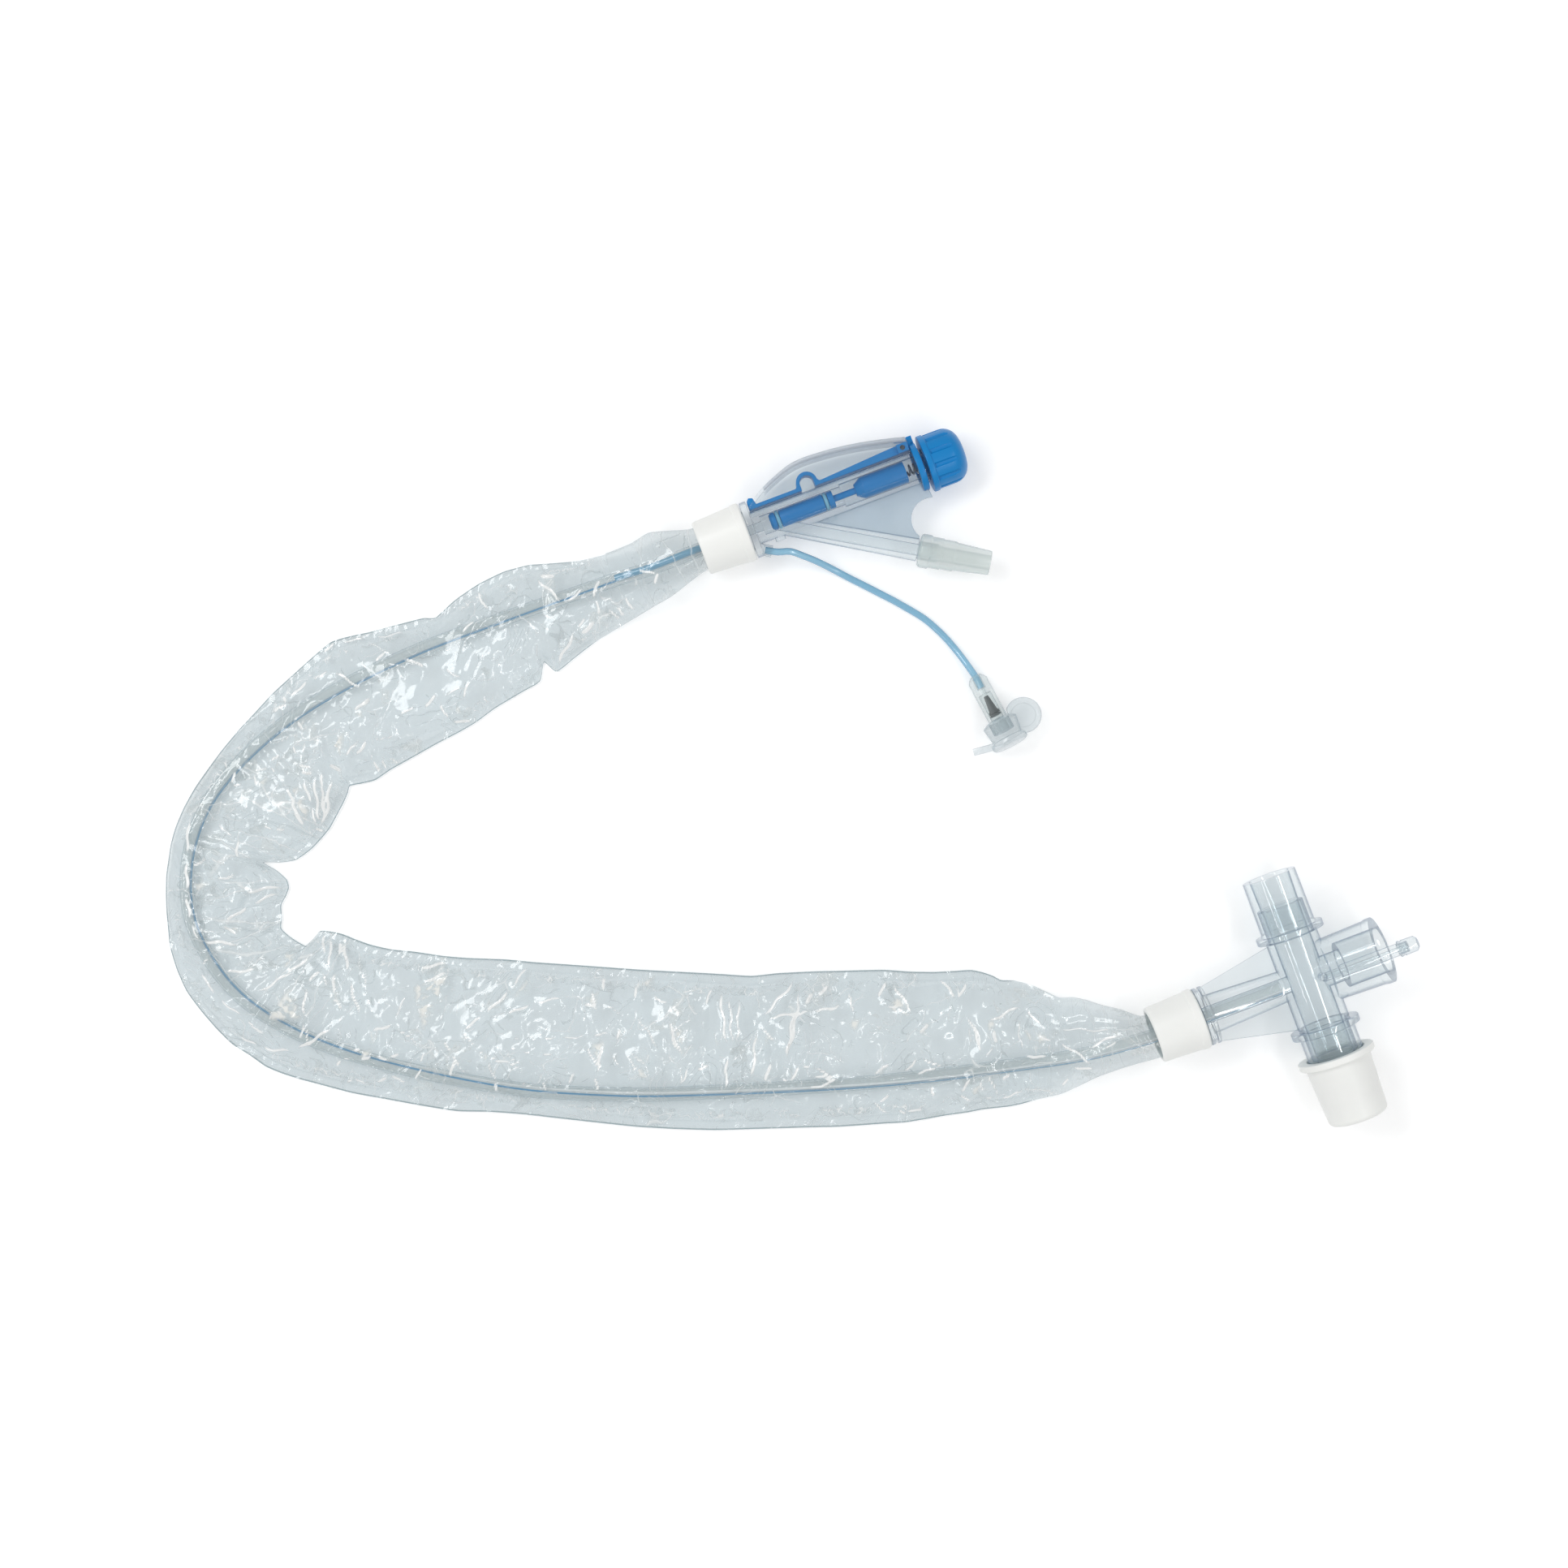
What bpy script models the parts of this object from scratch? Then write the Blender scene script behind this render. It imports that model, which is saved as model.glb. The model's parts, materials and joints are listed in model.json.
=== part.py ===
"""Closed suction catheter set: control valve, sleeved catheter, T manifold and irrigation line.

The set lies on a table. X runs along the valve and the manifold's socket, Y across them, Z up.
Lengths below are in millimetres. Run: blender --background --python part.py
"""

import math

import bpy
import bmesh
from mathutils import Matrix, Vector

MM = 0.001
NODE_COLLECTION = "suction_catheter"
CUTTER_COLLECTION = "suction_catheter_cutters"

# Round pieces: facets round the axis
ROUND = 28
SMALL_ROUND = 16
TINY_ROUND = 12

# Clearances
SEAT_GAP = 0.35
RUN_GAP = 0.3
CUT_PAST = 1.5

# Catheter, 14 French, and the line for the flushing saline
CATHETER_OD = 4.67
CATHETER_WALL = 0.68
FLUSH_OD = 2.3
FLUSH_WALL = 0.45
FLUSH_LENGTH_IN_SLEEVE = 29.0
HUB_BORE_OVER_CATHETER = 0.55
HUB_WALL_BETWEEN_BORES = 0.3

# Film sleeve
SLEEVE_WALL = 0.4
SLEEVE_NECK_R = 7.4
SLEEVE_PUFF = 9.4
SLEEVE_SECTION_POINTS = 20
SLEEVE_SECTIONS = 76
SLEEVE_TOP_BLEND = 70.0
SLEEVE_BOTTOM_BLEND = 35.0
SLEEVE_SHAPE_BLEND = 40.0
SLEEVE_ROUND_POWER = 2.0
SLEEVE_PILLOW_POWER = 3.2
SLEEVE_UNDERSIDE_FLATTENING = 1.3
SLEEVE_FOLD_DEPTH = 1.1
SLEEVE_FOLD_PITCH = 41.0
SLEEVE_CROSS_FOLD_PITCH = 27.0
CATHETER_DROP_START = 5.0
CATHETER_DROP = 45.0
CATHETER_OVER_FILM = 0.35

# White ferrules over the sleeve's two ends
FERRULE_WALL_AT_MOUTH = 1.2
FERRULE_EDGE = 0.5
FERRULE_LENGTH = 16.3
VALVE_FERRULE_R = 9.9
PATIENT_FERRULE_R = 10.15

# Control valve, along its own axis from the ferrule's outer end
VALVE_AT = (-119.0, 200.0)
VALVE_COLLAR_R = 9.5
VALVE_COLLAR_LENGTH = 2.3
VALVE_TUBE_R = 5.5
VALVE_LENGTH = 61.2
VALVE_NECK_R = 5.0
VALVE_NECK_LENGTH = 7.0
HUB_LENGTH = 14.4
FRONT_BORE_R = 3.2
FRONT_BORE_START = 5.2
REAR_BORE_R = 3.9
REAR_BORE_START = 33.0
LUMEN_R = 1.6
PORT_BOSS_R = 1.7
PORTS_AT = (9.3, 27.2)

# Spool and spring
SPOOL_START = 8.0
FRONT_LAND_END = 30.0
REAR_LAND_START = 37.5
SPRING_ROOM = 6.2
SPOOL_NECK_R = 1.1
SPOOL_TRAVEL = 3.0
SEAL_WIDTH = 1.5
SEAL_DEPTH = 0.7
SEAL_GAP = 0.12
SPRING_WIRE = 0.62
SPRING_R = 1.65
SPRING_TURNS = 3.5
SPRING_STEPS_PER_TURN = 12

# Suction branch
BRANCH_FROM = 7.7
BRANCH_ANGLE = math.radians(-30.9)
BRANCH_LENGTH = 49.1
BRANCH_START_R = 3.1
BRANCH_END_R = 3.8
BRANCH_SPIGOT_R = 2.7
BRANCH_SPIGOT_LENGTH = 6.0
BRANCH_BORE_R = 1.9
WEB_THICKNESS = 2.0
WEB_SHORT_OF_END = 0.8
WEB_DEPTH = 10.8
WEB_BITE_AT = (58.0, -17.6)
WEB_BITE_R = 7.1

# Stepped vacuum connector on the branch
CONNECTOR_COLLAR_R = 5.6
CONNECTOR_COLLAR_LENGTH = 4.0
CONNECTOR_STEP_R = 5.2
CONNECTOR_STEP_END = 7.6
CONNECTOR_LAND_R = 5.0
CONNECTOR_LAND_END = 11.6
CONNECTOR_ROOT_R = 4.7
CONNECTOR_TIP_R = 4.0
CONNECTOR_LENGTH = 23.7
CONNECTOR_BORE_R = 2.4

# Thumb press, an arch over the valve tube, hinged at the cap end. Its outline is shares of its reach, and heights
PRESS_OUTLINE = ((0.05, 6.4), (0.137, 10.1), (0.246, 13.0), (0.378, 15.2), (0.555, 15.0), (0.739, 13.6), (0.919, 11.3))
PRESS_END_PAST_PIVOT = 1.8
PRESS_END_HEIGHT = 10.0
PRESS_SKIRT_HEIGHT = 4.2
PRESS_WALL = 1.2
PRESS_TOP_START = 9.6
PRESS_PIVOT_BACK = 2.2
PRESS_PIVOT_HEIGHT = 7.2
PRESS_PIN_R = 0.7
PRESS_PIN_LENGTH = 2.4
PIN_GAP = 0.15

# Blue return strip on the tube, with its looped hump, wedge and ring
STRIP_WIDTH = 7.0
STRIP_THICKNESS = 1.2
STRIP_START = 3.0
STRIP_KNOB_LENGTH = 2.7
STRIP_KNOB_HEIGHT = 9.6
HUMP_AT = 23.5
HUMP_WIDTH = 7.0
HUMP_HEIGHT = 11.3
WEDGE_START = 28.5
WEDGE_HEIGHT = 8.6
HINGE_BLOCK_LENGTH = 4.6
RING_THICKNESS = 2.0
RING_R = 8.15
RING_TAB_HEIGHT = 10.3
RING_TAB_WIDTH = 5.0

# Lock cap
LOCK_CAP_R = 9.5
LOCK_CAP_LENGTH = 13.2
LOCK_CAP_LIP = 1.8
LOCK_CAP_LIP_STEP = 0.35
LOCK_CAP_GRIP_END = 8.6
GRIP_COUNT = 12
GRIP_WIDTH = 1.1
GRIP_DEPTH = 0.55

# Manifold, from the centre of its through tube
BODY_R = 8.65
BODY_UP = 14.4
BODY_DOWN = 15.6
NECK_R = 7.35
NECK_LENGTH = 10.5
THROUGH_BORE_R = 6.2
SWIVEL_RING_THICKNESS = 2.2
SWIVEL_RING_OVERHANG = 2.2
UPPER_SWIVEL_R = 9.05
UPPER_SWIVEL_END = 35.4
LOWER_SWIVEL_R = 9.25
LOWER_SWIVEL_END = 41.0
SWIVEL_TIP_TAPER = 0.15
SOCKET_START = 6.5
SOCKET_ROOT_R = 7.2
SOCKET_THROAT_R = 5.2
SOCKET_BASE_END = 9.8
SOCKET_BASE_R = 10.5
SOCKET_END = 26.2
SOCKET_MOUTH_R = 11.25
SOCKET_BORE_R = 7.6
SOCKET_BORE_START = 12.0
ARM_START_R = 5.0
ARM_END_R = 6.5
COLLAR_AT = 33.4
COLLAR_R = 9.75
COLLAR_RING = 1.2
COLLAR_GROOVE = 0.8
COLLAR_GROOVE_DEPTH = 1.1
ARM_BORE_R = 2.75
GUSSET_THICKNESS = 1.6
GATE_AT = -11.3
GATE_R = 2.5
GATE_STAND = 0.45

# Wiper in the manifold's hub
WIPER_CHAMBER_R = 4.7
WIPER_CHAMBER_DEPTH = 11.2
WIPER_THICKNESS = 2.9
WIPER_BORE_R = 2.55
RETAINER_LENGTH = 3.4

# Flush port on the manifold
FLUSH_PORT_HEIGHT = 12.3
FLUSH_PORT_R = 2.05
FLUSH_PORT_NECK_R = 1.35
FLUSH_PORT_RISER_AT = 3.2
FLUSH_PORT_START = 8.9
FLUSH_PORT_END = 28.4
FLUSH_PORT_SPIGOT = 3.0
FLUSH_PORT_SPIGOT_R = 1.5
FLUSH_PORT_BORE_R = 0.75
FLUSH_CAP_R = 2.65
FLUSH_CAP_LENGTH = 6.4

# White cap on the manifold's lower end
PROTECTIVE_CAP_START = 26.1
PROTECTIVE_CAP_END = 48.4
PROTECTIVE_CAP_FLANGE_R = 12.7
PROTECTIVE_CAP_FLANGE = 2.2
PROTECTIVE_CAP_R = 10.85
PROTECTIVE_CAP_TIP_R = 9.9
PROTECTIVE_CAP_ROUNDING = 1.6
PROTECTIVE_CAP_FLOOR = 1.4

# Irrigation line, its gland on the valve's collar and the check valve at its end
GLAND_AT = (1.3, -6.6)
GLAND_ANGLE = math.radians(-32.0)
GLAND_LENGTH = 4.6
GLAND_R = 1.95
IRRIGATION_LIFT = 0.1
CHECK_VALVE_R = 3.35
CHECK_VALVE_LENGTH = 20.4
CHECK_VALVE_SHOULDER = 2.0
CHECK_VALVE_SOCKET = 4.8
CHECK_VALVE_CHAMBER_R = 2.2
CONE_AT = 7.6
CONE_LENGTH = 6.4
CONE_TIP_R = 0.8
CONE_BASE_R = 1.5
DISC_R = 1.95
DISC_THICKNESS = 0.5
SOFT_CAP_SHOULDER_R = 6.0
SOFT_CAP_WAIST_R = 5.2
SOFT_CAP_RIM_R = 6.3
SOFT_CAP_WAIST_AT = 6.8
SOFT_CAP_LENGTH = 9.4
SOFT_CAP_SOCKET = 4.0
SOFT_CAP_BOTTOM = 1.4
LOOP_CENTRE = (8.0, 2.4)
LOOP_R = 4.9
LOOP_BEAD_R = 1.1
LOOP_WEB = 0.9
PULL_TAB_LENGTH = 9.0
PULL_TAB_WIDTH = 2.3
PULL_TAB_THICKNESS = 1.3

# Film sleeve as it lies: outer edge x, y and inner edge x, y, from the valve to the manifold
SLEEVE_EDGES = (
    (-149, 211, -149, 189), (-156, 210, -156, 188), (-174, 211, -176, 184), (-187, 214, -188, 181),
    (-197, 216, -199, 180), (-207, 214, -207, 178), (-226, 210, -223, 177), (-236, 212, -235, 175),
    (-247, 213, -246, 173), (-260, 213, -258, 170), (-278, 207, -276, 162), (-299, 197, -283, 156),
    (-317, 187, -294, 152), (-332, 171, -307, 156), (-340, 157, -302, 144), (-344, 142, -307, 136),
    (-343, 120, -302, 125), (-334, 100, -297, 127), (-316, 82, -287, 121), (-289, 64, -265, 106),
    (-254, 45, -232, 91), (-218, 28, -198, 76), (-181, 14, -163, 62), (-148, 3, -131, 51),
    (-122, -3, -108, 42), (-96, -9, -92, 32), (-79, -7, -79, 22), (-67, -6, -67, 15),
)

# Catheter as it lies in the sleeve, from the valve to the manifold
CATHETER_ROUTE = (
    (-153, 200), (-167, 201), (-203, 202), (-237, 202), (-272, 198), (-298, 190), (-318, 178), (-331, 160),
    (-335, 139), (-327, 113), (-303, 87), (-262, 60), (-228, 44), (-194, 32), (-138, 15), (-86, 3),
)

# Irrigation line as it lies on the table
IRRIGATION_ROUTE = (
    (-108.8, 189.3), (-104.6, 186.2), (-100.6, 182.8), (-96.6, 178.8), (-92.7, 174.5), (-88.9, 170.4),
    (-85.1, 166.2), (-81.2, 161.9), (-77.6, 157.5), (-74.9, 154.2), (-72.8, 150.6), (-70.7, 146.5),
    (-69.0, 142.1), (-67.8, 138.4), (-66.8, 134.6),
)
IRRIGATION_DROP = 24.0
IRRIGATION_RISE = 16.0
CHECK_VALVE_AT = (-65.6, 129.8)
CHECK_VALVE_HEADING = math.radians(-83.4)

BLUE = (0.0, 0.17, 0.55)
PALE_BLUE = (0.25, 0.55, 0.66)
CLEAR = (0.72, 0.80, 0.85)
WHITE = (0.86, 0.86, 0.83)
MILKY = (0.70, 0.76, 0.74)
FILM = (0.70, 0.77, 0.80)
SEAL_BLUE = (0.30, 0.58, 0.72)
DARK = (0.06, 0.07, 0.08)
STEEL = (0.55, 0.56, 0.58)
SILICONE = (0.62, 0.64, 0.64)

# Sizes that follow from those above
CATHETER_R = CATHETER_OD / 2
FLUSH_R = FLUSH_OD / 2
SLEEVE_INNER_R = SLEEVE_NECK_R - SLEEVE_WALL
HUB_R = SLEEVE_INNER_R - SEAT_GAP
FERRULE_BORE_R = SLEEVE_NECK_R + SEAT_GAP
VALVE_Z = max(VALVE_FERRULE_R, LOCK_CAP_R)
MANIFOLD_Z = PROTECTIVE_CAP_FLANGE_R
HUB_BORE_R = CATHETER_R + HUB_BORE_OVER_CATHETER / 2
FLUSH_BORE_R = FLUSH_R + HUB_BORE_OVER_CATHETER / 2
BORE_SPACING = HUB_BORE_R + FLUSH_BORE_R + HUB_WALL_BETWEEN_BORES
CATHETER_BELOW_AXIS = BORE_SPACING - FLUSH_BORE_R - FLUSH_R
COLLAR_END = COLLAR_AT + 2 * COLLAR_RING + COLLAR_GROOVE
HUB_END = COLLAR_END + HUB_LENGTH
CATHETER_Z = SLEEVE_WALL + CATHETER_OVER_FILM + CATHETER_R
RING_AT = VALVE_LENGTH - RING_THICKNESS - 0.6
PRESS_PIVOT = (RING_AT - PRESS_PIVOT_BACK, PRESS_PIVOT_HEIGHT)
PRESS_END = PRESS_PIVOT[0] + PRESS_END_PAST_PIVOT
SPOOL_END = VALVE_LENGTH - SPRING_ROOM
LOCK_CAP_AT = VALVE_LENGTH + 0.7


def new_collection(name, hidden):
    collection = bpy.data.collections.new(name)
    collection.hide_render = hidden
    bpy.context.scene.collection.children.link(collection)
    return collection


def clear_scene():
    for obj in list(bpy.data.objects):
        bpy.data.objects.remove(obj, do_unlink=True)


def finish_material(name, colour, roughness, metallic=0.0):
    material = bpy.data.materials.new(name)
    material.use_nodes = True
    shader = material.node_tree.nodes["Principled BSDF"]
    shader.inputs["Base Color"].default_value = (*colour, 1.0)
    shader.inputs["Roughness"].default_value = roughness
    shader.inputs["Metallic"].default_value = metallic
    material.diffuse_color = (*colour, 1.0)
    return material


def empty_at(name, parent, location=(0, 0, 0)):
    empty = bpy.data.objects.new(name, None)
    empty.empty_display_size = 0.005
    empty.location = [value * MM for value in location]
    empty.parent = parent
    NODES.objects.link(empty)
    return empty


def place(obj, parent, location, rotation, material):
    obj.location = [value * MM for value in location]
    obj.rotation_euler = rotation
    obj.parent = parent
    if material:
        obj.data.materials.append(material)
        NODES.objects.link(obj)
    else:
        CUTTERS.objects.link(obj)
        obj.display_type = "WIRE"
        obj.hide_render = True
    return obj


# Turns a shape's own Z to the direction named
TURN = {
    "Z": (0, 0, 0),
    "X": (0, math.radians(90), 0),
    "-X": (0, math.radians(-90), 0),
    "Y": (math.radians(-90), 0, 0),
    "-Y": (math.radians(90), 0, 0),
}


def turned(name, profile, parent, direction="Z", at=(0, 0, 0), material=None, facets=ROUND, turn=None):
    """A turned piece. The profile is (along, radius), from the far end down the outside and back up the bore."""
    points = [(radius * MM, 0, along * MM) for along, radius in profile]
    closed = profile[0][1] > 0
    edges = [(i, i + 1) for i in range(len(points) - 1)]
    if closed:
        edges.append((len(points) - 1, 0))
    mesh = bpy.data.meshes.new(name)
    mesh.from_pydata(points, edges, [])
    obj = bpy.data.objects.new(name, mesh)
    screw = obj.modifiers.new("Turn", "SCREW")
    screw.axis = "Z"
    screw.angle = 2 * math.pi
    screw.steps = facets
    screw.render_steps = facets
    screw.use_merge_vertices = True
    screw.merge_threshold = 0.00001
    screw.use_smooth_shade = False
    return place(obj, parent, at, turn or TURN[direction], material)


def rod(name, radius, start, end, parent, direction="Z", at=(0, 0, 0), material=None, facets=ROUND, end_radius=None):
    """A plain or tapered round bar from start to end along the direction."""
    end_radius = end_radius or radius
    mesh = bpy.data.meshes.new(name)
    shape = bmesh.new()
    bmesh.ops.create_cone(
        shape,
        cap_ends=True,
        segments=facets,
        radius1=radius * MM,
        radius2=end_radius * MM,
        depth=(end - start) * MM,
        matrix=Matrix.Translation((0, 0, (start + end) / 2 * MM)),
    )
    shape.to_mesh(mesh)
    shape.free()
    return place(bpy.data.objects.new(name, mesh), parent, at, TURN[direction], material)


def block(name, low, high, parent, at=(0, 0, 0), material=None, rotation=(0, 0, 0)):
    """A box between two corners."""
    mesh = bpy.data.meshes.new(name)
    shape = bmesh.new()
    bmesh.ops.create_cube(shape, size=1.0)
    size = [(b - a) * MM for a, b in zip(low, high)]
    middle = [(a + b) / 2 * MM for a, b in zip(low, high)]
    bmesh.ops.scale(shape, vec=size, verts=shape.verts)
    bmesh.ops.translate(shape, vec=middle, verts=shape.verts)
    shape.to_mesh(mesh)
    shape.free()
    return place(bpy.data.objects.new(name, mesh), parent, at, rotation, material)


def flat(name, outline, thickness, parent, at=(0, 0, 0), material=None):
    """A flat outline in X and Y, as thick as given, half to each side. The filled curve becomes a closed mesh."""
    curve = bpy.data.curves.new(name, "CURVE")
    curve.dimensions = "2D"
    curve.fill_mode = "BOTH"
    curve.extrude = thickness / 2 * MM
    spline = curve.splines.new("POLY")
    spline.points.add(len(outline) - 1)
    for point, (x, y) in zip(spline.points, outline):
        point.co = (x * MM, y * MM, 0, 1)
    spline.use_cyclic_u = True
    mesh = mesh_of_curve(name, curve)
    return place(bpy.data.objects.new(name, mesh), parent, at, (0, 0, 0), material)


def mesh_of_curve(name, curve):
    """The curve's own mesh, with its loose caps joined to the sides."""
    holder = bpy.data.objects.new(name + "_curve", curve)
    bpy.context.scene.collection.objects.link(holder)
    graph = bpy.context.evaluated_depsgraph_get()
    mesh = bpy.data.meshes.new_from_object(holder.evaluated_get(graph))
    bpy.data.objects.remove(holder, do_unlink=True)
    shape = bmesh.new()
    shape.from_mesh(mesh)
    bmesh.ops.remove_doubles(shape, verts=shape.verts, dist=0.000002)
    bmesh.ops.recalc_face_normals(shape, faces=shape.faces)
    shape.to_mesh(mesh)
    shape.free()
    mesh.name = name
    return mesh


def combine(obj, pieces, operation, word):
    """One exact Boolean with all the pieces, which go in a collection of their own."""
    group = bpy.data.collections.new(f"{obj.name}_{word}_{len(obj.modifiers)}")
    CUTTERS.children.link(group)
    for piece in pieces:
        CUTTERS.objects.unlink(piece)
        group.objects.link(piece)
    boolean = obj.modifiers.new(word, "BOOLEAN")
    boolean.operation = operation
    boolean.operand_type = "COLLECTION"
    boolean.collection = group
    return obj


def join(obj, pieces):
    return combine(obj, pieces, "UNION", "joined")


def cut(obj, pieces):
    return combine(obj, pieces, "DIFFERENCE", "cut")


def ease(t):
    """0 to 1 with a soft start and end."""
    t = min(max(t, 0.0), 1.0)
    return t * t * (3 - 2 * t)


def mix(a, b, t):
    return a + (b - a) * t


def through(points, per_span):
    """Points on a smooth curve through the given ones."""
    ends = [2 * points[0] - points[1]] + list(points) + [2 * points[-1] - points[-2]]
    found = []
    for a, b, c, d in zip(ends, ends[1:], ends[2:], ends[3:]):
        for step in range(per_span):
            t = step / per_span
            found.append(
                0.5 * (2 * b + (c - a) * t + (2 * a - 5 * b + 4 * c - d) * t * t + (3 * b - a - 3 * c + d) * t ** 3)
            )
    found.append(points[-1].copy())
    return found


def evenly(points, count, width=3):
    """The same line with evenly spaced points, measured on the first coordinates."""
    reach = [0.0]
    for a, b in zip(points, points[1:]):
        reach.append(reach[-1] + (Vector(b[:width]) - Vector(a[:width])).length)
    found = []
    i = 0
    for step in range(count):
        wanted = reach[-1] * step / (count - 1)
        while i < len(reach) - 2 and reach[i + 1] < wanted:
            i += 1
        share = (wanted - reach[i]) / max(reach[i + 1] - reach[i], 1e-9)
        found.append(points[i].lerp(points[i + 1], min(share, 1.0)))
    return found, reach[-1]


def tube_along(name, points, radius, parent, material, sides_level=2):
    """A solid tube along a line of points."""
    curve = bpy.data.curves.new(name, "CURVE")
    curve.dimensions = "3D"
    curve.bevel_depth = radius * MM
    curve.bevel_resolution = sides_level
    curve.use_fill_caps = True
    spline = curve.splines.new("POLY")
    spline.points.add(len(points) - 1)
    for point, place_at in zip(spline.points, points):
        point.co = (*(place_at * MM), 1)
    obj = bpy.data.objects.new(name, curve)
    return place(obj, parent, (0, 0, 0), (0, 0, 0), material)


def hollow_tube_along(name, points, radius, wall, parent, material, sides_level=2):
    """A tube with an open bore along a line of points."""
    curve = bpy.data.curves.new(name, "CURVE")
    curve.dimensions = "3D"
    curve.bevel_depth = radius * MM
    curve.bevel_resolution = sides_level
    spline = curve.splines.new("POLY")
    spline.points.add(len(points) - 1)
    for point, place_at in zip(spline.points, points):
        point.co = (*(place_at * MM), 1)
    obj = place(bpy.data.objects.new(name, mesh_of_curve(name, curve)), parent, (0, 0, 0), (0, 0, 0), material)
    bore = obj.modifiers.new("Bore", "SOLIDIFY")
    bore.thickness = wall * MM
    bore.offset = -1
    bore.use_rim = True
    return obj


def valve_ferrule(valve):
    mouth_r = FERRULE_BORE_R + FERRULE_WALL_AT_MOUTH
    profile = (
        (0, VALVE_FERRULE_R - FERRULE_EDGE),
        (-FERRULE_EDGE, VALVE_FERRULE_R),
        (-FERRULE_LENGTH + FERRULE_EDGE, mouth_r),
        (-FERRULE_LENGTH, mouth_r - FERRULE_EDGE),
        (-FERRULE_LENGTH, FERRULE_BORE_R),
        (0, FERRULE_BORE_R),
    )
    return turned("valve_ferrule", profile, valve, "X", material=white)


def valve_body(valve, branch):
    start = RUN_GAP
    profile = (
        (VALVE_LENGTH + VALVE_NECK_LENGTH, 0),
        (VALVE_LENGTH + VALVE_NECK_LENGTH, VALVE_NECK_R),
        (VALVE_LENGTH, VALVE_NECK_R),
        (VALVE_LENGTH, VALVE_TUBE_R),
        (start + VALVE_COLLAR_LENGTH, VALVE_TUBE_R),
        (start + VALVE_COLLAR_LENGTH, VALVE_COLLAR_R),
        (start, VALVE_COLLAR_R),
        (start, HUB_R),
        (start - HUB_LENGTH + 1.0, HUB_R),
        (start - HUB_LENGTH, HUB_R - 0.6),
        (start - HUB_LENGTH, 0),
    )
    body = turned("valve_body", profile, valve, "X", material=clear)
    web_outline = (
        (BRANCH_FROM + 2.0, -1.0),
        (VALVE_LENGTH - 1.8, -1.0),
        (VALVE_LENGTH - WEB_SHORT_OF_END, -WEB_DEPTH),
        *web_end_points(),
        (BRANCH_FROM + 4.0, -2.0),
    )
    web = flat("valve_web", web_outline, WEB_THICKNESS, valve)
    arm = rod("branch_tube", BRANCH_START_R, 0, BRANCH_LENGTH, branch, "X", end_radius=BRANCH_END_R, facets=SMALL_ROUND)
    spigot = rod(
        "branch_spigot", BRANCH_SPIGOT_R, BRANCH_LENGTH - 1, BRANCH_LENGTH + BRANCH_SPIGOT_LENGTH, branch, "X",
        facets=SMALL_ROUND,
    )
    gland = gland_rod("gland_boss", GLAND_R, 0, GLAND_LENGTH, valve)
    bosses = [
        rod(f"port_boss_{i}", PORT_BOSS_R, FRONT_BORE_R, VALVE_TUBE_R + 1.2, valve, "-Y", (s, 0, 0), facets=TINY_ROUND)
        for i, s in enumerate(PORTS_AT)
    ]
    bite = rod(
        "web_bite", WEB_BITE_R, -WEB_THICKNESS, WEB_THICKNESS, valve, "Z", (*WEB_BITE_AT, 0), facets=ROUND
    )
    join(body, [web])
    cut(body, [bite])
    join(body, [arm, spigot, gland, *bosses])
    past_end = VALVE_LENGTH + VALVE_NECK_LENGTH + CUT_PAST
    bores = [
        rod("rear_bore", REAR_BORE_R, REAR_BORE_START, past_end, valve, "X"),
        rod("front_bore", FRONT_BORE_R, FRONT_BORE_START, REAR_BORE_START + 1, valve, "X"),
        rod("lumen_bore", LUMEN_R, -2.2, FRONT_BORE_START + 1, valve, "X", (0, 0, -CATHETER_BELOW_AXIS / 2),
            facets=TINY_ROUND),
        rod("catheter_socket", HUB_BORE_R, -HUB_LENGTH - CUT_PAST, -1.0, valve, "X", (0, 0, -CATHETER_BELOW_AXIS),
            facets=SMALL_ROUND),
        rod("flush_socket", FLUSH_BORE_R, -HUB_LENGTH - CUT_PAST, -1.0, valve, "X",
            (0, 0, BORE_SPACING - CATHETER_BELOW_AXIS), facets=TINY_ROUND),
        rod("branch_bore", BRANCH_BORE_R, FRONT_BORE_R, BRANCH_LENGTH + BRANCH_SPIGOT_LENGTH + CUT_PAST, branch, "X",
            facets=TINY_ROUND),
        gland_rod("gland_bore", FLUSH_R + RUN_GAP, GLAND_LENGTH / 3, GLAND_LENGTH + CUT_PAST, valve),
    ]
    return cut(body, bores)


def web_end_points():
    """The web's edge along the vacuum connector's collar, square to the branch."""
    along = Vector((math.cos(BRANCH_ANGLE), math.sin(BRANCH_ANGLE)))
    across = Vector((-along.y, along.x))
    end = Vector((BRANCH_FROM, 0)) + along * (BRANCH_LENGTH - 0.5)
    return tuple(end + across * CONNECTOR_COLLAR_R), tuple(end)


def gland_rod(name, radius, start, end, valve):
    """A round bar along the irrigation line's gland."""
    shape = rod(name, radius, start, end, valve, "X", (*GLAND_AT, 0), facets=SMALL_ROUND)
    shape.rotation_euler = (0, math.radians(90), GLAND_ANGLE)
    return shape


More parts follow.
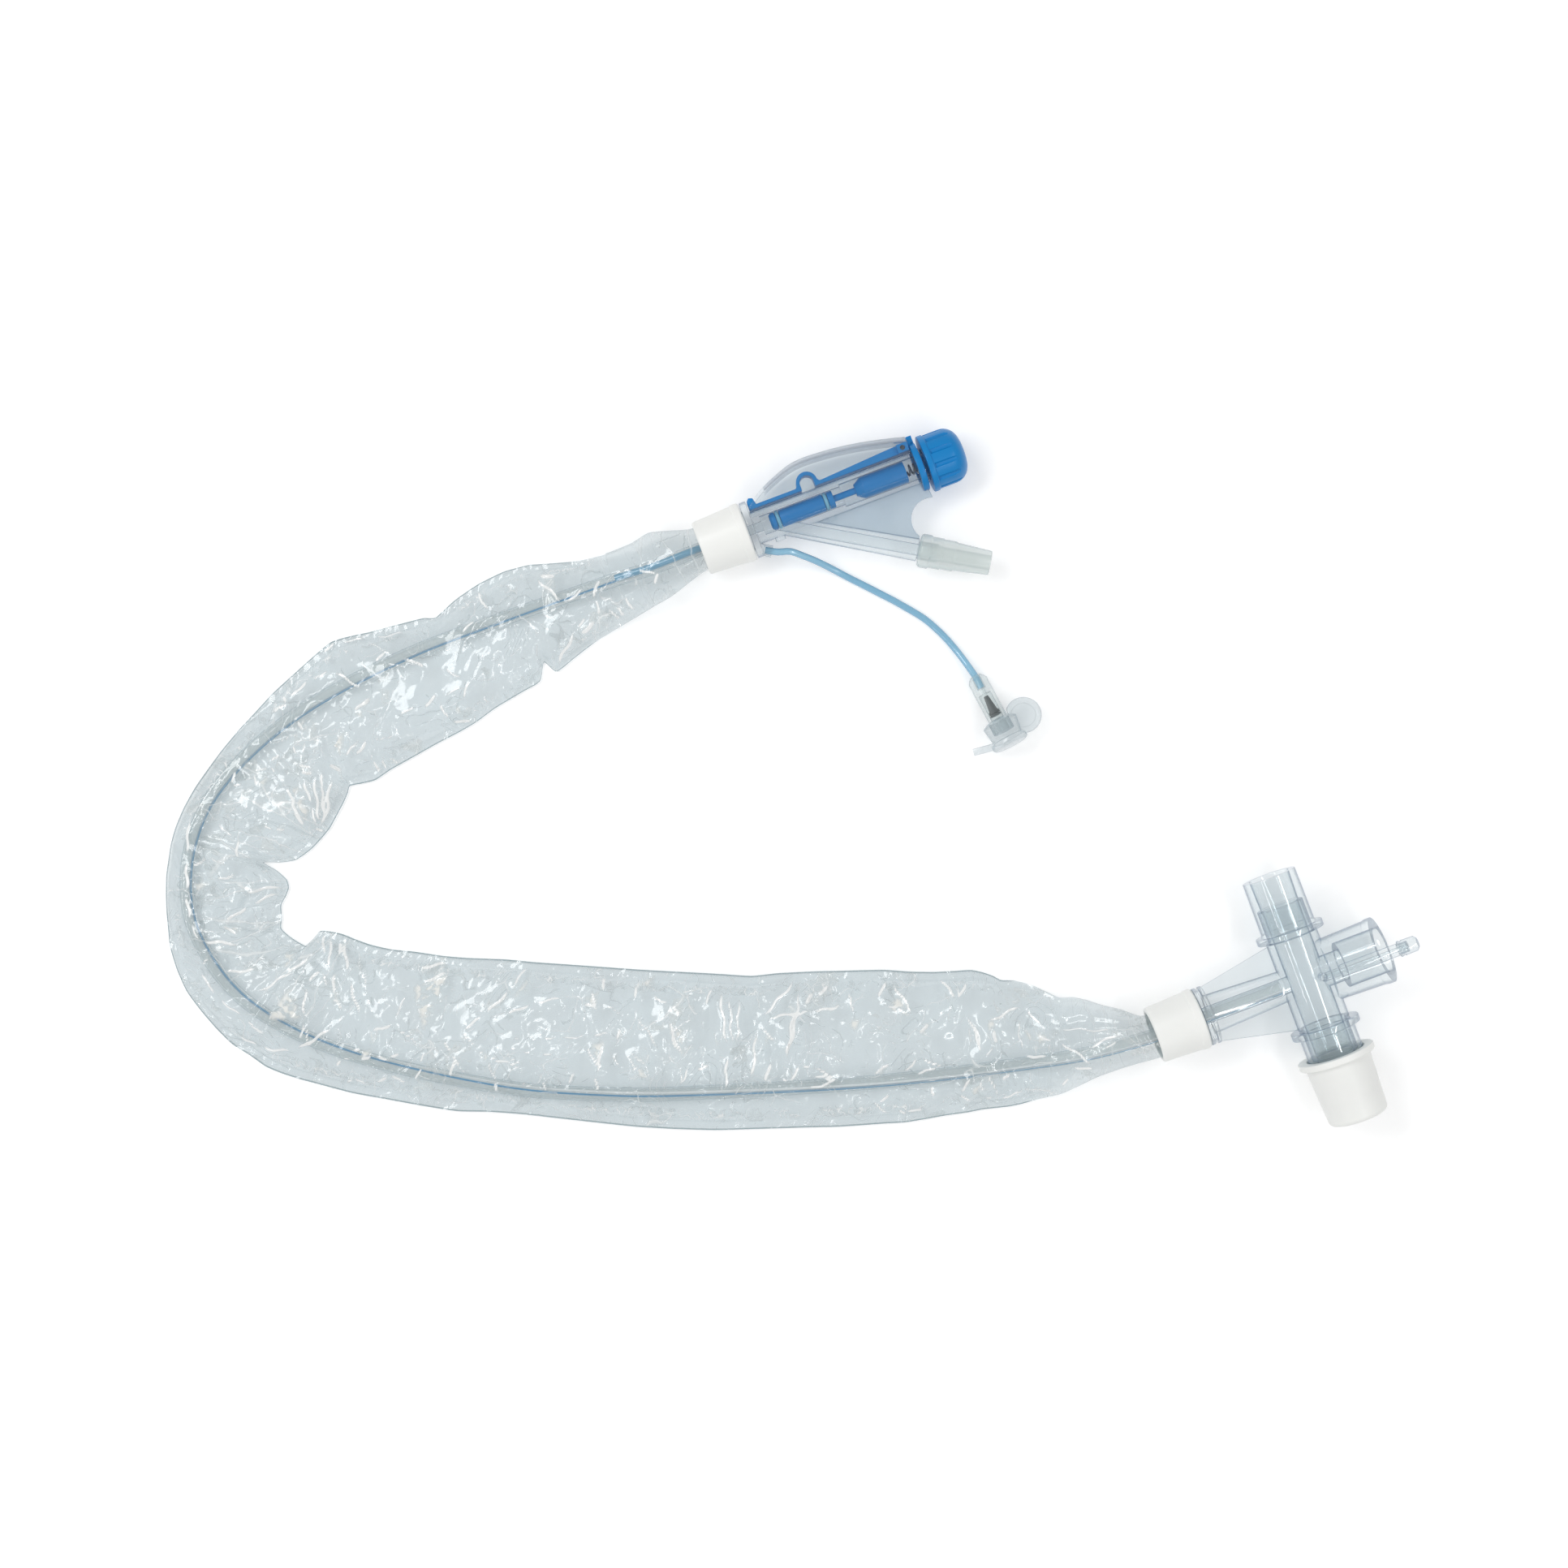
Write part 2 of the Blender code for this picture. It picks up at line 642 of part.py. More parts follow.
def vacuum_connector(branch):
    start = BRANCH_LENGTH + RUN_GAP
    socket_r = BRANCH_SPIGOT_R + SEAT_GAP
    profile = (
        (start + CONNECTOR_LENGTH, CONNECTOR_TIP_R),
        (start + CONNECTOR_LAND_END + 0.6, CONNECTOR_ROOT_R),
        (start + CONNECTOR_LAND_END, CONNECTOR_LAND_R),
        (start + CONNECTOR_STEP_END, CONNECTOR_LAND_R),
        (start + CONNECTOR_STEP_END, CONNECTOR_STEP_R),
        (start + CONNECTOR_COLLAR_LENGTH, CONNECTOR_STEP_R),
        (start + CONNECTOR_COLLAR_LENGTH - 0.5, CONNECTOR_COLLAR_R),
        (start + 0.8, CONNECTOR_COLLAR_R),
        (start, CONNECTOR_COLLAR_R - 0.7),
        (start, socket_r),
        (start + BRANCH_SPIGOT_LENGTH + RUN_GAP, socket_r),
        (start + BRANCH_SPIGOT_LENGTH + RUN_GAP, CONNECTOR_BORE_R),
        (start + CONNECTOR_LENGTH, CONNECTOR_BORE_R),
    )
    return turned("vacuum_connector", profile, branch, "X", material=milky, facets=ROUND)


def thumb_press(valve):
    """Arched cover with side skirts, its origin on the hinge at the cap end."""
    px, ph = PRESS_PIVOT
    top = [Vector((share * PRESS_END, height)) for share, height in (*PRESS_OUTLINE, (1.0, PRESS_END_HEIGHT))]
    line = through(top, 3)
    outline = [(top[0].x, PRESS_SKIRT_HEIGHT), *[tuple(point) for point in line]]
    outline.append((PRESS_END, PRESS_SKIRT_HEIGHT))
    outer_half = VALVE_TUBE_R + SEAT_GAP + PRESS_WALL
    inner_half = outer_half - PRESS_WALL
    shifted = [(s - px, h - ph) for s, h in outline]
    press = flat("thumb_press", shifted, 2 * outer_half, valve, (px, ph, 0), clear)
    under = [(s, h - PRESS_WALL * 1.15) for s, h in map(tuple, line) if s > PRESS_TOP_START]
    high = 2 * PRESS_OUTLINE[3][1]
    hollow_outline = [
        (-5.0, -5.0),
        (-5.0, high),
        (PRESS_TOP_START, high),
        (PRESS_TOP_START, under[0][1] - 0.5),
        *under,
        (PRESS_END + 3, under[-1][1] - 0.8),
        (PRESS_END + 3, -5.0),
    ]
    hollow = flat("press_hollow", hollow_outline, 2 * inner_half, valve)
    pins = [
        rod(f"press_pin_{side}", PRESS_PIN_R, -PRESS_PIN_LENGTH, PRESS_WALL / 2, valve, "Z", facets=TINY_ROUND)
        for side in ("left", "right")
    ]
    pins[0].location = (px * MM, ph * MM, inner_half * MM)
    pins[1].location = (px * MM, ph * MM, -inner_half * MM)
    pins[1].rotation_euler = (math.pi, 0, 0)
    cut(press, [hollow])
    return join(press, pins)


def return_strip(valve):
    """Spring strip with a looped hump, a wedge that ends in the hinge block, and a ring round the tube."""
    low = VALVE_TUBE_R + RUN_GAP
    high = low + STRIP_THICKNESS
    half = HUMP_WIDTH / 2
    wall = STRIP_THICKNESS
    outline = [
        (STRIP_START, low),
        (HUMP_AT - half + wall, low),
        *arc(HUMP_AT, HUMP_HEIGHT - half, half - wall, 180, 0, 6),
        (HUMP_AT + half - wall, low),
        (RING_AT + 1.0, low),
        (RING_AT + 1.0, WEDGE_HEIGHT),
        (RING_AT - HINGE_BLOCK_LENGTH, WEDGE_HEIGHT),
        (WEDGE_START, high),
        (HUMP_AT + half + 0.6, high),
        *arc(HUMP_AT, HUMP_HEIGHT - half, half, 0, 180, 8),
        (HUMP_AT - half - 0.6, high),
        (STRIP_START + STRIP_KNOB_LENGTH, high),
        (STRIP_START + STRIP_KNOB_LENGTH * 0.8, STRIP_KNOB_HEIGHT - 0.4),
        (STRIP_START + STRIP_KNOB_LENGTH * 0.3, STRIP_KNOB_HEIGHT),
        (STRIP_START, STRIP_KNOB_HEIGHT - 0.9),
    ]
    strip = flat("return_strip", outline, STRIP_WIDTH, valve, material=blue)
    inner_half = VALVE_TUBE_R + SEAT_GAP - RUN_GAP
    hinge_block = block(
        "hinge_block", (RING_AT - HINGE_BLOCK_LENGTH + 0.6, low, -inner_half),
        (RING_AT - 0.4, WEDGE_HEIGHT, inner_half), valve,
    )
    ring_profile = (
        (RING_AT + RING_THICKNESS, RING_R),
        (RING_AT, RING_R),
        (RING_AT, low),
        (RING_AT + RING_THICKNESS, low),
    )
    ring = turned("strip_ring", ring_profile, valve, "X")
    tab = block(
        "ring_tab", (RING_AT + 0.1, RING_R - 1, -RING_TAB_WIDTH / 2),
        (RING_AT + RING_THICKNESS - 0.1, RING_TAB_HEIGHT, RING_TAB_WIDTH / 2), valve,
    )
    pin_hole = rod(
        "press_pin_hole", PRESS_PIN_R + PIN_GAP, -inner_half - CUT_PAST, inner_half + CUT_PAST, valve, "Z",
        (*PRESS_PIVOT, 0), facets=TINY_ROUND,
    )
    slot_half = WEB_THICKNESS / 2 + RUN_GAP
    web_slot = block(
        "web_slot", (RING_AT - CUT_PAST, -RING_R - CUT_PAST, -slot_half),
        (RING_AT + RING_THICKNESS + CUT_PAST, -VALVE_TUBE_R + CUT_PAST, slot_half), valve,
    )
    join(strip, [hinge_block, ring, tab])
    return cut(strip, [pin_hole, web_slot])


def arc(x, y, radius, start, end, steps):
    """Points on an arc, degrees from the X axis."""
    angles = [math.radians(mix(start, end, i / steps)) for i in range(steps + 1)]
    return [(x + radius * math.cos(a), y + radius * math.sin(a)) for a in angles]


def valve_spool(valve):
    front_r = FRONT_BORE_R - RUN_GAP
    rear_r = REAR_BORE_R - RUN_GAP
    grooves = [SPOOL_START + 2.0, FRONT_LAND_END - 3.4]
    profile = [
        (SPOOL_END, 0),
        (SPOOL_END, rear_r),
        (REAR_LAND_START + 2.6, rear_r),
        (REAR_LAND_START, rear_r - 1.6),
        (REAR_LAND_START, SPOOL_NECK_R),
        (FRONT_LAND_END, SPOOL_NECK_R),
        (FRONT_LAND_END, front_r),
    ]
    for groove in reversed(grooves):
        profile += [
            (groove + SEAL_WIDTH, front_r),
            (groove + SEAL_WIDTH, front_r - SEAL_DEPTH),
            (groove, front_r - SEAL_DEPTH),
            (groove, front_r),
        ]
    profile += [(SPOOL_START + 0.7, front_r), (SPOOL_START, front_r - 0.7), (SPOOL_START, 0)]
    spool = turned("valve_spool", profile, valve, "X", material=blue, facets=SMALL_ROUND)
    outer = FRONT_BORE_R - SEAL_GAP
    inner = front_r - SEAL_DEPTH + SEAL_GAP
    bulge = (outer - inner) * 0.3
    for name, groove in zip(("spool_seal_front", "spool_seal_rear"), grooves):
        low, high = groove + SEAL_GAP, groove + SEAL_WIDTH - SEAL_GAP
        ring = (
            (high, outer - bulge), (high - 0.35, outer), (low + 0.35, outer), (low, outer - bulge), (low, inner),
            (high, inner),
        )
        turned(name, ring, valve, "X", material=seal_blue, facets=SMALL_ROUND)
    return spool


def return_spring(valve):
    start = SPOOL_END + SPRING_WIRE / 2 + RUN_GAP
    end = LOCK_CAP_AT - 0.9 - SPRING_WIRE / 2
    count = int(SPRING_TURNS * SPRING_STEPS_PER_TURN)
    points = []
    for i in range(count + 1):
        angle = 2 * math.pi * i / SPRING_STEPS_PER_TURN
        points.append(Vector((
            mix(start, end, i / count), SPRING_R * math.cos(angle), SPRING_R * math.sin(angle)
        )))
    return tube_along("return_spring", points, SPRING_WIRE / 2, valve, steel, 1)


def lock_cap(valve):
    """Domed cap with grip grooves. Its plug closes the bore and carries the spring."""
    end = LOCK_CAP_AT + LOCK_CAP_LENGTH
    wide = LOCK_CAP_R - LOCK_CAP_LIP_STEP
    dome_start = LOCK_CAP_AT + LOCK_CAP_GRIP_END - 1.0
    dome = [
        (mix(dome_start, end, math.sin(math.radians(a))), wide * math.cos(math.radians(a)) ** 0.62)
        for a in (75, 55, 35, 15)
    ]
    cavity_r = VALVE_NECK_R + RUN_GAP
    plug_r = REAR_BORE_R - RUN_GAP
    profile = [
        (end, 0),
        *dome,
        (dome_start, wide),
        (LOCK_CAP_AT + LOCK_CAP_LIP, wide),
        (LOCK_CAP_AT + LOCK_CAP_LIP, LOCK_CAP_R),
        (LOCK_CAP_AT, LOCK_CAP_R),
        (LOCK_CAP_AT, cavity_r),
        (VALVE_LENGTH + VALVE_NECK_LENGTH + RUN_GAP, cavity_r),
        (VALVE_LENGTH + VALVE_NECK_LENGTH + RUN_GAP, plug_r),
        (LOCK_CAP_AT - 0.6, plug_r),
        (LOCK_CAP_AT - 0.6, 0),
    ]
    cap = turned("lock_cap", profile, valve, "X", material=blue, facets=36)
    grooves = []
    for i in range(GRIP_COUNT):
        angle = 2 * math.pi * (i + 0.5) / GRIP_COUNT
        low = (LOCK_CAP_AT + LOCK_CAP_LIP + 0.5, wide - GRIP_DEPTH, -GRIP_WIDTH / 2)
        high = (LOCK_CAP_AT + LOCK_CAP_GRIP_END, wide + 2.0, GRIP_WIDTH / 2)
        grooves.append(block(f"grip_groove_{i + 1:02d}", low, high, valve, rotation=(angle, 0, 0)))
    return cut(cap, grooves)


def manifold_body(manifold):
    main_profile = (
        (BODY_UP + NECK_LENGTH, 0),
        (BODY_UP + NECK_LENGTH, NECK_R),
        (BODY_UP, NECK_R),
        (BODY_UP, BODY_R),
        (-BODY_DOWN, BODY_R),
        (-BODY_DOWN, NECK_R),
        (-BODY_DOWN - NECK_LENGTH, NECK_R),
        (-BODY_DOWN - NECK_LENGTH, 0),
    )
    body = turned("manifold_body", main_profile, manifold, "Y", material=clear)
    socket_profile = (
        (SOCKET_END, 0),
        (SOCKET_END, SOCKET_MOUTH_R),
        (SOCKET_BASE_END, SOCKET_BASE_R),
        (SOCKET_START, SOCKET_BASE_R),
        (SOCKET_START, SOCKET_ROOT_R),
        (SOCKET_START / 2, SOCKET_ROOT_R),
        (SOCKET_START / 2, 0),
    )
    socket = turned("socket_outside", socket_profile, manifold, "X")
    ring_a = COLLAR_AT + COLLAR_RING
    ring_b = ring_a + COLLAR_GROOVE
    arm_profile = (
        (HUB_END, 0),
        (HUB_END, HUB_R - 0.6),
        (HUB_END - 1.0, HUB_R),
        (COLLAR_END, HUB_R),
        (COLLAR_END, COLLAR_R),
        (ring_b, COLLAR_R),
        (ring_b, COLLAR_R - COLLAR_GROOVE_DEPTH),
        (ring_a, COLLAR_R - COLLAR_GROOVE_DEPTH),
        (ring_a, COLLAR_R),
        (COLLAR_AT, COLLAR_R),
        (COLLAR_AT, ARM_END_R),
        (3.0, ARM_START_R),
        (3.0, 0),
    )
    arm = turned("arm_outside", arm_profile, manifold, "-X")
    gusset_outline = (
        (-COLLAR_AT - COLLAR_RING / 2, COLLAR_R - 0.5),
        (-BODY_R + 1.5, BODY_UP - 0.3),
        (-BODY_R + 1.5, -BODY_DOWN + 0.3),
        (-COLLAR_AT - COLLAR_RING / 2, -COLLAR_R + 0.5),
    )
    gusset = flat("gussets", gusset_outline, GUSSET_THICKNESS, manifold)
    gate = rod("gate_disc", GATE_R, 2.0, ARM_START_R + GATE_STAND, manifold, "Z", (GATE_AT, 0, 0), facets=SMALL_ROUND)
    flush_profile = (
        (FLUSH_PORT_END + FLUSH_PORT_SPIGOT, 0),
        (FLUSH_PORT_END + FLUSH_PORT_SPIGOT, FLUSH_PORT_SPIGOT_R),
        (FLUSH_PORT_END, FLUSH_PORT_SPIGOT_R),
        (FLUSH_PORT_END, FLUSH_PORT_R),
        (FLUSH_PORT_START, FLUSH_PORT_R),
        (FLUSH_PORT_START, FLUSH_PORT_NECK_R),
        (FLUSH_PORT_RISER_AT - FLUSH_PORT_NECK_R / 2, FLUSH_PORT_NECK_R),
        (FLUSH_PORT_RISER_AT - FLUSH_PORT_NECK_R / 2, 0),
    )
    flush = turned("flush_port", flush_profile, manifold, "X", (0, 0, FLUSH_PORT_HEIGHT), facets=SMALL_ROUND)
    riser = rod(
        "flush_riser", FLUSH_PORT_NECK_R, BODY_R - 2.2, FLUSH_PORT_HEIGHT + FLUSH_PORT_NECK_R * 0.8, manifold, "Z",
        (FLUSH_PORT_RISER_AT, 0, 0), facets=TINY_ROUND,
    )
    join(body, [socket, arm, gusset, gate, riser, flush])
    bores = [
        rod("through_bore", THROUGH_BORE_R, -BODY_DOWN - NECK_LENGTH - CUT_PAST, BODY_UP + NECK_LENGTH + CUT_PAST,
            manifold, "Y"),
        rod("socket_bore", SOCKET_BORE_R, SOCKET_BORE_START, SOCKET_END + CUT_PAST, manifold, "X"),
        rod("socket_throat", SOCKET_THROAT_R, 0.7, SOCKET_BORE_START + 1, manifold, "X", facets=22),
        rod("arm_bore", ARM_BORE_R, 0, HUB_END + CUT_PAST, manifold, "-X", facets=SMALL_ROUND),
        rod("wiper_chamber", WIPER_CHAMBER_R, HUB_END - WIPER_CHAMBER_DEPTH, HUB_END + CUT_PAST, manifold, "-X"),
        rod("flush_bore", FLUSH_PORT_BORE_R, FLUSH_PORT_RISER_AT, FLUSH_PORT_END + FLUSH_PORT_SPIGOT + CUT_PAST,
            manifold, "X", (0, 0, FLUSH_PORT_HEIGHT), facets=TINY_ROUND),
        rod("riser_bore", FLUSH_PORT_BORE_R * 0.8, THROUGH_BORE_R - 2.5, FLUSH_PORT_HEIGHT, manifold, "Z",
            (FLUSH_PORT_RISER_AT + 0.1, 0.05, 0), facets=TINY_ROUND),
    ]
    return cut(body, bores)


def swivel(name, manifold, direction, body_end, radius, end):
    """Cone connector that turns on the manifold's neck, with its ring next to the body."""
    start = body_end + SEAT_GAP
    neck_bore = NECK_R + SEAT_GAP
    neck_end = body_end + NECK_LENGTH + SEAT_GAP
    ring_end = start + SWIVEL_RING_THICKNESS
    profile = (
        (end, radius - SWIVEL_TIP_TAPER),
        (ring_end, radius),
        (ring_end, radius + SWIVEL_RING_OVERHANG),
        (start, radius + SWIVEL_RING_OVERHANG),
        (start, neck_bore),
        (neck_end, neck_bore),
        (neck_end, THROUGH_BORE_R + 0.2),
        (end, THROUGH_BORE_R + 0.5),
    )
    return turned(name, profile, manifold, direction, material=clear)


def flush_port_cap(manifold):
    start = FLUSH_PORT_END + RUN_GAP
    bore_end = FLUSH_PORT_END + FLUSH_PORT_SPIGOT + RUN_GAP
    bore_r = FLUSH_PORT_SPIGOT_R + RUN_GAP
    end = start + FLUSH_CAP_LENGTH
    profile = (
        (end, 0),
        (end, FLUSH_CAP_R - 1.0),
        (end - 0.9, FLUSH_CAP_R - 0.1),
        (start, FLUSH_CAP_R),
        (start, bore_r),
        (bore_end, bore_r),
        (bore_end, 0),
    )
    return turned(
        "flush_port_cap", profile, manifold, "X", (0, 0, FLUSH_PORT_HEIGHT), clear, SMALL_ROUND
    )


def protective_cap(manifold):
    inner_r = LOWER_SWIVEL_R + SEAT_GAP
    tip = PROTECTIVE_CAP_END
    rounding = PROTECTIVE_CAP_ROUNDING
    corner = [
        (tip - rounding + y, PROTECTIVE_CAP_TIP_R - rounding + x) for x, y in arc(0, 0, rounding, 90, 0, 3)
    ]
    flange_end = PROTECTIVE_CAP_START + PROTECTIVE_CAP_FLANGE
    profile = [
        (tip, 0),
        *corner,
        (flange_end, PROTECTIVE_CAP_R),
        (flange_end, PROTECTIVE_CAP_FLANGE_R - 0.25),
        (flange_end - 0.4, PROTECTIVE_CAP_FLANGE_R),
        (PROTECTIVE_CAP_START, PROTECTIVE_CAP_FLANGE_R),
        (PROTECTIVE_CAP_START, inner_r + 0.1),
        (LOWER_SWIVEL_END + RUN_GAP, inner_r - SWIVEL_TIP_TAPER),
        (tip - PROTECTIVE_CAP_FLOOR, PROTECTIVE_CAP_TIP_R - rounding - PROTECTIVE_CAP_FLOOR / 2),
        (tip - PROTECTIVE_CAP_FLOOR, 0),
    ]
    return turned("protective_cap", profile, manifold, "-Y", material=white)


def patient_ferrule(manifold):
    start = COLLAR_END + RUN_GAP
    end = start + FERRULE_LENGTH
    mouth_r = FERRULE_BORE_R + FERRULE_WALL_AT_MOUTH + 0.35
    profile = (
        (end, mouth_r - FERRULE_EDGE),
        (end - FERRULE_EDGE, mouth_r),
        (start + FERRULE_EDGE, PATIENT_FERRULE_R),
        (start, PATIENT_FERRULE_R - FERRULE_EDGE),
        (start, FERRULE_BORE_R),
        (end, FERRULE_BORE_R),
    )
    return turned("patient_ferrule", profile, manifold, "-X", material=white)


def wiper(manifold):
    seat = HUB_END - WIPER_CHAMBER_DEPTH + SEAL_GAP
    outer = WIPER_CHAMBER_R - SEAL_GAP
    end = seat + WIPER_THICKNESS
    seal = (
        (end, outer), (seat, outer), (seat, WIPER_BORE_R + 1.0), ((seat + end) / 2, WIPER_BORE_R),
        (end, WIPER_BORE_R + 1.0),
    )
    turned("wiper_seal", seal, manifold, "-X", material=silicone, facets=SMALL_ROUND + 4)
    start = end + SEAL_GAP
    far = start + RETAINER_LENGTH
    retainer = ((far, outer), (start, outer), (start, WIPER_BORE_R + 0.3), (far, WIPER_BORE_R + 0.8))
    turned("wiper_retainer", retainer, manifold, "-X", material=milky, facets=SMALL_ROUND + 4)


def sleeve_rails():
    """Both edges of the sleeve as one line of 4-D points, with a round neck in each ferrule."""
    vx, vy = VALVE_AT
    neck = SLEEVE_NECK_R
    mouth = FERRULE_LENGTH + 1.5
    t_mouth = COLLAR_END + RUN_GAP + mouth
    first = [Vector((vx - back, vy + neck, vx - back, vy - neck)) for back in (2.5, mouth * 0.6, mouth)]
    last = [Vector((-back, -neck, -back, neck)) for back in (t_mouth, t_mouth - mouth * 0.4, COLLAR_END + 2.8)]
    return first + [Vector(edge) for edge in SLEEVE_EDGES] + last


def sleeve_section(edges, along, length):
    """One closed section of the film: round in the neck, a flat-bottomed pillow beyond it."""
    outer, inner = Vector(edges[:2]), Vector(edges[2:])
    centre = (outer + inner) / 2
    half = (inner - outer) / 2
    from_valve = along - FERRULE_LENGTH
    from_manifold = length - along - FERRULE_LENGTH
    near, axis_z = (from_valve, VALVE_Z) if from_valve < from_manifold else (from_manifold, MANIFOLD_Z)
    top = mix(axis_z + SLEEVE_NECK_R, SLEEVE_PUFF, ease(near / SLEEVE_TOP_BLEND))
    bottom = mix(axis_z - SLEEVE_NECK_R, 0.0, ease(near / SLEEVE_BOTTOM_BLEND))
    shape = ease(near / SLEEVE_SHAPE_BLEND)
    power = 2 / mix(SLEEVE_ROUND_POWER, SLEEVE_PILLOW_POWER, shape)
    flattening = mix(1.0, SLEEVE_UNDERSIDE_FLATTENING, shape)
    middle = (top + bottom) / 2
    rise = (top - bottom) / 2
    points = []
    for k in range(SLEEVE_SECTION_POINTS):
        angle = 2 * math.pi * k / SLEEVE_SECTION_POINTS
        across = math.copysign(abs(math.cos(angle)) ** power, math.cos(angle))
        up = math.copysign(abs(math.sin(angle)) ** power, math.sin(angle))
        if up < 0:
            z = middle + rise * max(-1.0, up * flattening)
        else:
            fold = math.sin(2 * math.pi * along / SLEEVE_FOLD_PITCH + 2.2 * across)
            cross_fold = math.sin(2 * math.pi * along / SLEEVE_CROSS_FOLD_PITCH - 3.1 * across)
            z = middle + rise * up - SLEEVE_FOLD_DEPTH * shape * up * (0.5 + 0.3 * fold + 0.2 * cross_fold)
        flat_place = centre + half * across
        points.append(Vector((flat_place.x, flat_place.y, z)) * MM)
    return points


def sleeve(root):
    """Film tube, lofted through its sections and given its wall inwards. Both ends are open."""
    dense = through(sleeve_rails(), 12)
    middles = [Vector(((p[0] + p[2]) / 2, (p[1] + p[3]) / 2)) for p in dense]
    reach = [0.0]
    for a, b in zip(middles, middles[1:]):
        reach.append(reach[-1] + (b - a).length)
    shape = bmesh.new()
    rings = []
    i = 0
    for step in range(SLEEVE_SECTIONS):
        wanted = reach[-1] * step / (SLEEVE_SECTIONS - 1)
        while i < len(reach) - 2 and reach[i + 1] < wanted:
            i += 1
        share = min((wanted - reach[i]) / max(reach[i + 1] - reach[i], 1e-9), 1.0)
        edges = dense[i].lerp(dense[i + 1], share)
        rings.append([shape.verts.new(p) for p in sleeve_section(edges, wanted, reach[-1])])
    for a, b in zip(rings, rings[1:]):
        for k in range(SLEEVE_SECTION_POINTS):
            after = (k + 1) % SLEEVE_SECTION_POINTS
            shape.faces.new((a[k], b[k], b[after], a[after]))
    bmesh.ops.recalc_face_normals(shape, faces=shape.faces)
    mesh = bpy.data.meshes.new("sleeve")
    shape.to_mesh(mesh)
    shape.free()
    obj = place(bpy.data.objects.new("sleeve", mesh), root, (0, 0, 0), (0, 0, 0), film)
    wall = obj.modifiers.new("Film", "SOLIDIFY")
    wall.thickness = SLEEVE_WALL * MM
    wall.offset = -1
    wall.use_rim = True
    return obj


def catheter_line():
    """The catheter's centre line, from its socket in the valve to its tip beside the through bore."""
    vx, vy = VALVE_AT
    start_z = VALVE_Z - CATHETER_BELOW_AXIS
    hub_out = vx - HUB_LENGTH
    level = [Vector((vx - 1.6, vy, 0)), Vector((hub_out, vy, 0)), Vector((hub_out - CATHETER_DROP_START, vy, 0))]
    level += [Vector((x, y, 0)) for x, y in CATHETER_ROUTE]
    level += [Vector((-HUB_END - CATHETER_DROP_START, 0, 0)), Vector((-HUB_END, 0, 0))]
    level += [Vector((-COLLAR_AT, 0, 0)), Vector((-THROUGH_BORE_R - 3.0, 0, 0))]
    points, length = evenly(through(level, 10), 80)
    inside_valve = HUB_LENGTH - 1.6
    inside_manifold = HUB_END - THROUGH_BORE_R - 3.0
    for i, point in enumerate(points):
        along = length * i / (len(points) - 1)
        down_valve = ease((along - inside_valve - CATHETER_DROP_START) / CATHETER_DROP)
        down_manifold = ease((length - along - inside_manifold - CATHETER_DROP_START) / CATHETER_DROP)
        if along < length / 2:
            point.z = mix(start_z, CATHETER_Z, down_valve)
        else:
            point.z = mix(MANIFOLD_Z, CATHETER_Z, down_manifold)
    return points, length


def catheter_and_flush_lumen(root):
    points, length = catheter_line()
    hollow_tube_along("catheter", points, CATHETER_R, CATHETER_WALL, root, clear, 1)
    reach = HUB_LENGTH + FLUSH_LENGTH_IN_SLEEVE
    step = length / (len(points) - 1)
    lifted = [point + Vector((0, 0, BORE_SPACING)) for point in points[: int(reach / step) + 2]]
    line, _ = evenly(lifted, 14)
    return hollow_tube_along("flush_lumen", line, FLUSH_R, FLUSH_WALL, root, pale_blue, 1)


def irrigation_line():
    """The irrigation line's centre line, out of its gland, down to the table and up into the check valve."""
    vx, vy = VALVE_AT
    along = Vector((math.cos(GLAND_ANGLE), math.sin(GLAND_ANGLE)))
    gland = Vector((vx, vy)) + Vector(GLAND_AT)
    heading = Vector((math.cos(CHECK_VALVE_HEADING), math.sin(CHECK_VALVE_HEADING)))
    end = Vector(CHECK_VALVE_AT)
    socket = end + heading * (CHECK_VALVE_SOCKET - RUN_GAP)
    flat_route = [gland + along * (GLAND_LENGTH * 0.5), gland + along * (GLAND_LENGTH + 1.0)]
    flat_route += [Vector(point) for point in IRRIGATION_ROUTE] + [end, socket]
    points, length = evenly(through([p.to_3d() for p in flat_route], 8), 22)
    lying = FLUSH_R + IRRIGATION_LIFT
    top = CHECK_VALVE_R + IRRIGATION_LIFT
    slope = math.tan(check_valve_pitch())
    for i, point in enumerate(points):
        reach = length * i / (len(points) - 1)
        from_end = length - reach - CHECK_VALVE_SOCKET + RUN_GAP
        low = mix(VALVE_Z, lying, ease((reach - GLAND_LENGTH) / IRRIGATION_DROP))
        rise = ease((IRRIGATION_RISE - from_end) / IRRIGATION_RISE)
        point.z = mix(low, top, rise) if from_end > 0 else top - from_end * slope
    return points, length


def check_valve_pitch():
    """The check valve leans up on the soft cap's shoulder."""
    reach = CHECK_VALVE_LENGTH - SOFT_CAP_SOCKET + 1.0
    return math.asin((SOFT_CAP_SHOULDER_R - CHECK_VALVE_R) / reach)


def irrigation_tube(root):
    points, _ = irrigation_line()
    return tube_along("irrigation_tube", points, FLUSH_R, root, pale_blue, 2)


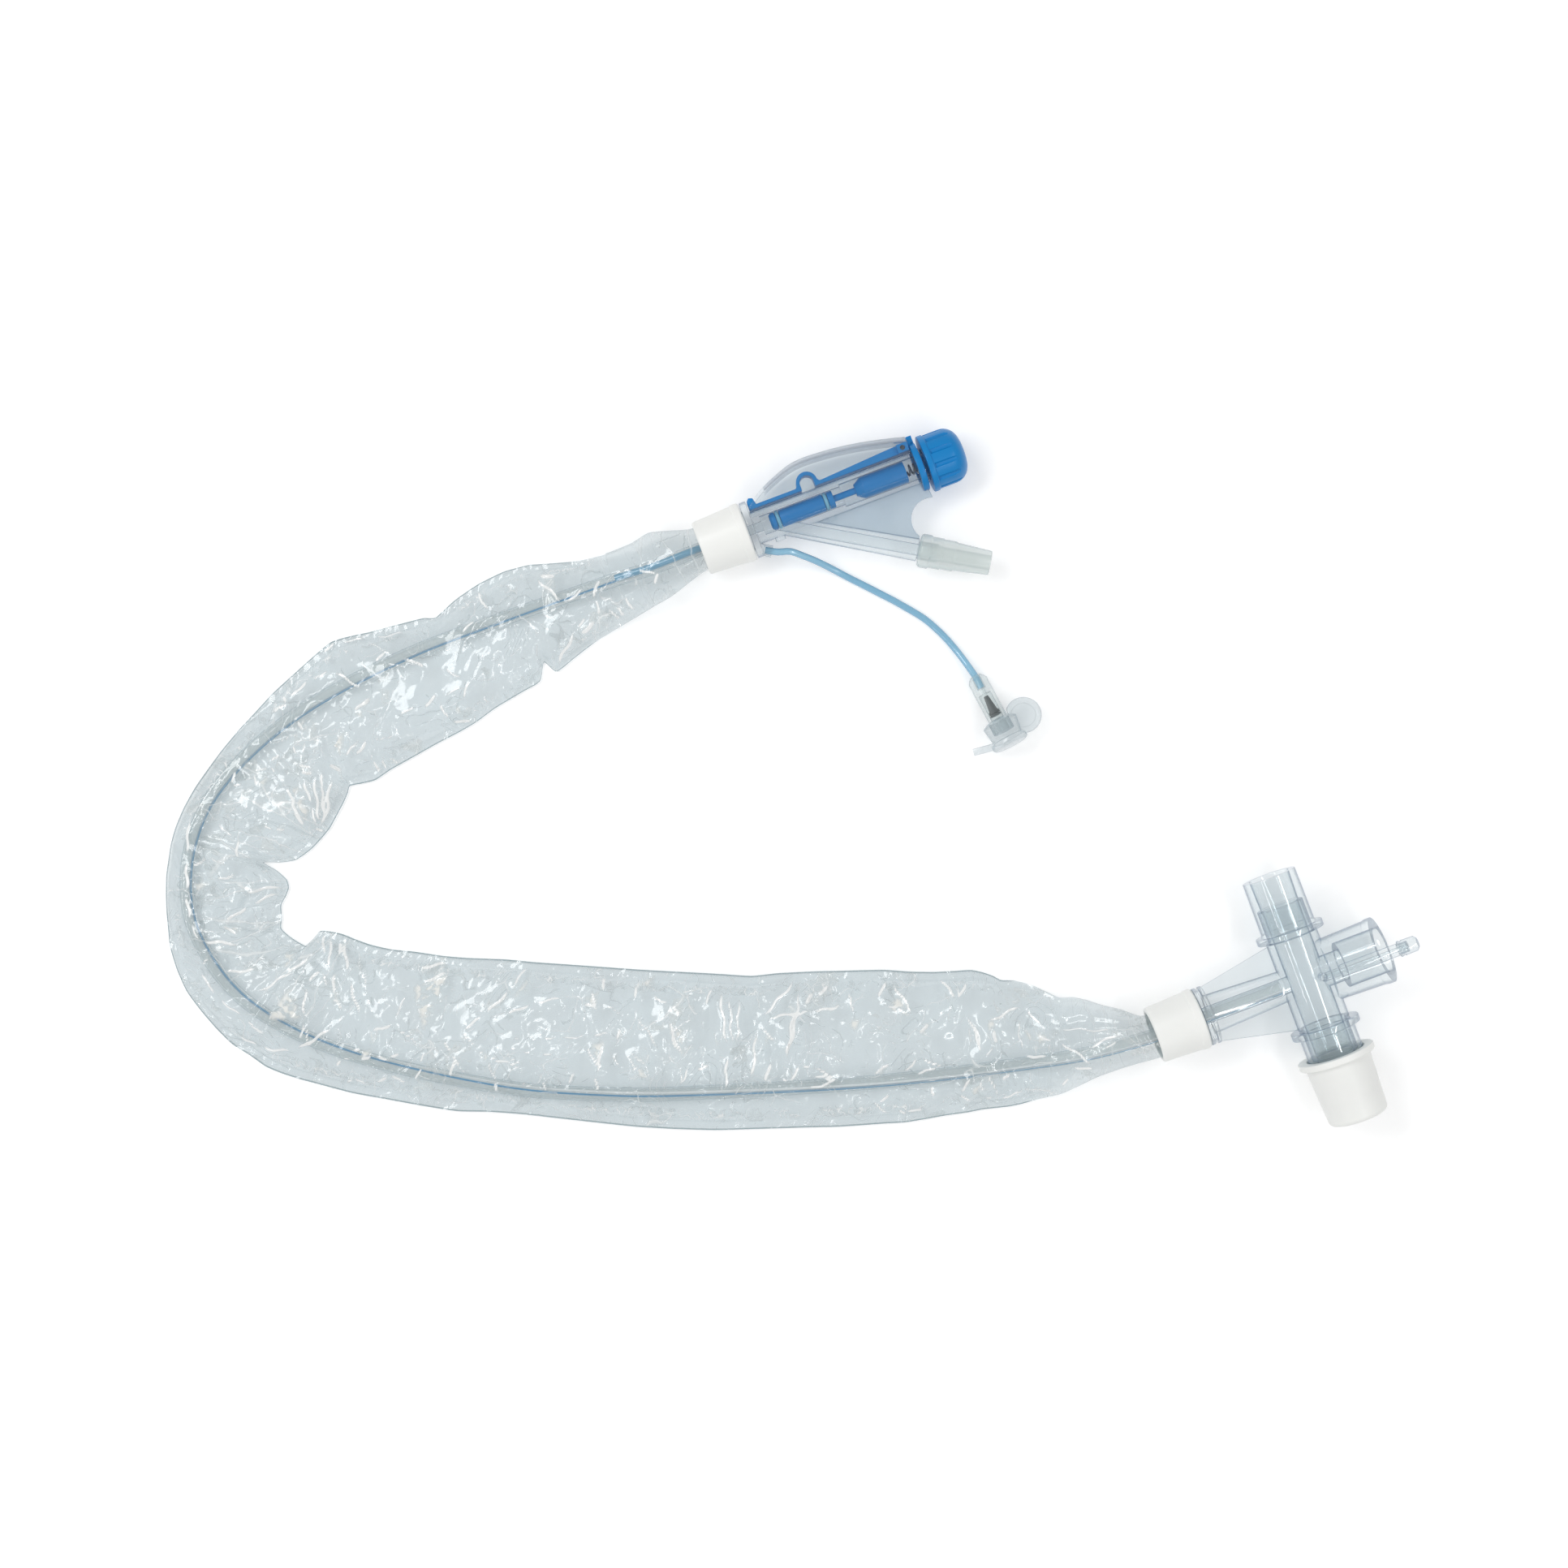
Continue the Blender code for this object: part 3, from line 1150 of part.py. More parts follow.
def check_valve(root):
    pitch = check_valve_pitch()
    flat_part = math.cos(pitch)
    heading = Vector((
        math.cos(CHECK_VALVE_HEADING) * flat_part, math.sin(CHECK_VALVE_HEADING) * flat_part, math.sin(pitch)
    ))
    end = empty_at("irrigation_end", root, (*CHECK_VALVE_AT, CHECK_VALVE_R + IRRIGATION_LIFT))
    end.rotation_mode = "QUATERNION"
    end.rotation_quaternion = heading.to_track_quat("Z", "Y")
    r = CHECK_VALVE_R
    bore = FLUSH_R + RUN_GAP
    housing = (
        (CHECK_VALVE_LENGTH, r - 0.1),
        (CHECK_VALVE_SHOULDER, r),
        (CHECK_VALVE_SHOULDER * 0.4, r - 0.7),
        (0, r - 1.6),
        (0, bore),
        (CHECK_VALVE_SOCKET, bore),
        (CHECK_VALVE_SOCKET, bore - 0.7),
        (CONE_AT - 0.8, bore - 0.7),
        (CONE_AT - 0.8, CHECK_VALVE_CHAMBER_R),
        (CHECK_VALVE_LENGTH, CHECK_VALVE_CHAMBER_R),
    )
    turned("check_valve_housing", housing, end, material=milky, facets=20)
    cone_end = CONE_AT + CONE_LENGTH
    insert = (
        (cone_end, 0),
        (cone_end, CHECK_VALVE_CHAMBER_R - RUN_GAP),
        (cone_end - 0.8, CHECK_VALVE_CHAMBER_R - RUN_GAP),
        (cone_end - 0.8, CONE_BASE_R),
        (CONE_AT, CONE_TIP_R),
        (CONE_AT, 0),
    )
    turned("check_valve_insert", insert, end, material=dark, facets=SMALL_ROUND)
    disc_start = cone_end + RUN_GAP
    disc = (
        (disc_start + DISC_THICKNESS, 0), (disc_start + DISC_THICKNESS, DISC_R), (disc_start, DISC_R),
        (disc_start, 0),
    )
    turned("check_disc", disc, end, material=dark, facets=SMALL_ROUND)
    cap_start = CHECK_VALVE_LENGTH - SOFT_CAP_SOCKET
    socket_r = CHECK_VALVE_R + RUN_GAP
    plug_r = CHECK_VALVE_CHAMBER_R - RUN_GAP
    cap_end = cap_start + SOFT_CAP_LENGTH
    floor = cap_end - SOFT_CAP_BOTTOM
    cap_profile = (
        (cap_end, 0),
        (cap_end, SOFT_CAP_RIM_R - 0.8),
        (cap_end - 0.7, SOFT_CAP_RIM_R),
        (cap_start + SOFT_CAP_WAIST_AT + 0.4, SOFT_CAP_RIM_R - 0.1),
        (cap_start + SOFT_CAP_WAIST_AT, SOFT_CAP_WAIST_R),
        (cap_start + 1.0, SOFT_CAP_SHOULDER_R),
        (cap_start, socket_r + 0.8),
        (cap_start, socket_r),
        (CHECK_VALVE_LENGTH + RUN_GAP, socket_r),
        (CHECK_VALVE_LENGTH + RUN_GAP, plug_r),
        (disc_start + DISC_THICKNESS + 1.2, plug_r),
        (disc_start + DISC_THICKNESS + 1.2, 0),
    )
    cap = turned("irrigation_cap", cap_profile, end, material=milky, facets=24)
    lx, lz = LOOP_CENTRE
    loop_at = (lx, 0, cap_start + lz)
    loop = ring_bead("tether_loop", LOOP_R, LOOP_BEAD_R, end, loop_at)
    web = rod("tether_web", LOOP_R, -LOOP_WEB / 2, LOOP_WEB / 2, end, "Y", loop_at, facets=24)
    tab = block(
        "pull_tab", (-PULL_TAB_LENGTH, -PULL_TAB_THICKNESS / 2, -PULL_TAB_WIDTH / 2),
        (0, PULL_TAB_THICKNESS / 2, PULL_TAB_WIDTH / 2), end, (-3.4, 0, floor - 0.2),
        rotation=(0, math.radians(-12), 0),
    )
    clear_bore = rod("tether_clear", socket_r + 0.3, cap_start - 12, CHECK_VALVE_LENGTH + 1.0, end, "Z", facets=24)
    cut(join(loop, [web]), [clear_bore])
    return join(cap, [loop, tab])


def ring_bead(name, ring_r, bead_r, parent, at):
    """A round bead bent to a ring in the parent's X and Z."""
    angles = [2 * math.pi * i / 8 for i in range(8)]
    profile = [(bead_r * math.sin(a), ring_r + bead_r * math.cos(a)) for a in reversed(angles)]
    return turned(name, profile, parent, "Y", at, facets=24)


def stand_on_origin(root, cord_nodes):
    """Moves the set so that its footprint is centred on the origin and its lowest point is at zero."""
    bpy.context.view_layer.update()
    graph = bpy.context.evaluated_depsgraph_get()
    low = Vector((1e9, 1e9, 1e9))
    high = -low
    for obj in NODES.objects:
        if obj.type == "EMPTY" or obj.name in cord_nodes:
            continue
        evaluated = obj.evaluated_get(graph)
        mesh = evaluated.to_mesh()
        for vertex in mesh.vertices:
            place_at = evaluated.matrix_world @ vertex.co
            low = Vector(map(min, low, place_at))
            high = Vector(map(max, high, place_at))
        evaluated.to_mesh_clear()
    root.location = (-(low.x + high.x) / 2, -(low.y + high.y) / 2, -low.z)
    bpy.context.view_layer.update()


clear_scene()
NODES = new_collection(NODE_COLLECTION, False)
CUTTERS = new_collection(CUTTER_COLLECTION, True)
clear = finish_material("clear_plastic", CLEAR, 0.12)
white = finish_material("white_plastic", WHITE, 0.45)
blue = finish_material("blue_plastic", BLUE, 0.35)
pale_blue = finish_material("pale_blue_tube", PALE_BLUE, 0.25)
milky = finish_material("milky_plastic", MILKY, 0.4)
film = finish_material("film", FILM, 0.2)
seal_blue = finish_material("seal_rubber", SEAL_BLUE, 0.5)
silicone = finish_material("silicone", SILICONE, 0.5)
dark = finish_material("dark_insert", DARK, 0.45)
steel = finish_material("spring_steel", STEEL, 0.3, 1.0)

root = empty_at("catheter_set", None)
valve = empty_at("valve_axis", root, (*VALVE_AT, VALVE_Z))
branch = empty_at("branch_axis", valve, (BRANCH_FROM, 0, 0))
branch.rotation_euler = (0, 0, BRANCH_ANGLE)
manifold = empty_at("manifold_axis", root, (0, 0, MANIFOLD_Z))

valve_ferrule(valve)
valve_body(valve, branch)
vacuum_connector(branch)
thumb_press(valve)
return_strip(valve)
valve_spool(valve)
return_spring(valve)
lock_cap(valve)
manifold_body(manifold)
swivel("upper_swivel", manifold, "Y", BODY_UP, UPPER_SWIVEL_R, UPPER_SWIVEL_END)
swivel("lower_swivel", manifold, "-Y", BODY_DOWN, LOWER_SWIVEL_R, LOWER_SWIVEL_END)
flush_port_cap(manifold)
protective_cap(manifold)
patient_ferrule(manifold)
wiper(manifold)
sleeve(root)
catheter_and_flush_lumen(root)
irrigation_tube(root)
check_valve(root)
CORD_NODES = ("irrigation_tube", "check_valve_housing", "check_valve_insert", "check_disc", "irrigation_cap")
stand_on_origin(root, CORD_NODES)
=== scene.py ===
"""Closed suction catheter set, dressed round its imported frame.

Lengths in this file are millimetres until a mesh is placed, with X and Y from the manifold's centre.
"""

import json
import math

import bmesh
import bpy
import numpy as np
from bpy.props import FloatProperty, FloatVectorProperty, IntProperty, PointerProperty
from bpy.types import Operator, Panel, PropertyGroup
from mathutils import Matrix, Vector, noise
from mathutils.kdtree import KDTree


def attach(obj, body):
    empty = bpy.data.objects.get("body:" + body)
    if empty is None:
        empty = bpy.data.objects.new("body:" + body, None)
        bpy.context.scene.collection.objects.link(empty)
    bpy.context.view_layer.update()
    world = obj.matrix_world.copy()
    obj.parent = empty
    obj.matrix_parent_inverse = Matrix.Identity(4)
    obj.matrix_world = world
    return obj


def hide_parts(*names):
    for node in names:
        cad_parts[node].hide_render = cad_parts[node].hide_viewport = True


bl_info = {
    "name": "Closed Suction Catheter",
    "version": (1, 0, 0),
    "blender": (4, 5, 0),
    "location": "View3D > Sidebar > Catheter",
    "description": "Dresses a closed suction catheter set with clear mouldings, film and tubes",
    "category": "Add Mesh",
}

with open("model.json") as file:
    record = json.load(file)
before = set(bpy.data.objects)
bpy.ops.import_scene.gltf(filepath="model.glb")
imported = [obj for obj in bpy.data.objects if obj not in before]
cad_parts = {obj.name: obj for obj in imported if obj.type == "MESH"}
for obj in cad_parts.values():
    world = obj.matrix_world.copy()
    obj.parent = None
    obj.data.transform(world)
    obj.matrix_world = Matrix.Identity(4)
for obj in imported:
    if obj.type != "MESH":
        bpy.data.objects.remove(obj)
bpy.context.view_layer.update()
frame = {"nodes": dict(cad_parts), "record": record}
JOINTS = {joint["name"]: joint for joint in frame["record"]["behaviour"]["joints"]}

MM = 0.001
ROUND = 72
SMALL_ROUND = 40
TINY_ROUND = 24
SHARP_ANGLE = math.radians(38)
EDGE_ROUNDING = 0.25

# Clearances and sizes shared with the engineering model
SEAT_GAP = 0.35
RUN_GAP = 0.3
CATHETER_R = 2.335
CATHETER_WALL = 0.68
FLUSH_R = 1.15
SLEEVE_NECK_R = 7.4
SLEEVE_INNER_R = 7.0
HUB_R = SLEEVE_INNER_R - SEAT_GAP
FERRULE_BORE_R = SLEEVE_NECK_R + SEAT_GAP
FERRULE_WALL_AT_MOUTH = 1.2
FERRULE_EDGE = 0.5
FERRULE_LENGTH = 16.3
VALVE_FERRULE_R = 9.9
PATIENT_FERRULE_R = 10.15
VALVE_AT = (-119.0, 200.0)
VALVE_Z = 9.9
VALVE_COLLAR_R = 9.5
VALVE_COLLAR_LENGTH = 2.3
VALVE_TUBE_R = 5.5
VALVE_LENGTH = 61.2
VALVE_NECK_R = 5.0
VALVE_NECK_LENGTH = 7.0
HUB_LENGTH = 14.4
FRONT_BORE_R = 3.2
FRONT_BORE_START = 5.2
REAR_BORE_R = 3.9
REAR_BORE_START = 33.0
LUMEN_R = 1.6
CATHETER_BELOW_AXIS = 1.4975
BORE_SPACING = 4.3375
BRANCH_FROM = 7.7
BRANCH_ANGLE = math.radians(-30.9)
BRANCH_LENGTH = 49.1
BRANCH_START_R = 3.1
BRANCH_END_R = 3.8
BRANCH_SPIGOT_R = 2.7
BRANCH_SPIGOT_LENGTH = 6.0
BRANCH_BORE_R = 1.9
WEB_THICKNESS = 2.0
CONNECTOR_LENGTH = 23.7
CONNECTOR_BORE_R = 2.4
CONNECTOR_COLLAR_R = 5.6
PRESS_PIVOT = (56.4, 7.2)
RING_THICKNESS = 2.0
RING_R = 8.15
RING_AT = VALVE_LENGTH - RING_THICKNESS - 0.6
LOCK_CAP_AT = VALVE_LENGTH + 0.7
LOCK_CAP_R = 9.5
LOCK_CAP_LENGTH = 13.2
SPOOL_START = 8.0
FRONT_LAND_END = 30.0
REAR_LAND_START = 37.5
SPOOL_END = 55.0
MANIFOLD_Z = 12.7
BODY_R = 8.65
BODY_UP = 14.4
BODY_DOWN = 15.6
NECK_R = 7.35
NECK_LENGTH = 10.5
THROUGH_BORE_R = 6.2
COLLAR_AT = 33.4
COLLAR_R = 9.75
COLLAR_END = 36.6
HUB_END = COLLAR_END + HUB_LENGTH
SOCKET_END = 26.2
FLUSH_PORT_HEIGHT = 12.3
FLUSH_PORT_END = 28.4
CATHETER_Z = 3.085
CHECK_VALVE_AT = (-65.6, 129.8)
CHECK_VALVE_HEADING = math.radians(-83.4)
CHECK_VALVE_R = 3.35
CHECK_VALVE_LENGTH = 20.4
CHECK_VALVE_SOCKET = 4.8
IRRIGATION_LIFT = 0.1

# Film sleeve as it lies: outer edge x, y and inner edge x, y
SLEEVE_EDGES = (
    (-149, 211, -149, 189), (-156, 210, -156, 188), (-165, 210, -166, 186.5), (-175, 211.5, -178, 184.5),
    (-184, 214, -187, 181.8), (-190, 215.8, -194, 179.7), (-194, 216.3, -196.8, 184.1), (-199, 216.7, -200.2, 178.7),
    (-208, 215.8, -207, 177.4), (-217, 213.6, -217, 175.6), (-225, 210.5, -224.5, 173.5), (-229, 211.7, -230.7, 172.4),
    (-237, 212.6, -239, 171.4), (-247, 213.6, -248, 170), (-254.5, 214.7, -256.5, 168.7), (-260, 215, -262.4, 167.3),
    (-266, 213.1, -267, 167.8), (-274, 210, -271, 168.4), (-284, 206, -272.5, 166.5), (-292, 202, -275, 163.9),
    (-299, 198.5, -278.5, 160.8), (-306, 194.5, -282, 157.8), (-312, 190.5, -285, 156), (-318.5, 186, -290, 153.5),
    (-324.5, 181, -296, 151.9), (-329.6, 175.7, -301, 152.8), (-333, 171, -306.5, 154.8), (-335.5, 166.5, -303.5, 151),
    (-338, 162, -301.4, 147), (-340.7, 155.3, -301.6, 144.2), (-342.3, 150.5, -303.4, 142),
    (-343.8, 145, -306, 139.6), (-345.2, 139.5, -307.3, 135.6), (-345.7, 131.8, -308.7, 132.3),
    (-345.2, 124, -306.4, 128), (-343.1, 116.5, -303, 124), (-340.4, 109.1, -300.6, 125.1),
    (-337.3, 102.5, -297, 127.1), (-333.1, 96.9, -293.6, 125.6), (-329.5, 91.6, -290.5, 123.6),
    (-325.4, 87.7, -287, 120.4), (-320.5, 83.8, -282.7, 116.8), (-316, 80.6, -277, 113.1), (-306, 73.5, -270.3, 109.8),
    (-296, 67.5, -262, 105.2), (-286, 61.5, -254.4, 101.6), (-275.5, 55.6, -243, 96.8), (-266, 51.8, -234.4, 92.6),
    (-256, 47.2, -223, 87.4), (-244.6, 41.4, -211.5, 82.1), (-233.2, 35.6, -203, 78.2), (-222, 30, -196, 75.1),
    (-210.3, 24.8, -184.3, 70), (-198.5, 20, -177.3, 66.9), (-190.5, 17.2, -169, 63.2), (-182.6, 14.5, -160.6, 61),
    (-168, 9.5, -148.8, 57.2), (-160.6, 6.9, -142, 54.8), (-152.8, 4.5, -135, 52.4), (-145, 2.2, -127.2, 49.6),
    (-138.9, 0.3, -120, 46.3), (-133.2, -0.9, -112.4, 43.3), (-125.1, -2.4, -106.2, 41.3), (-118, -4, -100.7, 39.6),
    (-113.1, -4.8, -97.2, 37.4), (-105.3, -6.8, -94.6, 35.2), (-100.5, -7.6, -92.6, 33), (-96.5, -7.9, -88.3, 31.2),
    (-92, -8.4, -83.5, 27.8), (-87, -8.8, -79.7, 24), (-82, -8.2, -76.9, 21.4), (-78, -7.4, -72.6, 20),
    (-74, -6.8, -69, 17.8), (-67, -6.6, -65, 14.8), (-61, -6.8, -60, 11.6),
)
# Sharp creases of the upper film: both ends and a width, as x, y, x, y, width
FILM_CREASES = (
    (-209.1, 214.6, -207.6, 205, 1), (-189.7, 211.6, -183.3, 198.7, 1), (-188.3, 211.4, -182.7, 208.3, 1.6),
    (-218.8, 202.5, -212.1, 204.1, 0.8), (-264.3, 212.7, -258.5, 214.5, 0.8), (-258.5, 214.5, -247.8, 211.5, 0.7),
    (-247.8, 211.5, -234.4, 208.9, 0.7), (-249.9, 211.3, -240.8, 202.9, 0.7), (-248.4, 203, -243.6, 205, 0.9),
    (-245.8, 203.2, -238.1, 196.2, 0.7), (-239, 202, -232.6, 194.5, 1), (-279.2, 201.7, -270.5, 205.8, 0.9),
    (-270.5, 205.8, -262.9, 205.4, 0.8), (-262.7, 206, -254.3, 195.6, 1), (-281.7, 204.7, -279.6, 200.8, 1),
    (-286.2, 199.4, -279.5, 201, 0.9), (-228.4, 193.3, -222.3, 187.7, 0.8), (-222.3, 187.7, -210.4, 182.4, 0.6),
    (-220.7, 186.6, -225.8, 181.3, 0.8), (-232.1, 185, -221.8, 185, 0.7), (-238.8, 183.4, -232.2, 186.1, 1),
    (-247.1, 183.2, -240.1, 185.5, 0.8), (-233.1, 183.6, -232.1, 176.8, 0.9), (-232.1, 176.8, -225.5, 173.7, 0.9),
    (-216.9, 192.7, -207.9, 189.2, 0.6), (-207.9, 189.2, -200.6, 190.9, 0.6), (-193.8, 180.9, -182.4, 190.2, 0.9),
    (-182.4, 190.2, -178.3, 192.8, 0.8), (-198.1, 184.8, -196.3, 191.3, 0.6), (-196.3, 191.3, -192.6, 195.9, 0.6),
    (-182.6, 188.2, -175.2, 190.1, 1.6), (-173.4, 197.6, -173.9, 190.9, 0.9), (-174.6, 197, -169, 202.6, 0.9),
    (-171, 193.1, -167.4, 187.6, 0.8), (-167.5, 192.8, -166.8, 187.9, 0.9), (-164.2, 194.7, -162.5, 188.4, 0.9),
    (-157.1, 201.2, -151, 195.8, 0.8), (-150.4, 197.2, -153.8, 193.8, 1), (-183.5, 199.3, -175, 201.6, 0.8),
    (-259, 180.4, -249.3, 177.3, 0.7), (-265.1, 176.3, -259, 180.4, 0.9), (-260.6, 189.8, -252.7, 193, 1.6),
    (-274, 177.3, -271, 173.1, 1.6), (-279, 194.1, -277.5, 190, 1.6), (-285.7, 157.1, -275.2, 172.7, 0.8),
    (-289.8, 161.2, -288.5, 171.5, 0.9), (-282.9, 159.1, -277.9, 173.7, 0.8), (-323.1, 177.2, -328.3, 164.9, 1.2),
    (-328.3, 164.9, -332.7, 153.8, 1.3), (-332.7, 153.8, -334.9, 144.8, 1.2), (-334.9, 144.8, -333.6, 137.6, 0.8),
    (-337.7, 128.8, -335.1, 119, 1), (-335.1, 119, -329.3, 109, 0.8), (-329.3, 109, -324.5, 100.8, 0.9),
    (-333.9, 138, -321.1, 132, 1.2), (-336.5, 129.9, -332.6, 132, 0.8), (-328.4, 161.1, -321.3, 163, 0.9),
    (-321.3, 163, -316, 157.1, 0.7), (-321.6, 154.8, -314.1, 153.6, 0.9), (-309.8, 165.1, -312.4, 157.7, 1.2),
    (-314.8, 172.9, -311.3, 164.4, 0.7), (-314.8, 172.9, -309.7, 180.1, 0.6), (-319.7, 151.4, -311.1, 146.9, 0.6),
    (-315.5, 147.8, -302.2, 145.2, 1), (-324.7, 140.2, -314.1, 143.3, 1.1), (-314.1, 143.3, -304.4, 143.6, 0.9),
    (-324.7, 140.2, -321.9, 135.1, 0.9), (-330.6, 128.9, -312.3, 133.1, 0.6), (-330.2, 125.6, -318.7, 122.4, 0.9),
    (-318.7, 122.4, -316.3, 118.3, 0.6), (-323.1, 115, -306.8, 118.3, 0.8), (-312, 117.1, -301, 120.9, 0.9),
    (-300.7, 166, -297.8, 163.2, 0.8), (-297.8, 163.2, -294.4, 161.7, 0.8), (-298.2, 183.3, -298.5, 178.3, 0.8),
    (-298.2, 183.3, -292, 183, 0.8), (-292, 183, -291, 180.2, 0.8), (-291.5, 184.4, -287, 185.8, 1),
    (-303.4, 186.4, -305.9, 181.8, 0.9), (-305.9, 181.8, -302.4, 180.5, 0.8), (-290.8, 190.4, -277, 189.2, 0.7),
    (-282.4, 187.3, -282.4, 183.3, 0.8), (-278.4, 187.4, -280.3, 182.5, 0.7), (-283.4, 180.5, -278.8, 178, 1),
    (-283.6, 177.8, -279.1, 176.1, 1.2), (-288.5, 175.3, -289.1, 167.6, 1), (-289.1, 167.6, -289.3, 160.5, 1.2),
    (-282.9, 175.6, -284.3, 166.6, 0.9), (-284.3, 166.6, -285.2, 159.8, 0.8), (-279, 176.5, -284.8, 158.8, 1),
    (-276.5, 175.6, -279, 170.1, 0.9), (-274, 173.8, -283.8, 158.5, 1.1), (-286.5, 159.5, -284.3, 157.1, 0.9),
    (-268.7, 177.4, -261.1, 180.9, 0.8), (-260.6, 173.6, -260.1, 168.6, 1), (-257.6, 173.2, -257.6, 168.9, 0.8),
    (-255.4, 172.8, -253.5, 169.3, 0.8), (-295.8, 126.5, -298, 118.6, 1), (-294, 125, -297.4, 113.6, 1),
    (-292, 121.9, -293.1, 116.8, 1.2), (-290.3, 122.1, -292.4, 110.2, 1.3), (-292.4, 110.2, -293.2, 95.4, 1.2),
    (-287.4, 119.4, -288.5, 101.5, 0.7), (-285.1, 116.9, -290.4, 94.3, 0.6), (-295.7, 113, -299.3, 105.6, 1.4),
    (-299.3, 105.6, -298, 99.6, 1.2), (-305.7, 112.8, -299.7, 114.9, 1), (-305.7, 112.8, -310.8, 101.2, 1.1),
    (-310.8, 101.2, -314.2, 95.4, 1), (-299.7, 114.9, -300.2, 108.3, 0.8), (-304.7, 106.9, -310.4, 100.3, 0.7),
    (-310.4, 100.3, -312.5, 91.5, 0.8), (-317.8, 93.1, -301.6, 96.2, 1), (-333.9, 105.1, -328.6, 98.4, 0.8),
    (-328.6, 98.4, -317.8, 93.1, 0.9), (-307, 83.9, -304.1, 85.2, 0.9), (-304.1, 85.2, -300.5, 84.3, 0.7),
    (-292, 90.2, -283.2, 90.4, 1.2), (-283.3, 90.1, -278.1, 78.6, 0.8), (-278.1, 78.6, -280.3, 74.7, 0.8),
    (-284.5, 69.9, -280.6, 74, 0.8), (-283.7, 91, -275.5, 98.2, 0.7), (-271.5, 104.7, -260.5, 102.1, 1),
    (-270.9, 99.7, -261.6, 99.4, 1.1), (-270.5, 79.7, -269.3, 74.5, 1), (-269.3, 74.5, -268.8, 69.6, 0.9),
    (-273.1, 66.4, -269.5, 73, 0.9), (-271, 84.7, -264, 90.8, 0.6), (-299.6, 86.7, -296.6, 86.3, 1.2),
    (-298.6, 83.1, -294.2, 82.3, 1.3), (-293.2, 82.7, -289.8, 79, 1.2), (-289.3, 80.4, -285.3, 80.5, 1),
    (-306.3, 77.3, -303.7, 77.9, 0.9), (-303.7, 77.9, -299.4, 74.7, 0.8), (-296.6, 73.7, -292.2, 74.8, 0.9),
    (-292.2, 74.8, -286.7, 70.4, 0.9), (-263.7, 80.4, -255.4, 82.3, 0.9), (-263.7, 80.4, -261.8, 73.4, 0.8),
    (-255.4, 82.3, -243.9, 87.4, 0.9), (-243.9, 87.4, -236.7, 92.4, 0.8), (-249, 79.9, -238.9, 80.6, 0.9),
    (-238.9, 80.6, -228.4, 78.4, 0.8), (-261.8, 73.4, -258.9, 69.2, 0.7), (-260.1, 71, -248.6, 60.8, 0.8),
    (-253.4, 70.7, -248.6, 60.8, 0.7), (-258.9, 69.2, -259.4, 59.5, 0.8), (-251.6, 73.2, -239.8, 68.5, 0.6),
    (-239.8, 68.5, -234.7, 67.7, 0.8), (-235, 66.9, -225.2, 64.2, 0.7), (-225.2, 64.2, -218.3, 62.2, 0.8),
    (-242.3, 64.3, -237.2, 61, 0.7), (-237.2, 61, -236, 53.4, 0.6), (-251.7, 70.5, -243.5, 63.4, 0.7),
    (-243.5, 63.4, -241.8, 53.7, 0.6), (-226.9, 62.1, -226.8, 52.6, 0.9), (-221.8, 60.2, -227.8, 51.2, 1.2),
    (-220.5, 57.5, -211.5, 62.2, 0.6), (-214.7, 63.4, -217.3, 58.9, 1), (-220, 56.4, -219.7, 50, 0.8),
    (-216.9, 55.2, -213.7, 46.8, 0.8), (-215.1, 55, -210.9, 48.4, 0.7), (-212.9, 53.7, -210.8, 42.5, 0.7),
    (-215.7, 51.1, -215.8, 44.9, 0.6), (-219.2, 77.7, -220.5, 71.9, 1), (-223.9, 74.9, -219.1, 70.9, 1.2),
    (-218.3, 72.9, -211.7, 65.4, 0.7), (-214.6, 80.5, -216, 75.6, 1.2), (-205.2, 74.2, -207.8, 69.8, 0.9),
    (-209, 66.6, -205, 50.7, 0.8), (-199.5, 61.7, -199.2, 45.8, 1.1), (-198.8, 60.1, -200.6, 48.2, 0.8),
    (-201.7, 69.3, -197.3, 64.1, 0.9), (-197.3, 64.1, -194.6, 59.4, 0.9), (-193.5, 67.1, -185.6, 64.1, 0.7),
    (-187.3, 59.4, -181.8, 64.5, 0.8), (-179.9, 64.7, -184.9, 43.2, 1), (-177.4, 62, -183.3, 42.6, 0.8),
    (-174.5, 60, -181.8, 42.9, 0.8), (-184.9, 43.2, -190.4, 30.8, 0.9), (-200.2, 44.4, -203.7, 37.6, 0.7),
    (-196.4, 41.2, -191.9, 41.3, 1), (-198.6, 43.8, -202.6, 38.1, 0.8), (-171.8, 49.1, -154.7, 57.5, 0.9),
    (-170.4, 49.4, -152.9, 45.6, 0.9), (-152.9, 45.6, -144, 44, 0.8), (-172.6, 47.1, -168.3, 40.5, 0.9),
    (-173.2, 47.8, -181.2, 30.1, 0.9), (-168.6, 32.5, -158.3, 50.3, 1.6), (-165.2, 36.7, -154.7, 55.2, 0.8),
    (-156.2, 48.6, -151.6, 51.4, 1.8), (-151.4, 49.5, -146, 52, 1), (-172.7, 35.9, -177.3, 28.6, 1.2),
    (-171.7, 29.2, -169.9, 26.7, 0.9), (-169.9, 26.7, -163.9, 30.8, 0.9), (-163.9, 30.8, -161, 28.8, 0.9),
    (-161, 28.8, -153.8, 21.6, 1), (-166, 22.6, -153.8, 21.6, 0.9), (-165.8, 27.9, -166, 22.6, 0.6),
    (-269.4, 71.3, -267.7, 66.2, 0.7), (-244.6, 55.7, -245.3, 51.5, 0.8), (-238.1, 51.4, -233.2, 55, 0.8),
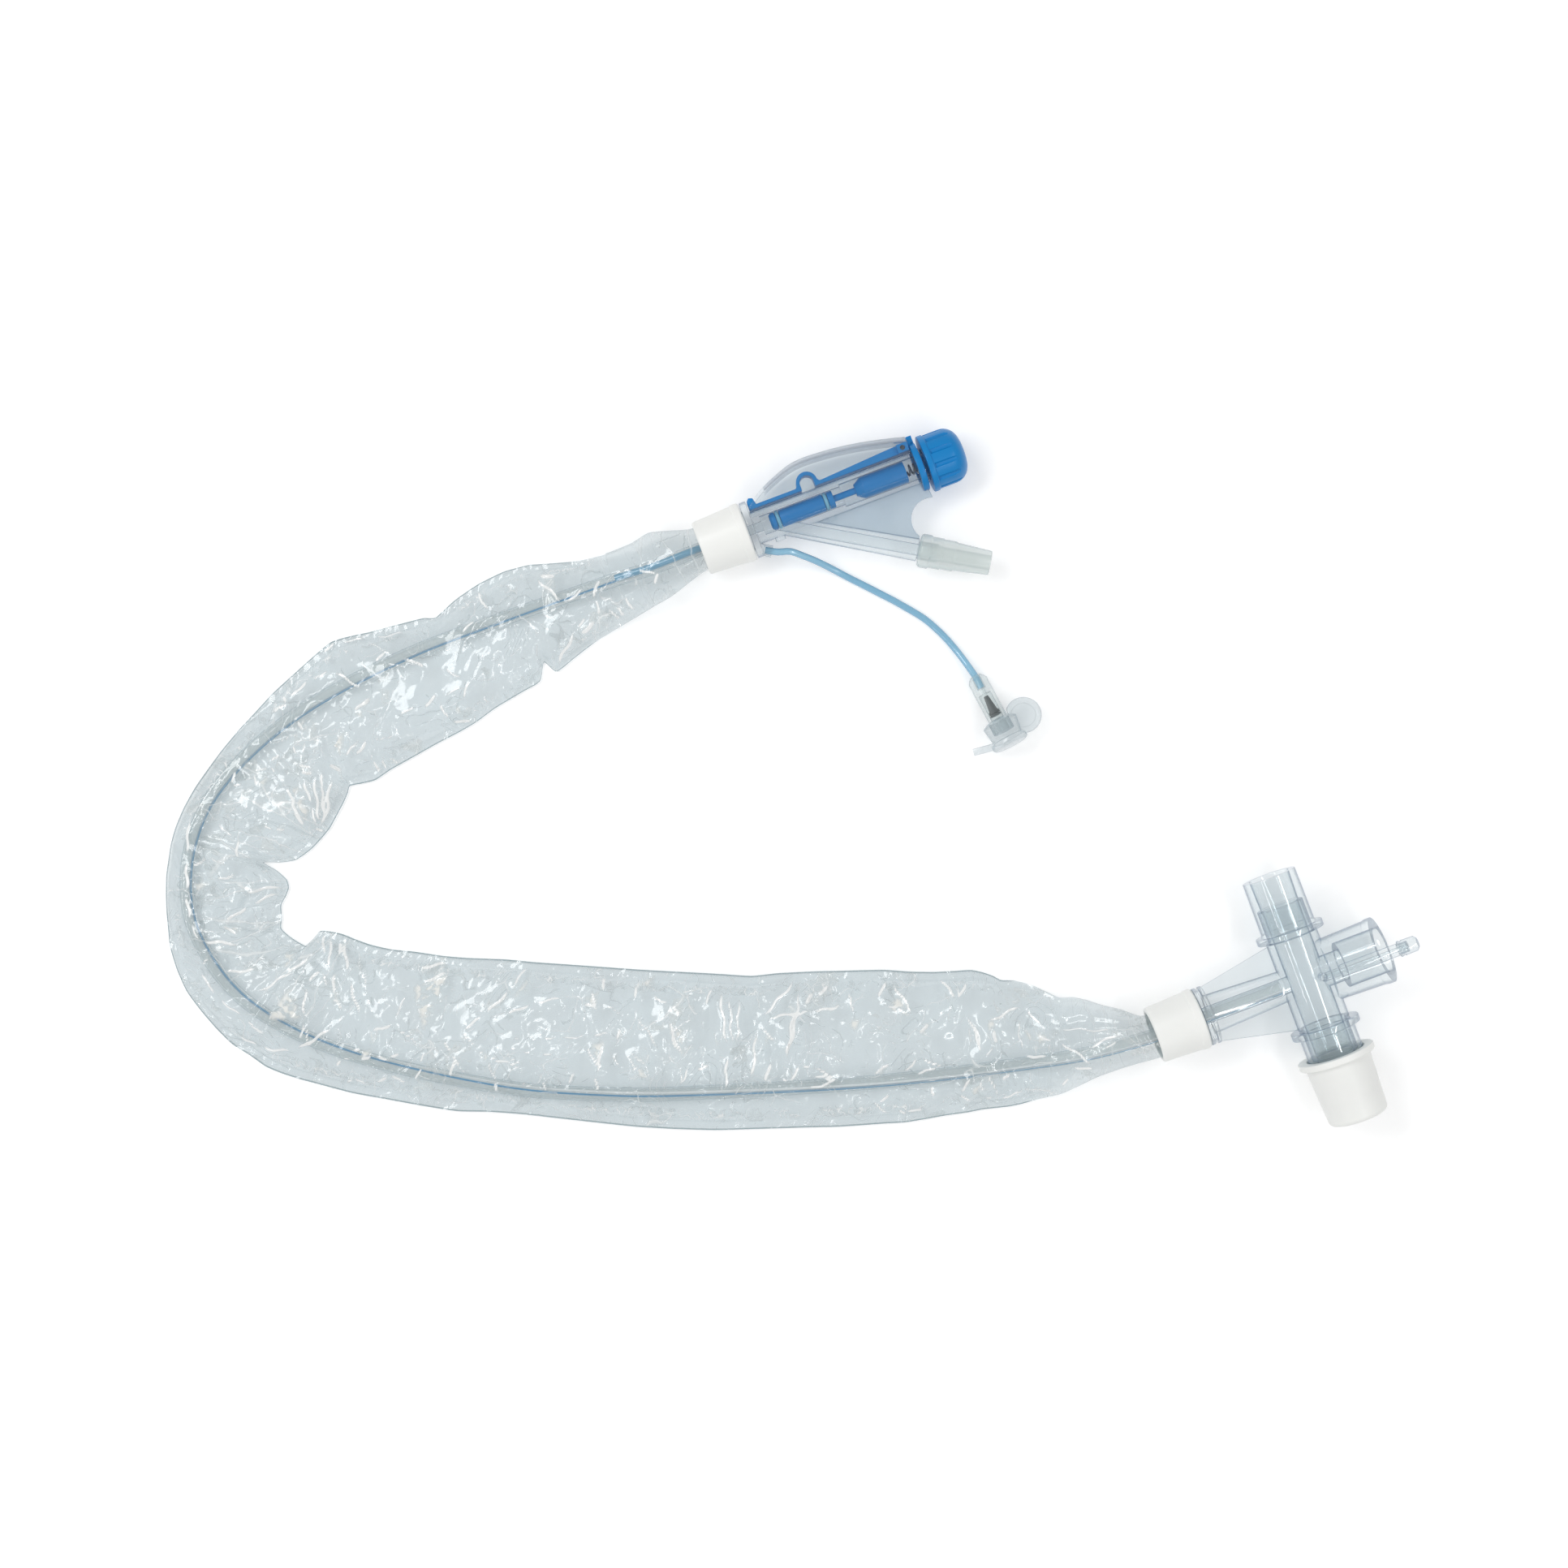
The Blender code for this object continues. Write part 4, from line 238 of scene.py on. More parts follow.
    (-252.7, 58.3, -246.6, 52.8, 0.7), (-229, 51.6, -228.7, 45.2, 0.9), (-259.8, 60.9, -260.3, 57.1, 1.2),
    (-257.7, 55.7, -255.5, 50.8, 0.7), (-154.7, 45.5, -144.9, 44, 0.9), (-126.8, 46.2, -123.5, 32, 0.9),
    (-128.3, 46.8, -132.8, 41.6, 1), (-132.8, 41.6, -123.5, 32, 0.7), (-140.1, 38.3, -127.8, 25, 0.6),
    (-141.6, 48.3, -141.4, 39.6, 0.8), (-111.7, 41.4, -108.6, 32.5, 1), (-108.6, 32.5, -103.4, 37, 1),
    (-107.7, 32.6, -107.3, 37.2, 0.7), (-124.8, 27.3, -119.5, 28.8, 1.6), (-107.2, 28.1, -107, 13.7, 0.9),
    (-105.9, 24.6, -107.6, 12.2, 0.8), (-107.6, 12.2, -102.3, 14.6, 0.7), (-102.8, 22.5, -88.7, 23.3, 0.9),
    (-100.7, 20, -102, 14.4, 1.6), (-91.8, 21.9, -95.1, 8.4, 0.7), (-95.1, 8.4, -87.1, 4.5, 1),
    (-88.6, 22.4, -85.9, 14.5, 0.8), (-88.4, 13.6, -84.2, 8.6, 0.8), (-83.3, 10, -74.3, -2.9, 0.9),
    (-81.9, -0.1, -74.7, -4, 0.9), (-84.4, 13.9, -62.4, 5.6, 0.7), (-76.1, 3.8, -62.4, 5.6, 0.8),
    (-62.4, 5.6, -53, -1.4, 0.8), (-70.8, 1.8, -64.8, 3.9, 0.7), (-143.7, 19.7, -135.4, 20.9, 1),
    (-133.8, 16, -127, 20.4, 0.8), (-127, 20.4, -120.4, 12.7, 0.8), (-130.8, 14.9, -121.6, 14, 0.9),
    (-126.6, 9.8, -126.8, 4.7, 1), (-118.7, 3.4, -112.9, 7.3, 0.9), (-118.7, 3.4, -116, -1.1, 0.9),
    (-110.9, 5.7, -111.8, 0.8, 0.8), (-107.5, 7.8, -107.4, -3.4, 0.8), (-104.4, 3.2, -100.5, 3.5, 1.2),
    (-107.2, -3.1, -98.8, -3.6, 0.8), (-98.8, -3.6, -87.9, -6.9, 0.7), (-86.7, -6, -83.3, -3.8, 1),
    (-146.8, 11.4, -142.4, 4.5, 0.8), (-144.8, 9.8, -139.9, 11.4, 1), (-139.6, 5.2, -137.1, 2.5, 0.9),
    (-137.3, 4.3, -131.4, 1.7, 1), (-161.9, 26.5, -155.1, 21.4, 0.9), (-132.7, 12.1, -120, 9.1, 0.6),
)
# Three-cornered flats of the upper film, where painted glare stands in for the light they catch
FILM_PATCHES = (
    (-188.7, 211.6, -181.3, 209.5, -187.2, 208.6), (-183.2, 187.9, -174.8, 190.4, -177.9, 187),
    (-260.8, 189.3, -252.1, 193.3, -258.1, 186.8), (-274.4, 177.5, -269.8, 174.8, -271.6, 172.8),
    (-279.4, 194.3, -274.6, 193.5, -279.1, 188.5), (-231.6, 180.9, -227.6, 180.5, -225.9, 174.2),
    (-288.4, 174.5, -282.7, 173.4, -290, 160.8), (-325, 105.7, -310.9, 102, -309.6, 115),
    (-329.8, 156.6, -321.5, 155.2, -331, 152), (-324.7, 140.2, -317.6, 142.2, -321.2, 134.8),
    (-310, 126.7, -305.2, 122.5, -311.7, 117.8), (-274, 100.1, -260.4, 99.3, -276.4, 83.1),
    (-296.3, 112.8, -297.1, 100, -299.8, 104.2), (-303.6, 175.4, -296, 168.2, -300.8, 176.4),
    (-288.6, 174.1, -284.8, 165.2, -289.5, 160.2), (-272, 183.4, -264.3, 186, -269.5, 177.3),
    (-292.3, 183.1, -285, 185.9, -290, 181), (-298.7, 180.3, -292.3, 181.1, -296.6, 176.6),
    (-302.8, 187, -297.7, 187.9, -303.2, 183.6), (-299.5, 87, -292.4, 84.8, -297, 81),
    (-293.2, 82.7, -285.4, 80.2, -290.9, 78.3), (-283.4, 180.5, -278.1, 177.7, -281.7, 175.5),
    (-260, 71.2, -248.4, 60.5, -254.4, 65.7), (-246.2, 83.8, -235.9, 90.7, -239.3, 84.3),
    (-208.3, 65.9, -205, 50.7, -209.1, 60.4), (-169.1, 31.8, -158, 50.6, -160.4, 50.6),
    (-156.8, 48.4, -151.2, 51.2, -154.6, 47.1), (-262, 76.6, -258.2, 69.8, -260.7, 64.4),
    (-214.9, 53.1, -210.4, 42.4, -216.7, 46.1), (-226.1, 61.8, -220.7, 60.7, -227.4, 51),
    (-224.2, 76.4, -216.9, 76.8, -220.3, 71.3), (-214.6, 80.5, -214, 74.8, -218, 77.3),
    (-172, 46.4, -168.3, 40.5, -172.5, 41.2), (-206, 74.5, -196.9, 74.7, -205, 70.1),
    (-175.6, 34.3, -171.9, 34.7, -176.1, 28.2), (-199.3, 61.2, -194.9, 56, -199.1, 46.2),
    (-132.5, 38, -125.8, 41.4, -123.8, 32), (-147.1, 41.1, -139.8, 38, -143.4, 34.2),
    (-125.8, 26.4, -119.3, 28.9, -122.4, 25.6), (-102.5, 23.3, -97.3, 22.3, -103.4, 17.4),
    (-104.8, 3.4, -100.2, 3.6, -104.2, 1.4), (-149.6, 52.2, -146.7, 52, -150.7, 48.3),
    (-115, 3.8, -109.4, 5.1, -115.5, -2.1), (-144.3, 19.2, -135.4, 21.1, -142, 17.3),
    (-92, 16.7, -84.5, 11.3, -91.4, 7),
)
CATHETER_ROUTE = (
    (-153, 200), (-167, 201), (-203, 202), (-237, 202), (-272, 198), (-298, 190), (-318, 178), (-331, 160),
    (-335, 139), (-327, 113), (-303, 87), (-262, 60), (-228, 44), (-194, 32), (-138, 15), (-86, 3),
)
IRRIGATION_ROUTE = (
    (-108.8, 189.3), (-104.6, 186.2), (-100.6, 182.8), (-96.6, 178.8), (-92.7, 174.5), (-88.9, 170.4),
    (-85.1, 166.2), (-81.2, 161.9), (-77.6, 157.5), (-74.9, 154.2), (-72.8, 150.6), (-70.7, 146.5),
    (-69.0, 142.1), (-67.8, 138.4), (-66.8, 134.6),
)
TUBE_UV = "along_and_round"
GLAND_AT = (1.3, -6.6)
GLAND_ANGLE = math.radians(-32.0)
GLAND_LENGTH = 4.6
IRRIGATION_DROP = 24.0
IRRIGATION_RISE = 16.0
PAST = 1.5  # How far a bore's cutter reaches past the moulding
HOLE_GAP = 0.275
PLATE_GAP = 0.12
PRESS_WALL = 1.2
STRIP_BLOCK_TOP = 8.6
SEAL_WIRE_R = 0.45
SPRING_R = 1.65
SPRING_WIRE_R = 0.31
FLUSH_SPIGOT_R = 1.5
FLUSH_SPIGOT_LENGTH = 3.0
FLUSH_IN_SLEEVE = 29.0
ROUTE_POINTS = 1200
FILM_FLANGE = 0.9
FILM_LOWEST = 0.06
CAMERA_AIM = (-136.84, 118.69, 0)
CAMERA_TURN = math.radians(-20.6)
SENSOR = 36.0
FLOOR_DROP = 0.0002

swivel_at = Vector(JOINTS["upper_swivel_turn"]["pos_m"])
PLACE = Matrix.Translation(swivel_at - Vector((0, BODY_UP, MANIFOLD_Z)) * MM) @ Matrix.Scale(MM, 4)
MANIFOLD = PLACE @ Matrix.Translation((0, 0, MANIFOLD_Z))
VALVE = PLACE @ Matrix.Translation((*VALVE_AT, VALVE_Z))
BRANCH = VALVE @ Matrix.Translation((BRANCH_FROM, 0, 0)) @ Matrix.Rotation(BRANCH_ANGLE, 4, "Z")
GLAND = VALVE @ Matrix.Translation((*GLAND_AT, 0)) @ Matrix.Rotation(GLAND_ANGLE, 4, "Z")
TURN = {
    "Z": Matrix.Identity(4),
    "X": Matrix.Rotation(math.radians(90), 4, "Y"),
    "-X": Matrix.Rotation(math.radians(-90), 4, "Y"),
    "Y": Matrix.Rotation(math.radians(-90), 4, "X"),
    "-Y": Matrix.Rotation(math.radians(90), 4, "X"),
}


def colour_property(name, description, default):
    return FloatVectorProperty(name=name, description=description, subtype="COLOR", default=default, min=0, max=1)


class PlasticSettings(PropertyGroup):
    """Colours of the mouldings."""

    clear: colour_property("Clear plastic", "Tint of the clear mouldings", (0.66, 0.76, 0.80))
    frosted: colour_property(
        "Frosted plastic", "Tint of the frosted plate between valve and branch", (0.50, 0.60, 0.67)
    )
    milky: colour_property("Milky plastic", "Tint of the soft translucent fittings", (0.75, 0.82, 0.80))
    blue: colour_property("Blue plastic", "Colour of the lock cap, spool and strip", (0.0, 0.215, 0.56))
    white: colour_property("White plastic", "Colour of the ferrules and the end cap", (0.90, 0.91, 0.885))
    tube_blue: colour_property("Pale blue tube", "Colour of the irrigation line", (0.26, 0.58, 0.78))


class FilmSettings(PropertyGroup):
    """The film sleeve's shape and folds."""

    puff: FloatProperty(
        name="Height", description="How far the film stands up between its welded edges, in mm", default=7.2,
        min=3, max=9,
    )
    fold: FloatProperty(name="Folds", description="Depth of the large folds, in mm", default=2.1, min=0, max=4)
    crumple: FloatProperty(name="Crumples", description="Depth of the small creases, in mm", default=1.1, min=0, max=2)
    weld: FloatProperty(
        name="Welded edge", description="Width of the welded edge as a share of half the sleeve", default=0.11,
        min=0.02, max=0.3,
    )
    tint: colour_property("Film tint", "Tint of the film", (0.27, 0.38, 0.42))
    stations: IntProperty(name="Stations", description="Sections along the sleeve", default=900, min=60, max=900)
    around: IntProperty(name="Points round", description="Points round a section", default=104, min=24, max=160)


class StageSettings(PropertyGroup):
    """Camera, floor and light."""

    height: FloatProperty(
        name="Camera height", description="Height of the camera over the set", default=0.81, subtype="DISTANCE"
    )
    wide: FloatProperty(
        name="Width in view", description="Width that the picture takes in at the set's height", default=0.5111,
        subtype="DISTANCE",
    )
    key: FloatProperty(name="Key light", description="Power of the large lamp, in watts", default=2.4, min=0)
    fill: FloatProperty(name="Fill light", description="Strength of the surroundings", default=0.54, min=0)


class CatheterSettings(PropertyGroup):
    """All that a user would change."""

    plastic: PointerProperty(type=PlasticSettings)
    film: PointerProperty(type=FilmSettings)
    stage: PointerProperty(type=StageSettings)


def settings():
    return bpy.context.scene.suction_catheter


def ease(t):
    """0 below 0 and 1 above 1, with a smooth rise between."""
    t = min(max(t, 0.0), 1.0)
    return t * t * (3 - 2 * t)


def mix(a, b, t):
    return a + (b - a) * t


def through(points, per_span, roundness=1.0):
    """Points on a smooth curve through the given ones, which turns sharper at each where roundness is lower."""
    ends = [2 * points[0] - points[1]] + list(points) + [2 * points[-1] - points[-2]]
    found = []
    for a, b, c, d in zip(ends, ends[1:], ends[2:], ends[3:]):
        leaving, arriving = (c - a) * 0.5 * roundness, (d - b) * 0.5 * roundness
        for step in range(per_span):
            t = step / per_span
            found.append(
                (2 * t ** 3 - 3 * t * t + 1) * b + (t ** 3 - 2 * t * t + t) * leaving
                + (3 * t * t - 2 * t ** 3) * c + (t ** 3 - t * t) * arriving
            )
    found.append(points[-1].copy())
    return found


def reaches(points):
    """The length along the line at each of its points."""
    found = [0.0]
    for a, b in zip(points, points[1:]):
        found.append(found[-1] + (b - a).length)
    return found


def spread(reach, count):
    """Evenly spaced lengths along a line, each with the point before it and the share of the way to the next."""
    i = 0
    for step in range(count):
        along = reach[-1] * step / (count - 1)
        while i < len(reach) - 2 and reach[i + 1] < along:
            i += 1
        yield along, i, min((along - reach[i]) / max(reach[i + 1] - reach[i], 1e-9), 1.0)


def evenly(points, count):
    """The same line with evenly spaced points, and its length."""
    reach = reaches(points)
    return [points[i].lerp(points[i + 1], share) for _, i, share in spread(reach, count)], reach[-1]


# Materials


class Nodes:
    """A node tree with short calls to add and join nodes."""

    def __init__(self, tree):
        self.tree = tree
        self.flat = "3D"

    def put(self, socket, value):
        """Sets a socket to a value, or joins it to another socket or a node's first output."""
        if isinstance(value, bpy.types.Node):
            value = value.outputs[0]
        if isinstance(value, bpy.types.NodeSocket):
            self.tree.links.new(value, socket)
        elif isinstance(value, (tuple, list)) and len(value) == 3 and socket.type == "RGBA":
            socket.default_value = (*value, 1.0)
        else:
            socket.default_value = value

    def add(self, kind, inputs=None, **values):
        """A new node with these values, its inputs given by name or number."""
        node = self.tree.nodes.new(kind)
        for name, value in values.items():
            setattr(node, name, value)
        for socket, value in (inputs or {}).items():
            self.put(node.inputs[socket], value)
        return node

    def maths(self, operation, a, b=0.0, clamp=False):
        return self.add("ShaderNodeMath", {0: a, 1: b}, operation=operation, use_clamp=clamp).outputs[0]

    def times(self, a, b):
        return self.maths("MULTIPLY", a, b)

    def off(self, value, middle):
        """How far a value lies from the middle one."""
        return self.maths("ABSOLUTE", self.maths("SUBTRACT", value, middle))

    def highest(self, value, *others):
        """The highest of a value and of the other sockets, each times its strength."""
        for socket, strength in others:
            value = self.maths("MAXIMUM", value, self.times(socket, strength))
        return value

    def ramp(self, value, low, high, to_low=0.0, to_high=1.0, soft=True):
        numbers = dict(enumerate((value, low, high, to_low, to_high)))
        kind = "SMOOTHSTEP" if soft else "LINEAR"
        return self.add("ShaderNodeMapRange", numbers, interpolation_type=kind).outputs[0]

    def fade(self, value, high, low=0.0):
        """1 up to low, and 0 from high."""
        return self.ramp(value, low, high, 1.0, 0.0)

    def blend(self, share, a, b):
        return self.add("ShaderNodeMix", {0: share, 6: a, 7: b}, data_type="RGBA").outputs[2]

    def noise(self, place, scale, detail=3.0, rough=0.5):
        given = {"Vector": place, "Scale": scale, "Detail": detail, "Roughness": rough}
        return self.add("ShaderNodeTexNoise", given, noise_dimensions=self.flat).outputs

    def cells(self, place, scale, feature="DISTANCE_TO_EDGE"):
        given = {"Vector": place, "Scale": scale}
        return self.add("ShaderNodeTexVoronoi", given, feature=feature, voronoi_dimensions=self.flat).outputs

    def facing(self, blend):
        return self.add("ShaderNodeLayerWeight", {"Blend": blend}).outputs["Facing"]

    def attribute(self, name):
        return self.add("ShaderNodeAttribute", attribute_name=name).outputs["Fac"]

    def tube_place(self):
        return self.add("ShaderNodeUVMap", uv_map=TUBE_UV).outputs["UV"]

    def bump(self, height, strength, distance):
        given = {"Height": height, "Strength": strength, "Distance": distance}
        return self.add("ShaderNodeBump", given).outputs["Normal"]

    def see_through(self, closed, tint, shader):
        """The shader where it is closed, and elsewhere what is behind it, tinted."""
        open_side = self.add("ShaderNodeBsdfTransparent", {"Color": tint})
        return self.add("ShaderNodeMixShader", {0: closed, 1: open_side, 2: shader})


def moulded_group():
    """Slight clouding of colour, sheen and surface that any moulding has."""
    tree = bpy.data.node_groups.new("Moulded surface", "ShaderNodeTree")
    for label, kind, value in (
        ("Colour", "NodeSocketColor", (0.8, 0.8, 0.8, 1)), ("Roughness", "NodeSocketFloat", 0.3),
        ("Clouding", "NodeSocketFloat", 0.06), ("Grain per metre", "NodeSocketFloat", 900.0),
    ):
        tree.interface.new_socket(name=label, in_out="INPUT", socket_type=kind).default_value = value
    for label, kind in (
        ("Colour", "NodeSocketColor"), ("Roughness", "NodeSocketFloat"), ("Height", "NodeSocketFloat"),
    ):
        tree.interface.new_socket(name=label, in_out="OUTPUT", socket_type=kind)
    nodes = Nodes(tree)
    given = nodes.add("NodeGroupInput").outputs
    place = nodes.add("ShaderNodeTexCoord").outputs["Object"]
    cloud = nodes.noise(place, 120.0, 4.0, 0.6)["Fac"]
    swing = nodes.times(nodes.maths("SUBTRACT", cloud, 0.5), given["Clouding"])
    lighter = nodes.maths("ADD", 1.0, nodes.times(swing, 2.0))
    nodes.add("NodeGroupOutput", {
        "Colour": nodes.add("ShaderNodeVectorMath", {0: given["Colour"], "Scale": lighter}, operation="SCALE"),
        "Roughness": nodes.maths("ADD", given["Roughness"], swing, clamp=True),
        "Height": nodes.noise(place, given["Grain per metre"], 2.0)["Fac"],
    })
    return tree


def moulded(nodes, colour, roughness, clouding=0.05, grain=900.0, relief=None, **more):
    """A plastic shader with the moulded surface group, and relief as its bump's strength and distance."""
    tree = bpy.data.node_groups.get("Moulded surface") or moulded_group()
    given = {"Colour": colour, "Roughness": roughness, "Clouding": clouding, "Grain per metre": grain}
    surface = nodes.add("ShaderNodeGroup", node_tree=tree)
    for label, value in given.items():
        nodes.put(surface.inputs[label], value)
    inputs = {"Base Color": surface.outputs["Colour"], "Roughness": surface.outputs["Roughness"]}
    if relief:
        inputs["Normal"] = nodes.bump(surface.outputs["Height"], *relief)
    inputs.update((label.replace("_", " "), value) for label, value in more.items())
    return nodes.add("ShaderNodeBsdfPrincipled", inputs)


def new_material(name):
    """An empty material and its nodes."""
    material = bpy.data.materials.new(name)
    material.use_nodes = True
    material.node_tree.nodes.clear()
    return material, Nodes(material.node_tree)


def finished(material, nodes, shader):
    nodes.add("ShaderNodeOutputMaterial", {"Surface": shader})
    return material


def sheen(nodes, inside, roughness, normal=None, most=0.5, least=0.045):
    """The shader with a mirror layer over its outer face, which strengthens towards the edges."""
    gloss = nodes.add("ShaderNodeBsdfAnisotropic", {"Roughness": roughness, "Color": (1, 1, 1)})
    if normal:
        nodes.put(gloss.inputs["Normal"], normal)
    steep = nodes.maths("POWER", nodes.facing(0.5), 4.0)
    front = nodes.maths("SUBTRACT", 1.0, nodes.add("ShaderNodeNewGeometry").outputs["Backfacing"])
    share = nodes.times(nodes.ramp(steep, 0.0, 1.0, least, most, soft=False), front)
    return nodes.add("ShaderNodeMixShader", {0: share, 1: inside, 2: gloss})


def solid_plastic(name, colour, roughness, coat=0.0, clouding=0.05, inner_glow=0.0):
    """Opaque moulded plastic."""
    material, nodes = new_material(name)
    more = {"Specular IOR Level": 0.35, "Coat Weight": coat, "Coat Roughness": 0.12}
    if inner_glow:
        more.update({
            "Subsurface Weight": inner_glow, "Subsurface Scale": 0.002, "Subsurface Radius": (1.0, 1.0, 0.95),
        })
    return finished(material, nodes, moulded(nodes, colour, roughness, clouding, relief=(0.25, 0.00003), **more))


def clear_plastic(name, tint, body, band, rim, shares, roughness=0.08, least=0.09):
    """Clear moulding: what is behind shows through a tint, and the surface closes towards its edges.

    tint colours what is seen through one wall. body, band and rim are the wall's own colours seen straight on, at a
    slant and along the wall, and shares says how closed it looks at those three angles.
    """
    material, nodes = new_material(name)
    facing = nodes.facing(0.35)
    slanting = nodes.ramp(facing, 0.12, 0.5)
    along_wall = nodes.ramp(facing, 0.36, 0.66)
    own = nodes.blend(along_wall, nodes.blend(slanting, body, band), rim)
    closed = nodes.ramp(slanting, 0.0, 1.0, shares[0], shares[1], soft=False)
    closed = nodes.maths("ADD", closed, nodes.times(along_wall, shares[2] - shares[1]), clamp=True)
    inside = nodes.see_through(closed, tint, moulded(nodes, own, roughness))
    return finished(material, nodes, sheen(nodes, inside, roughness, least=least))


def film_material():
    """Thin film: even grey, painted cream glare on some facets, painted white highlights along its creases and along
    rows of fine crumples.
    """
    material, nodes = new_material("crumpled_film")
    nodes.flat = "2D"
    tint = tuple(settings().film.tint)
    place = nodes.tube_place()
    wander = nodes.noise(place, 7.0, 3.0, 0.55)["Color"]
    warped = nodes.add("ShaderNodeMix", {0: 0.05, 4: place, 5: wander}, data_type="VECTOR").outputs[1]
    patchy = nodes.noise(place, 8.0, 3.0, 0.6)["Fac"]
    busy = nodes.ramp(patchy, 0.54, 0.62)
    from_edge = nodes.attribute("weld")
    creased = nodes.ramp(nodes.attribute("crease"), 0.34, 0.80)

    # Painted white highlights along creases, crumples and the fans at the bend
    small = nodes.cells(warped, 10.0)["Distance"]
    small_line = nodes.times(nodes.fade(small, 0.034), busy)
    off_line = nodes.off(nodes.noise(warped, 4.0, 1.5)["Fac"], 0.5)
    long_line = nodes.times(nodes.fade(off_line, 0.008), nodes.ramp(patchy, 0.46, 0.54))
    ripples = nodes.maths("PINGPONG", nodes.times(nodes.noise(place, 5.0, 1.0, 0.4)["Fac"], 30.0), 1.0)
    here = nodes.add("ShaderNodeSeparateColor", {0: nodes.noise(place, 6.5, 2.0)["Color"]}).outputs
    ripple_line = nodes.times(nodes.fade(ripples, 0.26), nodes.ramp(here["Red"], 0.60, 0.66))
    worms = nodes.fade(nodes.off(nodes.noise(warped, 34.0, 1.0)["Fac"], 0.5), 0.055)
    row = nodes.times(nodes.fade(nodes.off(from_edge, 0.80), 0.10, 0.02), nodes.ramp(here["Green"], 0.46, 0.54))
    stretched = nodes.add("ShaderNodeMapping", {"Scale": (11.0, 1.7, 1.0), "Vector": warped})
    fan_line = nodes.times(nodes.fade(nodes.cells(stretched, 1.0)["Distance"], 0.045), nodes.attribute("fan"))
    painted_highlights = nodes.highest(
        nodes.times(small_line, 0.7), (long_line, 0.75), (ripple_line, 0.6), (nodes.times(worms, row), 0.9),
        (fan_line, 0.75), (creased, 1.0),
    )

    # Painted glare on flats, and the dark welded rim
    facet = nodes.add("ShaderNodeSeparateColor", {0: nodes.cells(warped, 9.0, "F1")["Color"]}).outputs
    glare = nodes.times(nodes.ramp(facet["Red"], 0.80, 0.9), nodes.ramp(patchy, 0.5, 0.58))
    streaked = nodes.ramp(nodes.noise(warped, 22.0, 2.0, 0.7)["Fac"], 0.40, 0.60, 0.2, 1.0)
    glare = nodes.times(nodes.highest(nodes.attribute("glare"), (glare, 0.5)), streaked)
    rim = nodes.ramp(from_edge, 0.972, 0.992)

    shade = nodes.ramp(nodes.noise(place, 5.0, 2.0)["Fac"], 0.35, 0.65)
    colour = nodes.blend(shade, tuple(0.72 * c for c in tint), tint)
    colour = nodes.blend(nodes.times(facet["Green"], 0.35), colour, tuple(1.35 * c for c in tint))
    # Painted glare and painted highlights over the grey, then the dark welded rim
    for share, over in ((glare, (0.90, 0.89, 0.84)), (painted_highlights, (0.97, 0.98, 0.97)), (rim, (0.28, 0.38, 0.41))):
        colour = nodes.blend(share, colour, over)
    steep = nodes.ramp(nodes.facing(0.3), 0.15, 0.9)
    closed = nodes.ramp(steep, 0.0, 1.0, 0.12, 0.38, soft=False)
    closed = nodes.highest(closed, (painted_highlights, 0.85), (glare, 0.75), (rim, 0.6))
    relief = nodes.maths("ADD", nodes.times(nodes.ramp(small, 0.0, 0.35), busy), nodes.ramp(off_line, 0.0, 0.07))
    normal = nodes.bump(relief, 0.45, 0.0009)
    roughness = nodes.ramp(patchy, 0.3, 0.7, 0.12, 0.25)
    given = {"Base Color": colour, "Roughness": roughness, "Normal": normal}
    shader = nodes.add("ShaderNodeBsdfPrincipled", given)
    inside = nodes.see_through(closed, (0.935, 0.952, 0.958), shader)
    return finished(material, nodes, sheen(nodes, inside, 0.11, normal, 0.35))


def catheter_material():
    """Clear soft tube with one thin blue line and a glint along it."""
    material, nodes = new_material("catheter_tube")
    round_it = nodes.add("ShaderNodeSeparateXYZ", {0: nodes.tube_place()}).outputs["Y"]
    stripe = nodes.fade(nodes.off(round_it, 0.5), 0.030, 0.014)
    glint = nodes.fade(nodes.off(round_it, 0.58), 0.032, 0.012)
    steep = nodes.ramp(nodes.facing(0.35), 0.3, 0.95)
    own = nodes.blend(steep, (0.90, 0.92, 0.90), (0.42, 0.60, 0.76))
    own = nodes.blend(glint, own, (0.96, 0.97, 0.97))
    shader = moulded(nodes, nodes.blend(stripe, own, (0.10, 0.32, 0.56)), 0.16, 0.1)
    closed = nodes.maths("ADD", nodes.ramp(steep, 0.0, 1.0, 0.26, 0.42), nodes.times(stripe, 0.45))
    closed = nodes.maths("ADD", closed, nodes.times(glint, 0.45), clamp=True)
    return finished(material, nodes, nodes.see_through(closed, (0.95, 0.965, 0.97), shader))


def spring_material():
    material, nodes = new_material("spring_wire")
    return finished(material, nodes, moulded(
        nodes, (0.24, 0.26, 0.30), 0.28, 0.15, 2500.0, (0.2, 0.00002), Metallic=1.0
    ))


